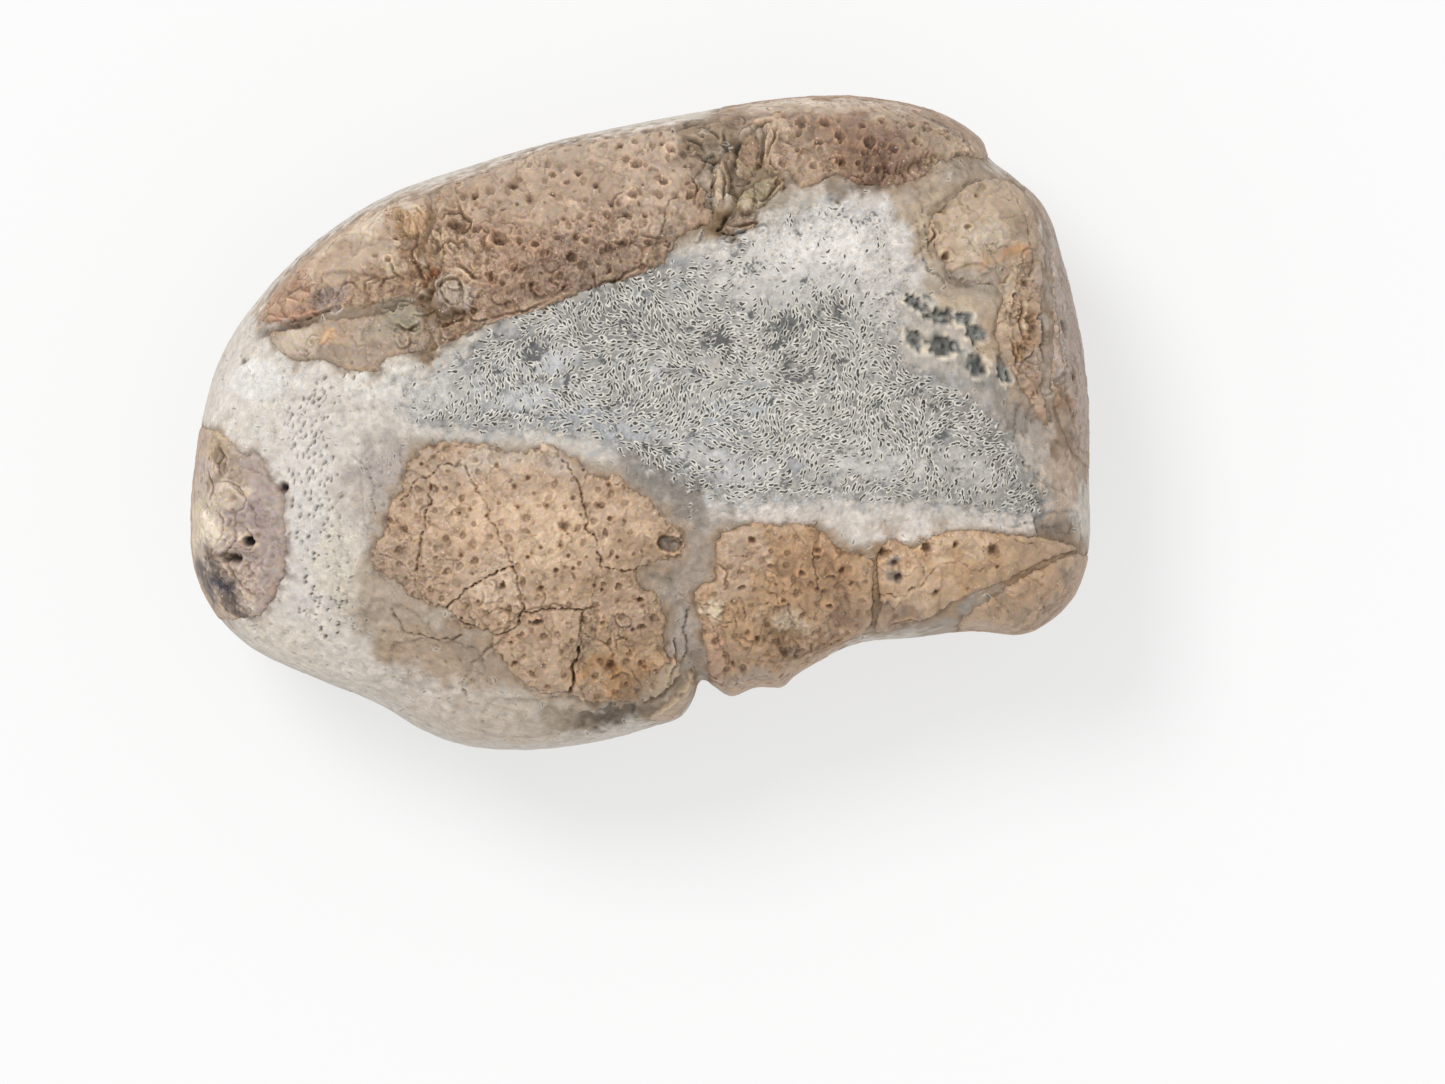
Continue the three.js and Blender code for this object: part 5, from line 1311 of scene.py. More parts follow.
# Worn tubercles: x, y, radius.
SHELL_RINGS = [
    (-7.4, 9.5, 0.5), (-6.3, 9.4, 0.32), (-5.5, 9.25, 0.3), (-5.0, 8.8, 0.35),
    (-3.6, 8.6, 0.4), (-0.1, 13.4, 0.42), (-0.3, 11.8, 0.42), (1.3, 12.5, 0.4), (1.7, 14.2, 0.36),
    (-1.6, 9.1, 0.4), (2.7, 11.8, 0.36), (3.0, 12.6, 0.3), (-4.6, 12.9, 0.3), (-8.6, 9.9, 0.4),
    (-2.8, 9.4, 0.35), (-7.9, 7.6, 0.35), (-6.6, 8.0, 0.32), (0.5, 9.4, 0.36), (-4.2, 7.6, 0.34),
    (12.1, 14.5, 0.55), (10.6, 14.8, 0.42), (10.6, 13.6, 0.36), (9.6, 14.6, 0.34), (13.4, 14.2, 0.36),
    (8.6, 15.6, 0.42), (14.6, 14.7, 0.32), (12.8, 15.8, 0.3), (15.4, 15.9, 0.3), (11.6, 13.6, 0.3),
    (9.2, 13.4, 0.3), (16.4, 15.4, 0.3), (7.4, 16.4, 0.3), (0.0, -9.4, 0.34), (-5.4, -10.6, 0.4),
    (-1.6, -5.2, 0.24), (-10.2, -3.6, 0.24), (-7.4, -4.4, 0.22), (9.4, -6.8, 0.32), (8.6, -8.0, 0.3),
    (6.9, -7.6, 0.26), (10.0, -9.6, 0.3), (7.6, -9.4, 0.26), (17.3, 10.2, 0.3), (-13.2, 8.4, 0.3),
    (-2.0, -10.6, 0.28), (-6.2, -11.2, 0.26), (-3.4, -12.6, 0.24), (-0.6, -12.2, 0.26),
    (9.8, 15.6, 0.4), (11.8, 15.4, 0.3), (12.6, 13.2, 0.3), (8.4, 14.2, 0.3), (14.4, 15.6, 0.34),
]

# Cracks through the shell: width, depth and corners.
SHELL_CRACKS = [
    (0.07, 0.2, [(-12.6, -4.2), (-11.6, -3.2), (-10.4, -2.5), (-9.4, -2.1)]),
    (0.09, 0.25, [(-11.0, -3.4), (-11.2, -4.8), (-11.5, -6.4), (-11.8, -7.9)]),
    (0.07, 0.2, [(-9.2, -2.4), (-8.4, -4.0), (-7.6, -5.6), (-6.9, -7.2), (-6.6, -7.9)]),
    (0.09, 0.28, [(-10.3, -10.0), (-9.2, -9.0), (-8.2, -8.3), (-7.2, -7.8), (-6.7, -7.7)]),
    (0.08, 0.24, [(-6.7, -7.7), (-6.3, -8.8), (-6.2, -9.8), (-6.4, -10.4)]),
    (0.09, 0.25, [(-6.2, -10.1), (-5.0, -9.95), (-3.8, -10.0), (-2.6, -9.9)]),
    (0.09, 0.26, [(-10.2, -10.2), (-9.0, -10.9), (-7.9, -11.2), (-7.0, -11.2), (-6.3, -10.3)]),
    (0.08, 0.22, [(-4.1, -2.1), (-3.3, -3.3), (-2.9, -4.6), (-2.7, -5.8), (-2.2, -7.0), (-1.6, -7.8)]),
    (0.07, 0.2, [(-1.6, -7.8), (-0.8, -7.9), (0.0, -7.7)]),
    (0.06, 0.18, [(-3.0, -10.1), (-3.2, -11.0), (-3.2, -11.9)]),
    (0.13, 0.35, [(-3.2, -11.9), (-3.5, -12.8), (-3.5, -13.6), (-3.8, -14.2), (-3.9, -14.7)]),
    (0.05, 0.15, [(-2.6, -10.2), (-2.9, -11.2), (-2.4, -11.6)]),
    (0.06, 0.14, [(-13.9, -7.0), (-12.8, -7.4), (-11.8, -8.6), (-11.0, -9.6)]),
    (0.07, 0.2, [(2.1, 12.1), (1.5, 11.4), (1.2, 10.6), (1.2, 10.0)]),
    (0.08, 0.2, [(-10.9, 10.2), (-10.3, 9.0), (-10.6, 8.0), (-10.9, 7.2)]),
    (0.05, 0.12, [(6.05, 12.7), (6.1, 12.0), (6.0, 11.2)]),
    (0.05, 0.12, [(3.2, -9.6), (3.9, -9.7), (4.5, -9.8)]),
    (0.07, 0.15, [(12.6, -9.2), (13.8, -9.0), (15.0, -8.4), (15.6, -7.8)]),
    (0.05, 0.12, [(16.0, -7.5), (16.8, -7.4), (17.5, -7.9), (18.2, -7.8)]),
    (0.06, 0.15, [(3.3, -9.8), (4.0, -10.9), (4.4, -12.4), (4.5, -14.0)]),
    (0.06, 0.14, [(-22.6, -6.9), (-21.8, -7.6), (-21.2, -8.8), (-20.4, -10.1)]),
    (0.08, 0.2, [(-21.6, -4.6), (-21.4, -5.6), (-21.6, -6.6), (-22.2, -7.2)]),
    (0.06, 0.14, [(-22.4, -2.2), (-21.4, -3.4), (-20.6, -4.4), (-20.2, -5.6)]),
    (0.07, 0.14, [(16.4, 8.0), (16.8, 7.4), (17.6, 7.0), (18.6, 7.3)]),
    (0.06, 0.14, [(15.5, 10.2), (15.7, 9.6), (15.4, 9.0)]),
    (0.06, 0.14, [(20.0, 12.4), (20.4, 11.2), (20.6, 9.6), (20.7, 8.0)]),
    (0.06, 0.14, [(21.9, 8.4), (22.3, 6.4), (22.3, 4.0), (22.8, 1.6)]),
    (0.07, 0.14, [(9.6, -5.8), (9.2, -7.0), (9.4, -8.6)]),
    (0.06, 0.12, [(-16.9, 7.6), (-16.6, 6.6), (-16.4, 6.0)]),
    (0.06, 0.12, [(-14.4, 7.2), (-13.4, 7.6), (-12.6, 7.2)]),
]

# How rough the shell is: x, y, half-length, half-width, turn, from 0 for smooth to 1.
SHELL_ROUGH = [
    (-4.0, 9.4, 9.0, 4.2, 18, 0.7),
    (-6.0, 17.4, 10.0, 2.6, 20, 0.5),
    (12.0, 19.4, 8.0, 2.6, -5, 0.6),
    (27.0, 2.0, 2.6, 8.0, 0, 0.6),
    (-3.4, 13.0, 6.6, 1.9, 12, 0.15),
    (0.8, 12.2, 2.0, 2.0, 0, 0.1),
    (-4.0, 8.4, 5.6, 1.8, 16, 0.9),
    (-10.2, 7.6, 1.5, 4.4, 0, 1.1),
    (-15.6, 8.6, 4.4, 2.0, 34, 0.25),
    (-18.4, 6.6, 1.8, 1.0, 42, 0.8),
    (-14.6, 6.7, 3.6, 0.7, 10, 0.8),
    (-12.0, 9.4, 0.9, 2.4, 0, 0.9),
    (-15.4, 4.2, 4.4, 1.4, 5, 0.2),
    (-11.8, 4.8, 0.9, 1.4, 0, 0.8),
    (12.0, 15.0, 7.0, 2.2, -5, 0.35),
    (13.6, 13.2, 4.0, 0.8, 4, 1.0),
    (7.6, 14.0, 1.6, 1.6, 0, 0.7),
    (5.6, 12.8, 2.4, 3.2, 0, 0.9),
    (17.2, 15.2, 1.6, 1.2, -40, 0.7),
    (18.2, 9.6, 2.8, 3.0, 0, 0.05),
    (20.6, 5.0, 1.0, 3.6, 0, 1.0),
    (24.0, 4.0, 2.6, 9.0, 0, 0.4),
    (-6.0, -7.6, 9.0, 7.4, -8, 0.15),
    (-1.6, -11.6, 2.4, 2.6, 0, 0.55),
    (-5.2, -8.6, 3.4, 1.2, -10, 0.35),
    (-12.0, -6.6, 2.4, 3.4, 10, 0.5),
    (-1.4, -11.6, 2.6, 3.0, 0, 0.4),
    (-8.6, -10.4, 2.4, 1.0, -20, 0.55),
    (7.8, -9.8, 4.8, 4.8, 0, 0.35),
    (8.6, -12.0, 3.0, 1.2, -15, 0.7),
    (5.0, -7.4, 1.4, 1.6, 0, 0.1),
    (17.6, -7.8, 5.6, 2.8, 8, 0.05),
    (13.4, -8.6, 0.8, 2.4, 0, 0.5),
    (22.0, -10.0, 4.0, 2.6, 20, 0.25),
    (-22.0, -5.6, 3.6, 5.6, 0, 0.15),
    (-21.8, -8.4, 1.6, 1.8, 0, 0.8),
]

for patch in SHELL_PATCHES:
    shell.patch(*patch, strength=0.85)
for spot in SHELL_ROUGH:
    shell.roughen(*spot)

# Folds and flutes too large for the ground texture: x, y, half-length, half-width, turn, height.
SHELL_MOUNDS = [
    (-10.0, 6.8, 0.85, 0.85, 0, 0.25), (-9.7, 10.5, 0.75, 0.45, 10, -0.35),
    (-10.6, 8.4, 0.4, 1.4, 10, -0.25), (-10.2, 5.2, 1.0, 0.7, 0, -0.15),
    (-8.2, 9.6, 0.8, 0.6, 30, 0.12), (-7.4, 7.4, 0.9, 0.5, 20, 0.12),
    (-4.8, 9.6, 0.8, 0.5, 0, -0.12), (-2.4, 9.4, 0.9, 0.5, 10, 0.12),
    (-6.0, 6.6, 1.6, 0.4, 20, -0.12), (-5.0, 6.0, 2.0, 0.35, 22, 0.12),
    (-9.2, 12.2, 1.0, 0.4, 30, 0.12), (2.6, 11.0, 0.7, 0.6, 0, -0.15),
    (-14.1, 8.6, 1.3, 0.6, 20, 0.22), (-16.4, 9.2, 2.4, 0.45, 42, 0.15),
    (-13.4, 10.6, 1.6, 0.6, 25, 0.12), (-12.0, 9.9, 0.7, 0.7, 0, -0.2),
    (-12.6, 7.6, 1.2, 0.3, 5, -0.15), (-17.4, 6.4, 1.2, 0.35, 20, -0.12),
    (-19.2, 5.9, 0.9, 0.3, 35, 0.12), (-11.7, 8.2, 0.3, 1.2, 0, 0.15),
    (-13.2, 4.4, 1.6, 0.5, 5, 0.1), (12.2, 14.5, 0.6, 0.8, 10, 0.16),
    (10.7, 14.9, 0.5, 0.5, 0, 0.14), (13.5, 14.2, 0.45, 0.45, 0, 0.14),
    (8.8, 15.6, 0.5, 0.5, 0, 0.12), (10.5, 13.6, 0.5, 0.4, 0, 0.12),
    (7.4, 15.0, 0.4, 1.0, -10, 0.15), (5.4, 16.1, 1.2, 0.3, 20, -0.15),
    (14.8, 13.6, 1.6, 0.4, 10, -0.15), (16.8, 15.0, 1.2, 0.5, -35, 0.12),
    (16.0, 11.3, 0.45, 0.35, 0, -0.2), (16.5, 7.8, 0.9, 0.3, -50, -0.2),
    (15.6, 9.6, 0.25, 0.8, 0, -0.2), (20.7, 5.0, 0.5, 0.9, 0, -0.3), (20.2, 8.6, 0.5, 1.0, 0, 0.12),
    (18.6, 9.9, 1.2, 0.8, 0, 0.1), (22.9, 5.3, 0.35, 0.6, 0, -0.35),
    (22.8, 1.6, 0.35, 1.0, 10, -0.35), (22.2, 9.0, 0.3, 1.6, -8, 0.15),
    (-5.4, -6.0, 2.2, 1.4, 0, 0.12), (-8.6, -5.4, 1.2, 1.6, -20, 0.08),
    (-1.2, -4.9, 1.2, 0.8, -35, 0.1), (-11.9, -5.2, 0.7, 1.8, 10, 0.1),
    (1.6, -6.5, 0.55, 0.35, -10, -0.3), (0.4, -7.4, 0.8, 0.3, 0, -0.1),
    (-5.3, -12.2, 1.6, 1.2, 0, 0.1), (-1.2, -13.6, 1.6, 0.7, 10, 0.14),
    (-0.4, -10.2, 0.7, 0.5, 0, 0.1), (5.2, -7.0, 1.4, 0.8, 30, 0.1),
    (8.2, -10.4, 1.0, 0.6, 0, 0.12), (9.8, -7.8, 1.4, 0.8, 0, 0.1), (3.8, -11.6, 0.5, 2.2, 8, 0.12),
    (7.4, -12.6, 1.6, 0.5, 0, -0.12), (14.3, -8.8, 1.2, 0.7, -10, 0.12),
    (17.0, -7.0, 1.4, 0.3, 0, -0.12), (19.4, -7.0, 1.2, 0.4, -10, 0.1),
    (12.9, -9.9, 0.4, 0.4, 0, -0.2), (-23.2, -5.8, 1.2, 0.8, 10, 0.2),
    (-21.6, -7.2, 0.7, 0.3, 0, -0.4), (-20.6, -6.4, 0.6, 0.6, 0, 0.15),
    (-21.3, -5.2, 0.25, 1.2, 0, -0.2), (-22.4, -9.0, 0.8, 0.7, 0, -0.25),
    (-20.4, -8.4, 0.4, 1.4, -30, 0.15),
]
for spot in SHELL_MOUNDS:
    shell.mound(*spot)

SHELL_TIERS = [  # pieces that have settled or lifted: height, edge width, how dark the painted shade at the bottom of the step, and corners
    (-0.1, 0.1, 0.4, [
        (-14.6, -6.2), (-12.6, -2.6), (-11.2, -3.2), (-11.3, -5.4), (-11.8, -8.2), (-13.4, -9.0)]),
    (0.1, 0.08, 0.4, [(-9.0, -8.9), (-7.2, -7.8), (-6.6, -7.8), (-6.2, -10.0), (-7.8, -10.9)]),
    (-0.13, 0.08, 0.5, [
        (-6.3, -10.1), (-3.1, -10.0), (-3.4, -12.6), (-3.9, -15.0), (-8.4, -13.4), (-7.2, -11.2)]),
    (-0.08, 0.08, 0.4, [(-10.4, -9.9), (-9.0, -9.3), (-6.4, -10.3), (-7.4, -11.3), (-9.8, -11.3)]),
    (-0.14, 0.08, 0.6, [(-3.0, -10.0), (-2.2, -9.8), (-2.4, -11.4), (-3.0, -12.0)]),
    (0.08, 0.1, 0.3, [(12.6, -9.3), (14.2, -8.9), (15.8, -7.7), (15.4, -10.6), (13.0, -11.0)]),
    (-0.1, 0.08, 0.3, [(2.9, -9.6), (4.3, -10.6), (4.6, -14.4), (3.2, -14.6)]),
    (-0.1, 0.12, 0.4, [(4.8, 15.6), (6.4, 15.8), (8.0, 17.0), (6.0, 18.0), (3.6, 16.6)]),
    (-0.12, 0.12, 0.4, [
        (-17.0, 7.4), (-15.6, 7.9), (-13.6, 7.5), (-12.0, 6.7), (-14.4, 6.0), (-17.2, 5.8)]),
    (-0.12, 0.1, 0.4, [(16.4, 7.2), (16.9, 8.2), (18.9, 7.9), (19.3, 6.6)]),
    (-0.12, 0.1, 0.4, [(20.3, 8.2), (21.3, 8.4), (21.2, 3.0), (20.2, 3.4), (19.6, 5.4)]),
    (0.07, 0.16, 0.3, [
        (-23.9, -5.0), (-23.0, -4.6), (-22.0, -5.0), (-21.8, -6.2), (-22.6, -6.8), (-23.8, -6.6)]),
    (0.07, 0.14, 0.3, [
        (-22.4, -3.2), (-21.4, -3.3), (-20.6, -4.3), (-20.9, -4.9), (-21.8, -4.7), (-22.3, -4.2)]),
    (-0.16, 0.12, 0.5, [
        (-23.4, -7.2), (-22.4, -7.4), (-21.0, -9.2), (-20.6, -10.2), (-22.6, -10.4), (-24.2, -8.8)]),
    (-0.1, 0.1, 0.4, [(-8.6, 8.8), (-6.4, 9.6), (-5.6, 8.6), (-7.0, 7.4), (-8.8, 7.4)]),
    (-0.08, 0.1, 0.3, [(-1.4, 10.9), (1.4, 11.2), (1.2, 9.6), (-1.0, 9.2)]),
    (0.1, 0.1, 0.4, [(-13.4, 10.9), (-11.4, 11.6), (-11.4, 10.2), (-12.6, 9.6), (-14.4, 9.8)]),
]
for height, edge, dark, corners in SHELL_TIERS:
    shell.tier(corners, height, edge, dark)


def break_shell(bare, size, strength):
    """Chips the rough ground: hollows of one size, painted shade in the gaps between them and painted
    highlights on their rims.
    """
    chips, chip_tone, gap = scoops(size, 0.16)
    broken = strength * bare * smooth_step(noise(0.5 * size, 2 * size), -0.9, 0.6)
    crevice = broken * (1 - smooth_step(gap, 0.0, 0.1))
    rim = broken * np.exp(-(((gap - 0.17) / 0.07) ** 2))
    shell.height += broken * (0.45 * chips - 0.03 * size) - 0.08 * crevice + 0.05 * rim
    # Painted shade in the gaps and painted highlights on the rims.
    shell.dark = np.maximum(shell.dark, 0.7 * crevice)
    shell.pale = np.maximum(shell.pale, 0.6 * rim)
    tone = 0.12 * chip_tone[..., None] - np.array([0.05, 0.08, 0.09], np.float32)
    shell.paint *= 1 + broken[..., None] * tone


def flake_shell(size, strength):
    """Steps of one size between thin flakes, each with a painted shadow line below it and a painted
    highlight on its lip.
    """
    side, shadow_line, lip = flakes(size)
    amount = strength * (0.4 + 0.6 * np.minimum(shell.rough, 1))
    # Painted shadow below each step and a painted highlight on its lip.
    shell.height += amount * (0.06 * side - 0.05 * shadow_line)
    shell.dark = np.maximum(shell.dark, 0.8 * amount * shadow_line)
    shell.pale = np.maximum(shell.pale, 0.7 * amount * lip)
    shell.paint *= 1 + (0.12 * amount * (side - 0.5))[..., None]


# Ground texture: thin flakes over a smooth skin, and chipped hollows where it is rough.
bare = smooth_step(shell.rough + 0.2 * noise(0.8, 3.0), 0.3, 0.8)
shell.height += 0.03 * noise(1.0, 3.5) + 0.01 * noise(0.5, 1.6)
for size, strength in ((1.15, 1.0), (0.7, 0.6)):
    break_shell(bare, size, strength)
for size, strength in ((3.4, 0.8), (2.0, 0.7), (1.2, 0.5)):
    flake_shell(size, strength)
skin = lasting(2.2, 0.4) + 0.4 * lasting(1.1, 0.4)
shell.paint *= 1 + 0.1 * (skin - 0.95)[..., None] * np.array([0.9, 1, 1.15], np.float32)
shell.height += 0.015 * skin

# Curled-up edges of the shell: width, which side the crevice is on, and corners.
FOLDS = [
    # joint of finger and palm
    (0.1, 1, [(-11.5, 10.0), (-11.7, 9.3), (-11.8, 8.6), (-11.4, 8.1), (-11.2, 7.3), (-10.8, 6.9)]),
    (0.07, 1, [(-13.1, 8.4), (-12.8, 7.9), (-12.4, 7.6)]),
    (0.06, -1, [(-12.8, 8.0), (-13.2, 7.7), (-13.8, 7.4), (-13.9, 7.0)]),
    (0.08, -1, [(-10.8, 9.2), (-10.5, 8.9), (-10.2, 9.2), (-9.8, 9.3), (-9.6, 8.9)]),
    (0.09, 1, [
        (-10.7, 6.1), (-10.7, 7.0), (-10.3, 7.4), (-9.6, 7.5), (-9.2, 7.1), (-9.1, 6.5), (-9.2, 5.9)]),
    (0.1, -1, [(-9.8, 8.1), (-9.3, 7.8), (-8.8, 7.4), (-8.3, 7.3)]),
    (0.07, 1, [(-9.6, 11.8), (-9.3, 11.0), (-8.8, 10.6), (-8.8, 10.0), (-9.4, 9.7)]),
    (0.07, -1, [(-10.6, 10.5), (-9.9, 10.8), (-9.3, 10.9)]),
    (0.08, 1, [(-11.6, 5.9), (-11.9, 6.4), (-11.5, 6.8), (-11.0, 6.6)]),
    (0.07, -1, [(-13.7, 5.9), (-13.0, 5.7), (-12.6, 6.2), (-12.0, 6.1)]),
    (0.07, 1, [(-12.8, 5.2), (-12.2, 5.0), (-11.6, 5.3)]),
    (0.07, -1, [(-10.9, 5.2), (-10.3, 4.9), (-9.6, 5.1), (-9.1, 5.5)]),
    (0.06, 1, [(-8.9, 5.6), (-8.5, 5.3), (-8.0, 5.5)]),
    # broken wrist
    (0.1, 1, [(5.7, 15.3), (6.4, 15.9), (7.1, 15.8), (7.2, 15.4)]),
    (0.09, 1, [(6.9, 15.2), (6.7, 14.4), (6.6, 13.7), (6.2, 13.0)]),
    (0.09, -1, [(4.9, 14.5), (4.8, 13.9), (5.1, 13.2)]),
    (0.08, 1, [(7.5, 15.4), (7.2, 14.7), (6.9, 13.8)]),
    (0.08, -1, [(3.9, 13.2), (3.7, 12.4), (3.8, 11.6)]),
    (0.08, 1, [(4.5, 13.4), (4.7, 12.5), (4.6, 11.4)]),
    (0.08, 1, [(5.1, 11.3), (4.7, 10.7), (4.3, 10.0)]),
    (0.09, -1, [(4.5, 10.2), (5.4, 10.2), (6.3, 10.4), (6.4, 11.0)]),
    (0.09, 1, [(7.8, 12.7), (7.3, 12.1), (6.8, 11.6), (6.1, 11.4)]),
    (0.08, -1, [(3.3, 15.6), (4.2, 15.9), (5.0, 15.6)]),
    (0.08, 1, [(2.6, 14.0), (3.3, 14.3), (3.9, 14.0), (4.3, 14.5)]),
    (0.07, 1, [(2.8, 12.9), (3.2, 12.2), (3.0, 11.4)]),
    (0.08, 1, [(2.4, 15.3), (3.2, 15.1), (3.6, 14.5)]),
    (0.08, -1, [(4.4, 15.6), (4.1, 14.9), (4.5, 14.3)]),
    (0.07, 1, [(2.8, 14.6), (3.3, 14.2), (3.9, 14.4), (4.2, 13.9)]),
    (0.06, -1, [(3.0, 15.5), (3.7, 15.4), (4.1, 15.1)]),
    # foot of the first claw, its rim and its fingers' tips
    (0.08, -1, [(-8.0, 5.4), (-6.8, 5.5), (-5.6, 5.8), (-4.6, 6.3)]),
    (0.08, -1, [(-2.6, 6.9), (-1.4, 7.2), (-0.4, 7.8), (0.4, 8.0)]),
    (0.07, 1, [(-19.4, 5.4), (-18.2, 5.5), (-17.0, 5.8), (-15.8, 6.2)]),
    # second arm, wrist and palm
    (0.06, 1, [(13.2, -10.6), (14.2, -10.3), (15.2, -10.4)]),
    (0.07, 1, [(1.4, -13.4), (1.8, -12.4), (1.7, -11.4)]),
    # shoulder and the strip beside it
    (0.08, 1, [(15.5, 10.4), (15.8, 9.8), (15.4, 9.2), (15.7, 8.6)]),
    (0.08, 1, [(20.2, 6.6), (20.5, 5.8), (20.3, 5.0), (20.7, 4.2)]),
    (0.08, -1, [(21.1, 5.9), (21.3, 4.9), (21.1, 3.9), (21.4, 3.0)]),
    (0.07, 1, [(19.7, 4.4), (20.1, 3.6), (20.0, 2.8)]),
    # leg
    (0.05, 1, [(-22.3, -3.1), (-21.5, -3.2), (-20.7, -4.0), (-20.8, -4.7), (-21.4, -5.0)]),
    (0.05, 1, [(-22.4, -4.6), (-21.9, -5.2), (-21.8, -5.9), (-22.3, -6.6)]),
    (0.06, -1, [(-22.5, -6.9), (-21.8, -7.9), (-21.1, -8.7), (-20.2, -9.5)]),
    (0.05, 1, [(-21.0, -5.9), (-20.6, -5.7), (-20.3, -6.1), (-20.4, -6.7), (-20.9, -6.9)]),
    (0.07, -1, [(-23.4, -2.6), (-22.8, -3.6), (-23.0, -4.2)]),
    (0.06, 1, [(-22.9, -1.4), (-22.7, -2.0), (-22.9, -2.6)]),
    (0.06, -1, [(-22.4, -1.3), (-22.2, -1.9), (-22.4, -2.5), (-22.2, -3.0)]),
    (0.05, 1, [(-22.0, -1.6), (-21.7, -2.1), (-21.9, -2.6)]),
    (0.06, 1, [(-22.8, -8.0), (-22.2, -8.4), (-21.9, -9.0), (-21.4, -9.4)]),
]


def oval(x, y, along, across, turn, start, end):
    """Points along part of an ellipse; the angles are in degrees."""
    cosine, sine = np.cos(np.radians(turn)), np.sin(np.radians(turn))
    return [
        (x + along * np.cos(way) * cosine - across * np.sin(way) * sine,
         y + along * np.cos(way) * sine + across * np.sin(way) * cosine)
        for way in np.radians(np.linspace(start, end, 13))
    ]


def draw_curls():
    """Small curled edges at random on rough ground: their crests and crevices."""
    crests, crevices = blank(), blank()
    stone_bare = smooth_step(stone.rough, 0.6, 1.0)
    for x, y in scatter(6000, (-27, -16, 27, 18), 0.7):
        ground = bare if value_at(plate_cover, x, y) > 0 else stone_bare
        strength = value_at(ground, x, y)
        if strength < 0.3 or random.random() > 0.8:
            continue
        way, corners = random.uniform(0, 2 * np.pi), [(x, y)]
        bend = random.choice([-1, 1]) * random.uniform(0.2, 1.1)
        stride = random.uniform(0.16, 0.3)
        for _ in range(random.integers(3, 6)):
            x, y = x + stride * np.cos(way), y + stride * np.sin(way)
            corners.append((x, y))
            way += bend + random.uniform(-0.3, 0.3)
        width = random.uniform(0.045, 0.08)
        fold(crests, crevices, corners, width, strength, random.choice([-1, 1]))
    return crests, crevices


crests, crevices = blank(), blank()
for width, side, corners in FOLDS:
    fold(crests, crevices, corners, width, side=side)
small_crests, small_crevices = draw_curls()
# Crests are painted pale as highlights and crevices dark as shade, on the shell and on the stone.
for layers in (shell, stone):
    layers.height += 0.09 * small_crests - 0.12 * small_crevices
    layers.pale = np.maximum(layers.pale, 0.75 * small_crests)
    layers.dark = np.maximum(layers.dark, 0.85 * small_crevices)
    layers.height += 0.14 * crests - 0.2 * crevices
    layers.pale = np.maximum(layers.pale, 0.8 * crests)
    layers.dark = np.maximum(layers.dark, 0.95 * crevices)

TUBERCLES = [  # size, least gap, how dark their brown floors with the painted shade in them, and the box that they lie in
    (0.26, 0.64, 0.7, (-11.0, 4.0, 4.0, 15.4)),
    (0.25, 0.62, 0.85, (-14.0, -15.0, 2.4, -1.0)),
    (0.24, 0.62, 0.7, (3.0, -15.6, 12.4, -5.2)),
    (0.26, 0.95, 0.5, (4.4, 12.2, 18.6, 21.6)),
    (0.13, 1.6, 0.6, (12.6, -13.0, 26.0, -5.6)),
    (0.15, 1.3, 0.6, (-20.0, 2.6, -11.0, 12.0)),
    (0.14, 1.6, 0.4, (15.0, -2.0, 28.0, 13.0)),
    (0.13, 1.3, 0.4, (-27.0, -10.6, -18.8, -0.4)),
]
HAIRLINES = [  # box, and how many hairline cracks lie in it
    ((-14, -15, 2, -1.2), 60),
    ((-11, 5, 3.5, 15), 50),
    ((3.4, -15, 12, -5.6), 36),
    ((7, 12.5, 18, 18), 12),
    ((13, -12, 24, -6), 12),
    ((-26, -10, -19, -1), 14),
    ((15.5, 0, 23, 12), 12),
]
SHELL_RIDGES = [  # width, height, how pale, how far it wanders, and corners
    (0.07, 0.1, 1.0, 0.03, [(-19.6, 5.3), (-18.4, 5.45), (-17.0, 5.75)]),
    (0.1, 0.12, 0.6, 0.08, [(-11.1, 9.6), (-11.5, 8.6), (-11.2, 7.6), (-11.6, 6.8)]),
    (0.07, 0.08, 0.9, 0.08, [(0.5, -16.0), (1.5, -15.2), (2.4, -14.0), (2.8, -13.3)]),
    (0.06, 0.06, 0.9, 0.03, [(-9.2, 4.6), (-8.2, 5.1), (-7.2, 5.5), (-6.0, 5.9)]),
    (0.06, 0.08, 0.8, 0.08, [(-21.7, -5.0), (-21.4, -5.8), (-21.8, -6.6)]),
]
KNOB = (-9.8, 6.9)
OPENING = (1.6, -6.5)
LEG_HOLE = (-20.62, -6.36)


def draw_tubercles(most, gap, stain, box):
    """Worn tubercles at random in a box: pores, shallow dimples and, where it is rough, deep bowls."""
    for x, y in scatter(1600, box, gap):
        size = most * random.uniform(0.5, 1.25)
        turn = random.uniform(0, 180)
        squash = random.uniform(0.55, 1)
        kind = random.random() + 0.5 * value_at(shell.rough, x, y)
        if kind < 0.14:
            dark = random.uniform(0.6, 1.0)
            shell.pit(x, y, 0.45 * size, depth=0.4 * size, rim=0.02, dark=dark, pale=0.3)
        elif kind < 0.85:
            shade = stain * random.uniform(0.4, 1.1)
            shell.crater(x, y, size, 0.35, 0.12, stain=shade, squash=squash, turn=turn)
        else:
            shade = random.uniform(0.5, 0.9)
            shell.crater(x, y, size, 0.5, 0.28, stain=shade, squash=squash, turn=turn)


def draw_ring(x, y, radius):
    """A tubercle with a place of its own: a mound, the bowl worn into it and a pore in the middle."""
    shell.mound(x, y, 1.2 * radius, 1.2 * radius, 0, 0.25 * radius)
    squash = random.uniform(0.75, 1)
    shell.crater(x, y, 0.8 * radius, 0.45, 0.4, stain=0.85, squash=squash, worn=0.35)
    shell.pit(x, y, 0.2 * radius, depth=0.2 * radius, rim=0, dark=1.0, pale=0)


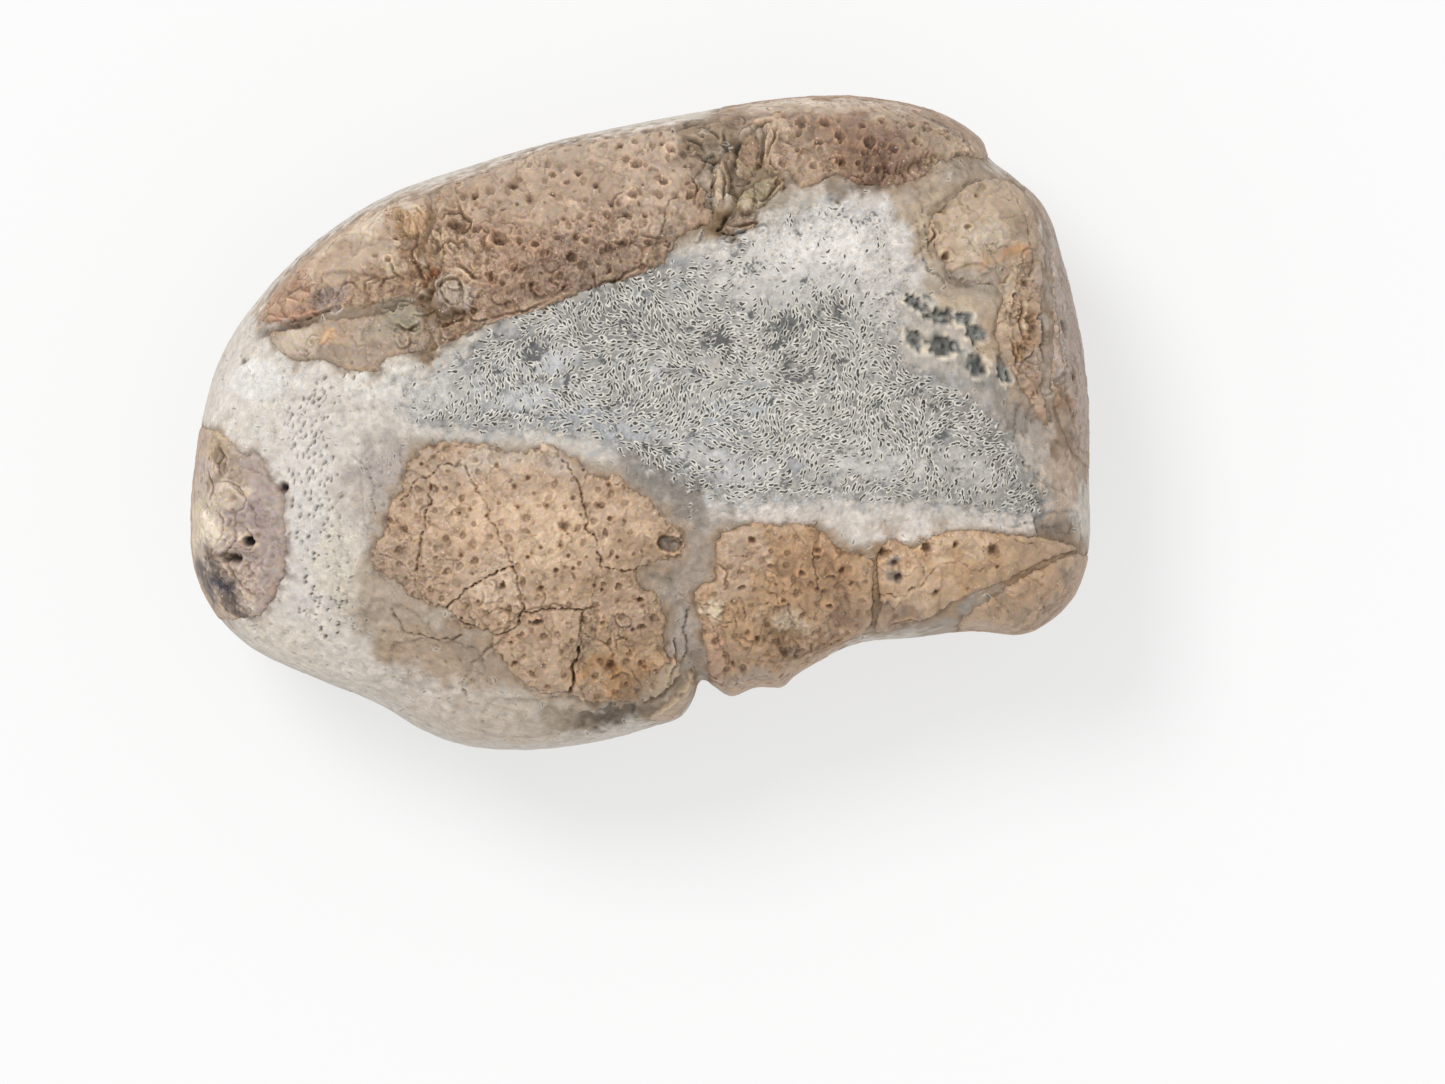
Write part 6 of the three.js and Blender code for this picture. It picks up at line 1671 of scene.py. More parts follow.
def draw_hairlines(box, count):
    """Short bent cracks at random in a box."""
    for x, y in random.uniform(box[:2], box[2:], (count, 2)):
        way, corners = random.uniform(0, 2 * np.pi), [(x, y)]
        for _ in range(3):
            way += random.uniform(-0.7, 0.7)
            x, y = x + 0.45 * np.cos(way), y + 0.45 * np.sin(way)
            corners.append((x, y))
        shell.line(corners, 0.035, 0.1, dark=random.uniform(0.3, 0.8))


def draw_knob():
    """The pale knob at the joint of the first claw's finger, and the rust stain above it."""
    shell.patch(-10.9, 7.7, 0.28, 0.45, 20, (116, 64, 26), strength=0.85, edge=0.3, frayed=0.2)
    shell.patch(*KNOB, 0.55, 0.75, 8, (168, 152, 134), strength=1, edge=0.25, frayed=0.2)
    shell.line(oval(*KNOB, 0.6, 0.8, 8, 100, 300), 0.07, 0.12, dark=0.9, wander=0.05)
    shell.ridge(oval(*KNOB, 0.58, 0.78, 8, -80, 60), 0.07, 0.1, pale=0.8, wander=0.05)


def draw_opening():
    """The filled oval opening in the second palm, with a crack and a pale rim round it."""
    shell.patch(*OPENING, 0.62, 0.4, -8, (150, 134, 118), strength=1, edge=0.15, frayed=0.1)
    shell.mound(*OPENING, 0.6, 0.4, -8, -0.16, edge=0.2)
    shell.line(oval(*OPENING, 0.6, 0.38, -8, 20, 375), 0.06, 0.1, dark=0.95, wander=0.03)
    shell.ridge(oval(*OPENING, 0.76, 0.54, -8, 150, 420), 0.08, 0.08, pale=0.9, wander=0.04)


def draw_leg_marks():
    """The leg's purple-black hole, its slit and the pale ridge across it."""
    shell.patch(*LEG_HOLE, 0.3, 0.26, 60, (52, 40, 46), strength=1, edge=0.2, frayed=0.1)
    shell.mound(*LEG_HOLE, 0.28, 0.24, 60, -0.3, edge=0.2)
    shell.line([(-21.9, -7.2), (-21.5, -7.25), (-21.2, -7.35)], 0.1, 0.3, dark=1.0)
    across = [(-22.6, -7.0), (-21.9, -7.9), (-21.2, -8.7), (-20.3, -9.6)]
    shell.ridge(across, 0.06, 0.1, pale=0.8)


def crumble():
    """Breaks the lower right corner into lumps with painted shade in the gaps between them."""
    crumbled = blank()
    place, share = shell.blotch(21.8, -11.4, 3.4, 1.6, 28, 0.3, 0.3)
    crumbled[place] = share
    lumps, lump_tone, lump_gap = scoops(0.8, 0.5)
    for layers in (shell, stone):
        layers.height += 0.5 * crumbled * lumps
        layers.paint *= 1 + 0.16 * (crumbled * lump_tone)[..., None]
        # Painted shade in the gaps between the lumps.
        layers.dark += 0.5 * crumbled * (1 - smooth_step(lump_gap, 0.0, 0.12))


for group in TUBERCLES:
    draw_tubercles(*group)
for x, y, radius in SHELL_PITS:
    shell.crater(x, y, 1.6 * radius, 0.3, 0.12, stain=0.55)
    shell.pit(x, y, 0.75 * radius, depth=0.8 * radius, rim=0.02, dark=1.0, pale=0.2)
for ring in SHELL_RINGS:
    draw_ring(*ring)
for width, depth, corners in SHELL_CRACKS:
    shell.line(corners, 0.6 * width, depth, dark=random.uniform(0.6, 0.95))
for group in HAIRLINES:
    draw_hairlines(*group)
draw_knob()
draw_opening()
for width, height, pale, wander, corners in SHELL_RIDGES:
    shell.ridge(corners, width, height, pale, wander)
draw_leg_marks()
crumble()

# ---- Meshes ------------------------------------------------------------------------------------------


def corner_normals(points, triangles):
    """The direction straight out at each point of a mesh."""
    a, b, c = (points[triangles[:, k]] for k in range(3))
    facing = np.cross(b - a, c - a)
    total = np.stack([
        np.bincount(triangles.ravel(), np.repeat(facing[:, k], 3), len(points)) for k in range(3)
    ], axis=1)
    return total / np.maximum(np.linalg.norm(total, axis=1), 1e-12)[:, None]


def make_mesh(name, points, triangles, colour, marks):
    """A named object from points in mm, with a colour and float marks on each point."""
    mesh = bpy.data.meshes.new(name)
    mesh.vertices.add(len(points))
    mesh.vertices.foreach_set("co", (points * MM).astype(np.float32).ravel())
    mesh.loops.add(3 * len(triangles))
    mesh.loops.foreach_set("vertex_index", triangles.astype(np.int32).ravel())
    mesh.polygons.add(len(triangles))
    mesh.polygons.foreach_set("loop_start", np.arange(0, 3 * len(triangles), 3, dtype=np.int32))
    mesh.polygons.foreach_set("use_smooth", np.ones(len(triangles), bool))
    mesh.update(calc_edges=True)
    layer = mesh.attributes.new("tint", "FLOAT_COLOR", "POINT")
    tint = np.concatenate([np.clip(colour, 0, 1), np.ones((len(points), 1))], axis=1)
    layer.data.foreach_set("color", tint.astype(np.float32).ravel())
    for mark, values in marks.items():
        layer = mesh.attributes.new(mark, "FLOAT", "POINT")
        layer.data.foreach_set("value", np.asarray(values, np.float32))
    mesh.validate()
    piece = bpy.data.objects.new(name, mesh)
    bpy.context.scene.collection.objects.link(piece)
    return piece


def lattice(outline, spacing):
    """Triangles that fill an outline, with their edge drawn on to it: spots, triangles and the rim."""
    rise = spacing * np.sqrt(3) / 2
    low, high = outline.min(0) - 2 * spacing, outline.max(0) + 2 * spacing
    columns = int((high[0] - low[0]) / spacing) + 2
    rows = int((high[1] - low[1]) / rise) + 2
    row, column = np.divmod(np.arange(rows * columns), columns)
    spots = np.stack([low[0] + (column + 0.5 * (row % 2)) * spacing, low[1] + row * rise], axis=1)
    inside, nearest, along = to_outline(spots, outline)
    corner = np.arange(rows * columns).reshape(rows, columns)
    a, b, c, d = (part.ravel() for part in (
        corner[:-1, :-1], corner[:-1, 1:], corner[1:, :-1], corner[1:, 1:]))
    odd = (a // columns) % 2 == 1
    first = np.where(odd[:, None], np.stack([a, b, d], 1), np.stack([a, b, c], 1))
    second = np.where(odd[:, None], np.stack([a, d, c], 1), np.stack([b, d, c], 1))
    triangles = np.vstack([first, second])
    kept = inside > 0.4 * spacing
    triangles = triangles[kept[triangles].any(axis=1)]
    for _ in range(6):
        edges = np.sort(triangles[:, [0, 1, 1, 2, 2, 0]].reshape(-1, 2), axis=1)
        keys, counts = np.unique(edges[:, 0] * len(spots) + edges[:, 1], return_counts=True)
        open_ends = np.stack(np.divmod(keys[counts == 1], len(spots)), axis=1)
        crowded = np.bincount(open_ends.ravel(), minlength=len(spots)) > 2
        if not crowded.any():
            break
        triangles = triangles[~crowded[triangles].any(axis=1)]
    spots = np.where(kept[:, None], spots, nearest)
    directed = triangles[:, [0, 1, 1, 2, 2, 0]].reshape(-1, 2)
    is_open = np.isin(np.sort(directed, axis=1) @ [len(spots), 1], keys[counts == 1])
    following = dict(directed[is_open].tolist())
    loops = []
    while following:
        start, end = following.popitem()
        loop = [start]
        while end != start:
            loop.append(end)
            end = following.pop(end)
        loops.append(loop)
    rim = max(loops, key=len)
    reached = np.zeros(len(spots), bool)
    reached[rim] = True
    while True:
        touched = reached[triangles].any(axis=1)
        grown = reached.copy()
        grown[triangles[touched]] = True
        if (grown == reached).all():
            break
        reached = grown
    triangles = triangles[reached[triangles].all(axis=1)]
    used = np.unique(triangles)
    renumber = np.zeros(len(spots), int)
    renumber[used] = np.arange(len(used))
    return spots[used], renumber[triangles], renumber[rim], along[rim], np.where(kept, inside, 0)[used]


def zip_rims(upper, lower, upper_along, lower_along, total):
    """Triangles that join two rims round the same outline, by how far round each point is."""

    def from_start(rim, along):
        first = int(np.argmin(along))
        rim, along = np.roll(rim, -first), np.roll(along, -first)
        return np.append(rim, rim[0]), np.append(np.maximum.accumulate(along), along[0] + total)

    upper, upper_along = from_start(upper, upper_along)
    lower, lower_along = from_start(lower, lower_along)
    triangles, i, j = [], 0, 0
    while i < len(upper) - 1 or j < len(lower) - 1:
        lower_next = lower_along[j + 1] if j < len(lower) - 1 else np.inf
        upper_next = upper_along[i + 1] if i < len(upper) - 1 else np.inf
        if upper_next <= lower_next:
            triangles.append((upper[i + 1], upper[i], lower[j]))
            i += 1
        else:
            triangles.append((lower[j], lower[j + 1], upper[i]))
            j += 1
    return np.array(triangles)


def inlay(outline, spacing, depth, height_of):
    """A closed slab that follows the stone along an outline, its face at `height_of` the surface."""
    outline = unrolled(outline)
    upper, faces, rim, along, inside = lattice(outline, spacing)
    lower, under, lower_rim, lower_along, _ = lattice(outline, 5 * spacing)
    upper, lower = rolled(upper), rolled(lower)
    total = np.linalg.norm(np.roll(outline, -1, axis=0) - outline, axis=1).sum()
    place, under_place = surface(upper), surface(lower)
    outward, under_outward = corner_normals(place, faces), corner_normals(under_place, under)
    top = place + outward * height_of(upper, inside)[:, None]
    bottom = under_place - under_outward * depth
    walls = zip_rims(rim, lower_rim + len(top), along, lower_along, total)
    triangles = np.vstack([faces, under[:, ::-1] + len(top), walls])
    chart = np.vstack([upper, lower])
    return np.vstack([top, bottom]), triangles, chart, np.append(inside, 0 * lower[:, 0])


# ---- The plates of shell -----------------------------------------------------------------------------

PROUD = 0.13  # how far a plate's face stands above the stone
EDGE_DROP = 0.16  # how far its worn edge dips below the stone
PLATE_DEPTH = 0.95  # from the stone's surface down to a plate's underside
SOCKET_DEPTH = 1.15  # of the stone's hollow under a plate
PLATE_STEP = 0.062  # spacing of the points on a plate's face
COARSER = {"side_plate": 1.5, "leg_section": 1.3, "second_arm_fragment": 1.4}
HIGHER = {"second_palm": 1.4, "claw_palm": 1.2, "wrist_oval": 1.5, "shell_chip": 1.3}

purple = noise(0.25, 1.2)
rust = noise(0.15, 0.9)
BRIGHTNESS = 1 / 1.2  # a level surface gets 1.2 times the light that shows white as white
# Colours that the dark and pale marks blend towards; these marks hold painted shade and painted highlights
# as well as dark and pale colour.
SHELL_DARK, SHELL_PALE = (104, 76, 50), (236, 216, 188)
STONE_DARK, STONE_PALE = (92, 78, 63), (238, 232, 222)


def cavities(layers):
    """How far each spot stands above the ground round it, at two scales, from about -1.5 to 1.5."""
    broad = layers.height - through(layers.height, np.exp(-((wave * 1.1) ** 2)))
    close = layers.height - through(layers.height, np.exp(-((wave * 0.35) ** 2)))
    return (np.tanh(broad / 0.1) + 0.5 * np.tanh(close / 0.05)).astype(np.float32)


# How high each spot stands above its ground, which sets the painted shade in the lows and the painted
# highlights on the highs.
shell_lift, stone_lift = cavities(shell), cavities(stone)


def shaded(layers, lift, chart, dark_colour, pale_colour, contrast, sunk):
    """The colour of spots on the chart: paint, darker in the lows as painted shade and lighter on the highs
    as painted highlights.
    """
    paint = read(layers.paint, chart)
    lift = read(lift, chart)
    # Painted shade in the lows and painted highlights on the highs; `sunk` adds more painted shade in the
    # deepest lows.
    paint = paint * np.clip(1 + contrast * lift, 0.4, 1.7)[:, None]
    dark = np.clip(read(layers.dark, chart) + sunk * smooth_step(-lift, 0.7, 1.4), 0, 1)
    # The dark marks carry painted shade and the pale marks painted highlights, besides dark and pale colour.
    pale = np.clip(read(layers.pale, chart), 0, 1)
    paint = blend(paint, np.minimum(paint * 1.5, linear(pale_colour)), 0.85 * pale[:, None])
    return blend(paint, paint * linear(dark_colour) / linear(SHELL_GROUND), dark[:, None])


def shell_colour(chart, inside):
    """The shell's colour at spots on the chart, with painted shade along a plate's edge, where it dips below
    the stone.
    """
    chart = unrolled(chart)
    paint = 1.12 * shaded(shell, shell_lift, chart, SHELL_DARK, SHELL_PALE, 0.16, 0.14)
    hue = 0.04 * read(purple, chart)[:, None] * np.array([0.4, -0.3, 0.9])
    hue = hue + 0.06 * read(rust, chart)[:, None] * np.array([0.6, 0.1, -1.0])
    # Painted shade along the plate's edge, patchy along it.
    edge = smooth_step(inside, 0.0, 0.16) + smooth_step(read(sway, chart), -0.6, 1.0)
    return BRIGHTNESS * paint * (1 + hue) * blend(0.78, 1, np.minimum(edge, 1))[:, None]


def level_share(chart):
    """1 on the stone's upper face, and less where it turns down its flanks, which are worn smooth."""
    angle = np.arctan2(chart[:, 1], chart[:, 0])
    reach = np.hypot(chart[:, 0], chart[:, 1]) / on_ring(sharp_rim, angle)
    return 1 - 0.7 * smooth_step(reach, 0.9, 1.0)


def plate(name):
    """One plate of shell, let into the stone, with its worn rim just below the stone's surface."""
    outline = outlines[name]
    proud = PROUD * HIGHER.get(name, 1)

    def height_of(chart, inside):
        look = unrolled(chart)
        uneven = (0.08 + 0.2 * read(shell.rough, look)) * read(crag, look)
        rise = proud * smooth_step(inside, 0, 0.32) * (1 + uneven)
        marks = read(shell.height, look) * smooth_step(inside, 0, 0.12)
        round_off = EDGE_DROP * (1 - smooth_step(inside, 0, 0.13))
        return level_share(chart) * (rise + marks) - round_off

    step = PLATE_STEP * COARSER.get(name, 1)
    points, triangles, chart, inside = inlay(outline, step, PLATE_DEPTH, height_of)
    piece = make_mesh(name + "_shell", points, triangles, shell_colour(chart, inside), {
        "dark": read(shell.dark, unrolled(chart)),
        "rough": read(shell.rough, unrolled(chart)),
        "tubes": np.zeros(len(chart)),
    })
    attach(piece, "root")
    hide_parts(name)
    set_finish(piece, SLOTS[name])
    return piece


# ---- The stone and its core --------------------------------------------------------------------------

CROWDED = 0.14  # length of an edge where the stone's marks are finest
CORE_STEP = 0.066  # spacing of the points on the core's face
CORE_DEPTH = 0.65  # from the stone's surface down to the core's underside
CORE_SINK = 0.7  # how far the coarse stone lies below its surface under the core
GRID = 23  # values along each side of a noise in space, before it repeats
SIDE_TONE, SIDE_PALE, SIDE_DARK = (186, 173, 160), (206, 197, 186), (150, 140, 132)
SIDE_BLUISH = (128, 128, 130)
marked = stone.dark**2 + 0.5 * stone.pale**2
marked = through(marked, np.exp(-((wave * 0.7) ** 2)))
plainness = (1 - smooth_step(marked, 0.0, 0.05)).astype(np.float32)
core_near = smooth_step(core_cover, -1.2, -0.4)


def solid_noise(points, lump):
    """Noise in space, with lumps of about one length."""
    grid = random.standard_normal((GRID, GRID, GRID))
    cell = np.floor(points / lump).astype(int)
    share = smooth_step(points / lump - cell, 0, 1)
    total = np.zeros(len(points))
    for corner in np.ndindex(2, 2, 2):
        weight = np.prod(np.where(corner, share, 1 - share), axis=1)
        total += weight * grid[tuple(((cell + corner) % GRID).T)]
    return 1.7 * total


def stone_height(chart):
    """Relief of the stone's face: its sheets, a groove round each plate and a hollow under it."""
    cover = read(plate_cover, chart)
    socket = smooth_step(cover, 0.06, 0.4)
    groove = np.exp(-(((cover + 0.02) / 0.08) ** 2)) * smooth_step(read(sway, unrolled(chart)), -0.8, 0.8)
    face = level_share(chart) * (read(stone.height, unrolled(chart)) - 0.08 * groove)
    return (1 - socket) * face - SOCKET_DEPTH * socket


def stone_colour(chart):
    """The stone's colour at spots on the chart: stained beside a plate, with a painted shadow along the
    plate's edge.
    """
    look = unrolled(chart)
    paint = 1.05 * shaded(stone, stone_lift, look, STONE_DARK, STONE_PALE, 0.12, 0.3)
    hue = 0.035 * read(rust, look)[:, None] * np.array([0.8, 0.1, -0.9])
    cover = read(plate_cover, chart)
    stained = smooth_step(cover + 0.3 * read(sway, look), -0.45, 0.1) * (1 - read(core_near, chart))
    paint = blend(paint, read(shell.paint, look), 0.6 * stained[:, None])
    # Painted shadow where the stone meets a plate.
    contact_shadow = np.exp(-(((cover + 0.02) / 0.09) ** 2)) * smooth_step(read(sway, look), -0.6, 1.0)
    return BRIGHTNESS * paint * (1 + hue) * (1 - 0.4 * contact_shadow)[:, None]


def split(directions, triangles, wanted):
    """Cuts each edge longer than wanted in two, and the triangles beside it to match."""
    places, chart = stone_place(*to_angles(directions))
    edges = np.sort(triangles[:, [0, 1, 1, 2, 2, 0]].reshape(-1, 2), axis=1)
    keys, which = np.unique(edges[:, 0] * len(directions) + edges[:, 1], return_inverse=True)
    first, second = np.divmod(keys, len(directions))
    middles = directions[first] + directions[second]
    middles /= np.linalg.norm(middles, axis=1)[:, None]
    size = wanted(directions)
    finest = np.minimum(np.minimum(size[first], size[second]), wanted(middles))
    lengths = np.linalg.norm(places[first] - places[second], axis=1)
    cut = lengths > finest
    which = which.reshape(-1, 3)
    longest = which[np.arange(len(which)), lengths[which].argmax(axis=1)]
    for _ in range(20):
        more = longest[cut[which].any(axis=1)]
        if cut[more].all():
            break
        cut[more] = True
    number = np.where(cut, len(directions) + np.cumsum(cut) - 1, -1)[which]
    for side in (0, 1):  # turn each triangle so that its cut edges come first
        turn = (number[:, 0] < 0) | ((number[:, 2] >= 0) & (number[:, 1] < 0))
        triangles = np.where(turn[:, None], np.roll(triangles, -1, axis=1), triangles)
        number = np.where(turn[:, None], np.roll(number, -1, axis=1), number)
    a, b, c = triangles.T
    ab, bc, ca = number.T
    count = (number >= 0).sum(axis=1)
    parts = [triangles[count == 0]]
    for cuts, templates in (
        (1, ((a, ab, c), (ab, b, c))),
        (2, ((ab, b, bc), (a, ab, bc), (a, bc, c))),
        (3, ((a, ab, ca), (ab, b, bc), (ca, bc, c), (ab, bc, ca))),
    ):
        parts += [np.stack(template, axis=1)[count == cuts] for template in templates]
    return np.vstack([directions, middles[cut]]), np.vstack(parts)


def to_angles(directions):
    """The angle and the tilt of directions from the stone's middle."""
    angle = np.arctan2(directions[:, 1], directions[:, 0])
    return angle, np.arccos(np.clip(directions[:, 2], -1, 1))


def wanted_edge(directions):
    """How long the stone's edges may be: short where its face shows, long below and under plates."""
    angle, tilt = to_angles(directions)
    _, chart = stone_place(angle, tilt)
    hidden = np.maximum(read(plate_cover, chart), read(core_cover, chart) - 0.1)
    below = smooth_step(tilt, 0.5 * np.pi, 0.64 * np.pi)
    flank = smooth_step(tilt, 0.44 * np.pi, 0.5 * np.pi)
    plain_share = np.maximum(read(plainness, chart), flank)
    edge = CROWDED + 0.12 * plain_share + np.clip(1.2 * (hidden - 0.35), 0, 0.6)
    return edge + 0.14 * flank + 0.36 * below


def side_colour(places, height):
    """The colour of the stone's flanks and underside: putty, with grey and bluish stains."""
    drift = solid_noise(places, 7) + 0.5 * solid_noise(places, 2.5)
    speckle = 0.5 * solid_noise(places, 0.9) + 0.5 * solid_noise(places, 0.45)
    colour = blend(linear(SIDE_TONE), linear(SIDE_PALE), smooth_step(drift, -0.2, 1.4)[:, None])
    colour = blend(colour, linear(SIDE_DARK), 0.7 * smooth_step(-drift, 0.5, 1.8)[:, None])
    bluish = smooth_step(solid_noise(places + 40, 5), 0.9, 1.8) * smooth_step(-places[:, 0], 8, 16)
    colour = blend(colour, linear(SIDE_BLUISH), 0.7 * bluish[:, None])
    return BRIGHTNESS * colour * np.clip(1 + 0.09 * speckle + 0.25 * height, 0.6, 1.3)[:, None]


def build_stone():
    """The whole stone, with a hollow under each plate and under the core."""
    ball = bmesh.new()
    bmesh.ops.create_icosphere(ball, subdivisions=5, radius=1)
    directions = np.array([vertex.co[:] for vertex in ball.verts])
    triangles = np.array([[vertex.index for vertex in face.verts] for face in ball.faces])
    ball.free()
    directions /= np.linalg.norm(directions, axis=1)[:, None]
    for _ in range(7):
        count = len(directions)
        directions, triangles = split(directions, triangles, wanted_edge)
        if len(directions) == count:
            break
    angle, tilt = to_angles(directions)
    places, chart = stone_place(angle, tilt)
    outward = corner_normals(places, triangles)
    flank = smooth_step(tilt, 1.62, 1.9)
    core = smooth_step(read(core_cover, chart), 0.1, 0.4)
    lumps = solid_noise(places, 2.6) + 0.6 * solid_noise(places, 1.2) + 0.35 * solid_noise(places, 0.5)
    side = 0.08 * lumps - 0.06
    height = blend(stone_height(chart), side, flank)
    height = blend(height, -CORE_SINK, core * (1 - flank))
    points = places + outward * height[:, None]
    points[:, 2] = np.maximum(points[:, 2], 0)
    on_side = smooth_step(tilt, 1.56, 1.8)[:, None]
    colour = blend(stone_colour(chart), side_colour(places, height), on_side)
    piece = make_mesh("nodule_stone", points, triangles, colour, {
        "dark": read(stone.dark, unrolled(chart)) * (1 - flank),
        "rough": blend(read(stone.rough, unrolled(chart)), 0.4, flank),
        "tubes": read(tubes, chart),
    })
    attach(piece, "root")
    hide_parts("nodule_matrix")
    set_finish(piece, "nodule")
    return piece


def build_core():
    """The wormy grey core, in finer mesh than the rest of the stone and level with it."""

    def height_of(chart, inside):
        return stone_height(chart) - 0.15 * (1 - smooth_step(inside, 0, 0.12))

    points, triangles, chart, _ = inlay(core_outline, CORE_STEP, CORE_DEPTH, height_of)
    piece = make_mesh("nodule_core", points, triangles, stone_colour(chart), {
        "dark": read(stone.dark, chart),
        "rough": read(stone.rough, chart),
        "tubes": read(tubes, chart),
    })
    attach(piece, "root")
    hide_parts("nodule_matrix")
    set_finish(piece, "nodule")
    return piece


# ---- Materials ----------------------------------------------------------------------------------------

TUBE_WIDTH, TUBE_LENGTH = 0.043, 0.12  # half the bore of a tube's cut end, in mm
CRYSTAL = (0.78, 0.68, 0.55, 1)
# A tube's open bore is painted near black as the shade inside it.
TUBE_WALL, TUBE_BORE = (0.68, 0.65, 0.58, 1), (0.05, 0.045, 0.04, 1)


class Graph:
    """A node material under construction, with its coordinates in millimetres."""

    def __init__(self, name):
        self.material = bpy.data.materials.new(name)
        self.material.use_nodes = True
        self.nodes, self.links = self.material.node_tree.nodes, self.material.node_tree.links
        self.shader = self.nodes["Principled BSDF"]
        self.place = self.vector("SCALE", self.add("ShaderNodeTexCoord").outputs["Object"], scale=1 / MM)

    def add(self, kind, **values):
        """A new node with some settings."""
        made = self.nodes.new(kind)
        for key, value in values.items():
            setattr(made, key, value)
        return made

    def plug(self, source, socket):
        """Feeds a socket from a number, a tuple or another node."""
        if isinstance(source, (int, float, tuple)):
            socket.default_value = source
        else:
            self.links.new(source, socket)

    def vector(self, operation, first, second=None, scale=None):
        """One step of sums with vectors."""
        made = self.add("ShaderNodeVectorMath", operation=operation)
        self.plug(first, made.inputs[0])
        if second is not None:
            self.plug(second, made.inputs[1])
        if scale is not None:
            self.plug(scale, made.inputs["Scale"])
        return made.outputs["Value" if operation == "LENGTH" else "Vector"]

    def sums(self, operation, first, second, third=0.0):
        """One step of sums with numbers."""
        made = self.add("ShaderNodeMath", operation=operation)
        for socket, source in zip(made.inputs, (first, second, third)):
            self.plug(source, socket)
        return made.outputs["Value"]

    def span(self, source, low, high, new_low=0.0, new_high=1.0):
        """Maps one range smoothly on to another."""
        made = self.add("ShaderNodeMapRange", interpolation_type="SMOOTHSTEP")
        for key, value in (("From Min", low), ("From Max", high), ("To Min", new_low), ("To Max", new_high)):
            self.plug(value, made.inputs[key])
        self.plug(source, made.inputs["Value"])
        return made.outputs["Result"]

    def noise(self, size, detail=3, roughness=0.6, distortion=0.0, place=None):
        """Noise with lumps of about a size."""
        made = self.add("ShaderNodeTexNoise")
        for key, value in (("Scale", 1 / size), ("Detail", detail), ("Roughness", roughness)):
            made.inputs[key].default_value = value
        made.inputs["Distortion"].default_value = distortion
        self.links.new(place or self.place, made.inputs["Vector"])
        return made

    def cells(self, size, place=None, flat=False):
        """Cells of about a size, in space or on the level."""
        made = self.add("ShaderNodeTexVoronoi", voronoi_dimensions="2D" if flat else "3D")
        made.inputs["Scale"].default_value = 1 / size
        self.links.new(place or self.place, made.inputs["Vector"])
        return made

    def mark(self, name):
        """A value that the mesh carries on its points."""
        return self.add("ShaderNodeAttribute", attribute_name=name)

    def mix(self, share, first, second):
        """A blend of two colours."""
        made = self.add("ShaderNodeMix", data_type="RGBA")
        self.plug(share, made.inputs["Factor"])
        self.plug(first, made.inputs[6])
        self.plug(second, made.inputs[7])
        return made.outputs[2]

    def finish(self, colour, roughness, height, bump, depth):
        """Joins the finished colour, roughness and height to the shader."""
        self.links.new(colour, self.shader.inputs["Base Color"])
        self.links.new(roughness, self.shader.inputs["Roughness"])
        made = self.add("ShaderNodeBump")
        made.inputs["Strength"].default_value = bump
        made.inputs["Distance"].default_value = depth * MM
        self.links.new(height, made.inputs["Height"])
        self.links.new(made.outputs["Normal"], self.shader.inputs["Normal"])
        return self.material


def shell_material(name, contrast, wrinkle, gloss, fleck):
    """Shell: smooth skin with hairline edges of flakes, and where it is rough more and stronger ones."""
    graph = Graph(name)
    graph.shader.inputs["Specular IOR Level"].default_value = gloss
    shift = graph.vector("SUBTRACT", graph.noise(0.5, 2).outputs["Color"], (0.5, 0.5, 0.5))
    moved = graph.vector("ADD", graph.place, graph.vector("SCALE", shift, scale=0.6))
    grain = graph.span(graph.mark("rough").outputs["Fac"], 0.0, 1.0, 0.6, 1.1)
    fine = graph.noise(0.22, 2, 0.5, 0.6, moved).outputs["Fac"]
    broad = graph.noise(0.8, 2, 0.5, 1.0).outputs["Fac"]
    kept = graph.span(graph.noise(1.1, 1).outputs["Fac"], 0.46, 0.6)
    shade = graph.span(fine, 0.3, 0.7, -contrast, contrast)
    height = graph.sums("MULTIPLY", fine, 0.15)
    # Each flake edge gets a dark line in its step as painted shade and a pale lip on its upper side as a
    # painted highlight.
    for size, strength in ((0.9, 1.0), (0.42, 0.45)):
        edge = graph.sums("SUBTRACT", graph.noise(size, 1, 0.5, 1.2, moved).outputs["Fac"], 0.5)
        crack = graph.span(graph.sums("ABSOLUTE", edge, 0.0), 0.0, 0.024 / size**0.5, 1.0, 0.0)
        lip = graph.sums("SUBTRACT", edge, 0.045 / size**0.5)
        lip = graph.span(graph.sums("ABSOLUTE", lip, 0.0), 0.0, 0.03 / size**0.5, 1.0, 0.0)
        crack, lip = graph.sums("MULTIPLY", crack, kept), graph.sums("MULTIPLY", lip, kept)
        shade = graph.sums("MULTIPLY_ADD", crack, -0.4 * strength, shade)
        shade = graph.sums("MULTIPLY_ADD", lip, 0.26 * strength, shade)
        height = graph.sums("MULTIPLY_ADD", crack, -0.8 * strength, height)
        height = graph.sums("MULTIPLY_ADD", graph.span(edge, -0.02, 0.02), 0.5 * strength**3, height)
    shade = graph.sums("MULTIPLY_ADD", shade, grain, graph.span(broad, 0.35, 0.65, 0.95, 1.05))
    tint = graph.vector("SCALE", graph.mark("tint").outputs["Color"], scale=shade)
    crystals = graph.cells(0.2)
    chance = graph.add("ShaderNodeSeparateColor")
    graph.links.new(crystals.outputs["Color"], chance.inputs["Color"])
    bright = graph.span(chance.outputs["Red"], 1 - fleck, 1 - 0.7 * fleck)
    bright = graph.sums("MULTIPLY", bright, graph.span(crystals.outputs["Distance"], 0.15, 0.3, 1.0, 0.0))
    colour = graph.mix(graph.sums("MULTIPLY", bright, 0.6), tint, CRYSTAL)
    roughness = graph.span(broad, 0.3, 0.7, 0.4, 0.6)
    roughness = graph.sums("MULTIPLY_ADD", bright, -0.2, roughness)
    roughness = graph.sums("MULTIPLY_ADD", graph.mark("dark").outputs["Fac"], 0.15, roughness)
    return graph.finish(colour, roughness, graph.sums("MULTIPLY", height, grain), wrinkle, 0.05)


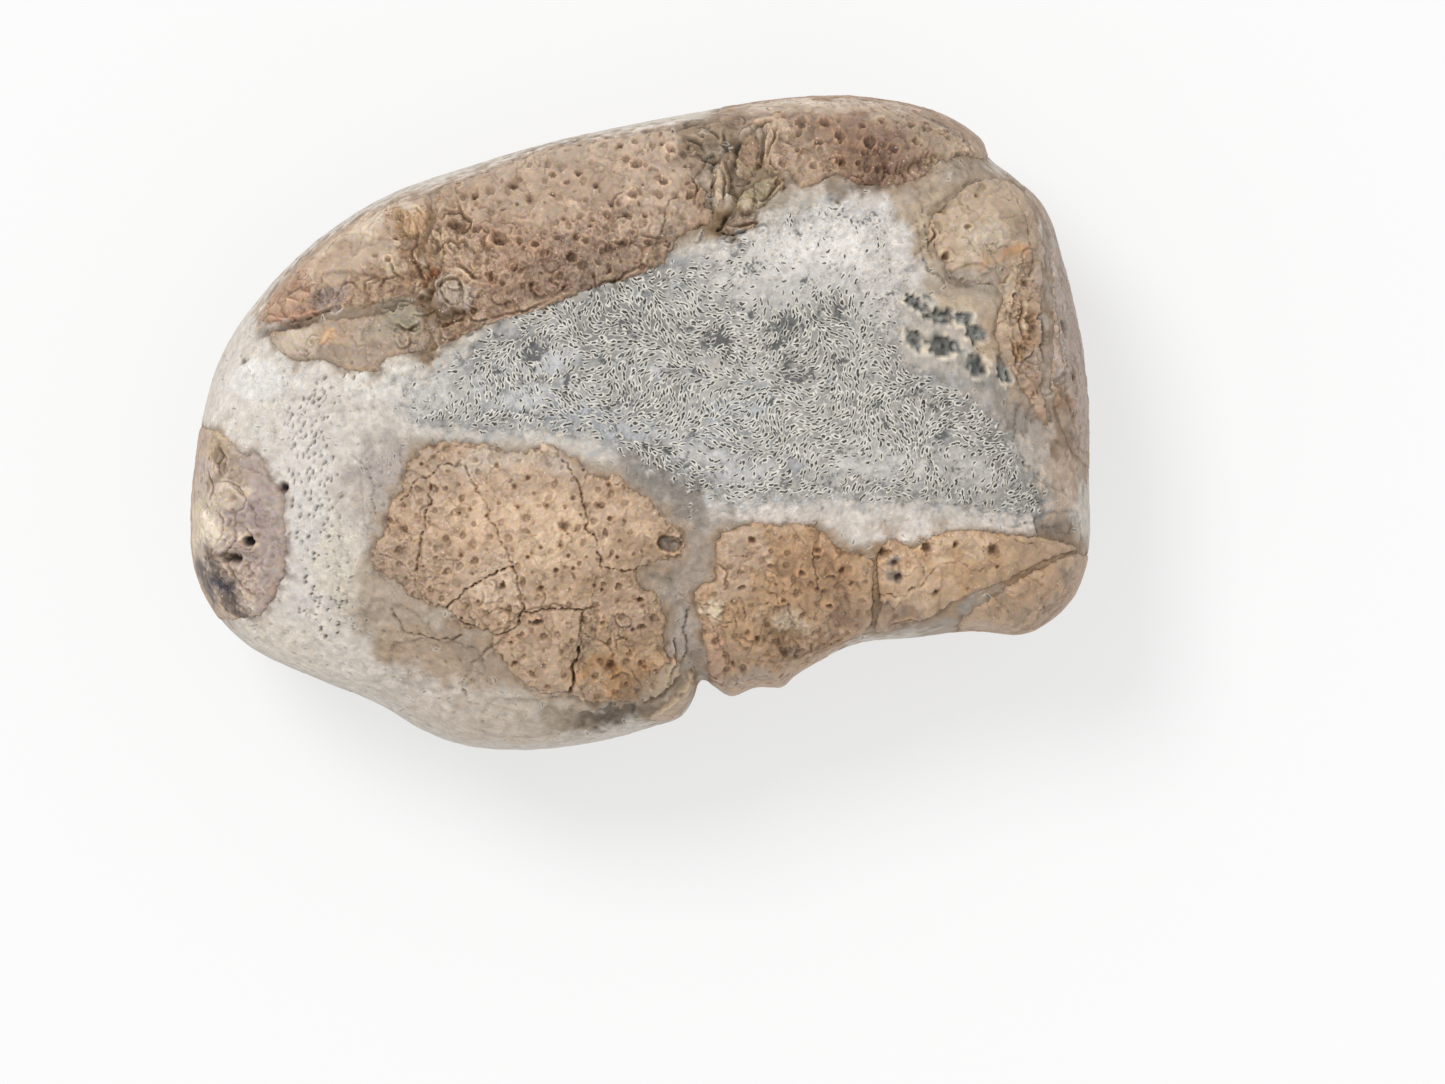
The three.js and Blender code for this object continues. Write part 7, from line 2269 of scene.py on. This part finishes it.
def stone_material(name):
    """Stone: chalky ground, and in the core the cut ends of many tiny tubes with pale walls and bores
    painted near black as shade.
    """
    graph = Graph(name)
    graph.shader.inputs["Specular IOR Level"].default_value = 0.2
    shift = graph.vector("SUBTRACT", graph.noise(0.5, 2).outputs["Color"], (0.5, 0.5, 0.5))
    moved = graph.vector("ADD", graph.place, graph.vector("SCALE", shift, scale=0.35))
    fine = graph.noise(0.12, 3, 0.6, 0.4).outputs["Fac"]
    broad = graph.noise(0.5, 3, 0.6, 0.8).outputs["Fac"]
    flakes = graph.add("ShaderNodeSeparateColor")
    graph.links.new(graph.cells(0.34, moved).outputs["Color"], flakes.inputs["Color"])
    strings = graph.sums("SUBTRACT", graph.noise(0.7, 2, 0.5, 1.6, moved).outputs["Fac"], 0.5)
    veins = graph.span(graph.sums("ABSOLUTE", strings, 0.0), 0.0, 0.02, 1.0, 0.0)
    lips = graph.sums("SUBTRACT", strings, 0.04)
    lips = graph.span(graph.sums("ABSOLUTE", lips, 0.0), 0.0, 0.03, 1.0, 0.0)
    patchy = graph.span(graph.noise(1.6, 1).outputs["Fac"], 0.4, 0.6)
    veins, lips = graph.sums("MULTIPLY", veins, patchy), graph.sums("MULTIPLY", lips, patchy)
    shade = graph.span(fine, 0.3, 0.7, 0.93, 1.07)
    shade = graph.sums("MULTIPLY", shade, graph.span(broad, 0.35, 0.65, 0.95, 1.05))
    shade = graph.sums("MULTIPLY", shade, graph.span(flakes.outputs["Red"], 0.0, 1.0, 0.95, 1.05))
    shade = graph.sums("MULTIPLY_ADD", veins, -0.3, shade)
    shade = graph.sums("MULTIPLY_ADD", lips, 0.16, shade)
    tint = graph.vector("SCALE", graph.mark("tint").outputs["Color"], scale=shade)

    flat = graph.vector("MULTIPLY", moved, (1, 1, 0))
    cells = graph.cells(0.32, flat, flat=True)
    chance = graph.add("ShaderNodeSeparateColor")
    graph.links.new(cells.outputs["Color"], chance.inputs["Color"])
    lie = graph.sums("MULTIPLY_ADD", graph.noise(4.0, 1, 0.5).outputs["Fac"], 9.0, -3.6)
    lie = graph.sums("MULTIPLY_ADD", chance.outputs["Red"], 0.9, lie)
    turned = graph.add("ShaderNodeVectorRotate", rotation_type="Z_AXIS")
    graph.links.new(graph.vector("SUBTRACT", flat, cells.outputs["Position"]), turned.inputs["Vector"])
    graph.links.new(lie, turned.inputs["Angle"])
    squashed = graph.vector("MULTIPLY", turned.outputs["Vector"], (1 / TUBE_WIDTH, 1 / TUBE_LENGTH, 0))
    far = graph.vector("LENGTH", squashed)
    density = graph.mark("tubes").outputs["Fac"]
    open_tube = graph.span(graph.sums("SUBTRACT", density, chance.outputs["Green"]), -0.1, 0.1)
    slit = graph.sums("MULTIPLY", graph.span(far, 0.75, 1.2, 1.0, 0.0), open_tube)
    wall = graph.sums("MULTIPLY", graph.span(far, 1.0, 1.4), graph.span(far, 2.3, 3.0, 1.0, 0.0))
    wall = graph.sums("MULTIPLY", wall, open_tube)
    wall_share = graph.sums("MULTIPLY", wall, graph.span(chance.outputs["Blue"], 0.0, 1.0, 0.55, 1.0))
    colour = graph.mix(wall_share, tint, TUBE_WALL)
    # The bore, painted near black as shade.
    colour = graph.mix(graph.sums("MULTIPLY", slit, 0.92), colour, TUBE_BORE)
    height = graph.sums("MULTIPLY_ADD", slit, -1.6, graph.sums("MULTIPLY", fine, 0.6))
    height = graph.sums("MULTIPLY_ADD", wall, 0.9, height)
    height = graph.sums("MULTIPLY_ADD", flakes.outputs["Red"], 0.25, height)
    roughness = graph.span(fine, 0.3, 0.7, 0.65, 0.9)
    return graph.finish(colour, roughness, height, 0.5, 0.05)


# The shell's materials differ in contrast, depth of wrinkles, gloss and share of bright flecks.
MATERIALS = {
    "nodule": stone_material("stone"),
    "claw_shell": shell_material("claw_shell", 0.08, 0.35, 0.4, 0.1),
    "sandy_shell": shell_material("sandy_shell", 0.04, 0.3, 0.4, 0.09),
    "dark_shell": shell_material("dark_shell", 0.1, 0.35, 0.5, 0.06),
    "smooth_shell": shell_material("smooth_shell", 0.06, 0.25, 0.35, 0.02),
    "olive_shell": shell_material("olive_shell", 0.09, 0.3, 0.35, 0.02),
    "pale_shell": shell_material("pale_shell", 0.06, 0.25, 0.3, 0.02),
    "leg_filling": shell_material("leg_filling", 0.07, 0.3, 0.25, 0.03),
}

pieces = [plate(name) for name in OUTLINES] + [build_stone(), build_core()]
for piece in pieces:
    piece.data.materials.append(MATERIALS[piece["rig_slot"]])

# ---- Floor, lights and camera -------------------------------------------------------------------------

CAMERA_DISTANCE = 1.49  # in metres, straight above the middle of the view
FRAME_WIDTH = 0.0770  # in metres, what the view takes in at the object's level
VIEW_X, VIEW_Y = 4.395 * MM, -6.42 * MM  # the middle of the view
VIEW_Z = 10 * MM
SUN_SHARE, SKY_SHARE = 0.44, 0.76  # of a light that shows white as white


def plain(name, colour, glow):
    """A plain surface lit from below like a light table, so that shadows on it stay faint."""
    made = bpy.data.materials.new(name)
    made.use_nodes = True
    shader = made.node_tree.nodes["Principled BSDF"]
    shader.inputs["Base Color"].default_value = (*linear(colour), 1)
    shader.inputs["Roughness"].default_value = 0.9
    shader.inputs["Specular IOR Level"].default_value = 0
    shader.inputs["Emission Color"].default_value = (1, 1, 1, 1)
    shader.inputs["Emission Strength"].default_value = glow
    return made


floor_mesh = bpy.data.meshes.new("floor")
floor_mesh.from_pydata([(-6, -6, 0), (6, -6, 0), (6, 6, 0), (-6, 6, 0)], [], [(0, 1, 2, 3)])
floor = bpy.data.objects.new("floor", floor_mesh)
floor.data.materials.append(plain("floor", (148, 148, 148), glow=0.62))
bpy.context.scene.collection.objects.link(floor)

sun_data = bpy.data.lights.new("sun", "SUN")
sun_data.angle = np.radians(22)
sun = bpy.data.objects.new("sun", sun_data)
sun_from = Vector((-0.5, 0.54, 1.1)).normalized()
sun_data.energy = SUN_SHARE * np.pi / sun_from.z
sun.rotation_euler = sun_from.to_track_quat("Z", "Y").to_euler()
bpy.context.scene.collection.objects.link(sun)

world = bpy.data.worlds.new("studio")
world.use_nodes = True
world.node_tree.nodes["Background"].inputs["Color"].default_value = (1, 1, 1, 1)
world.node_tree.nodes["Background"].inputs["Strength"].default_value = SKY_SHARE
bpy.context.scene.world = world

camera_data = bpy.data.cameras.new("camera")
camera_data.lens = camera_data.sensor_width * CAMERA_DISTANCE / FRAME_WIDTH
camera_data.clip_end = 20
camera = bpy.data.objects.new("camera", camera_data)
camera.location = (VIEW_X, VIEW_Y, VIEW_Z + CAMERA_DISTANCE)
bpy.context.scene.collection.objects.link(camera)
bpy.context.scene.camera = camera
bpy.context.scene.view_settings.view_transform = "Standard"
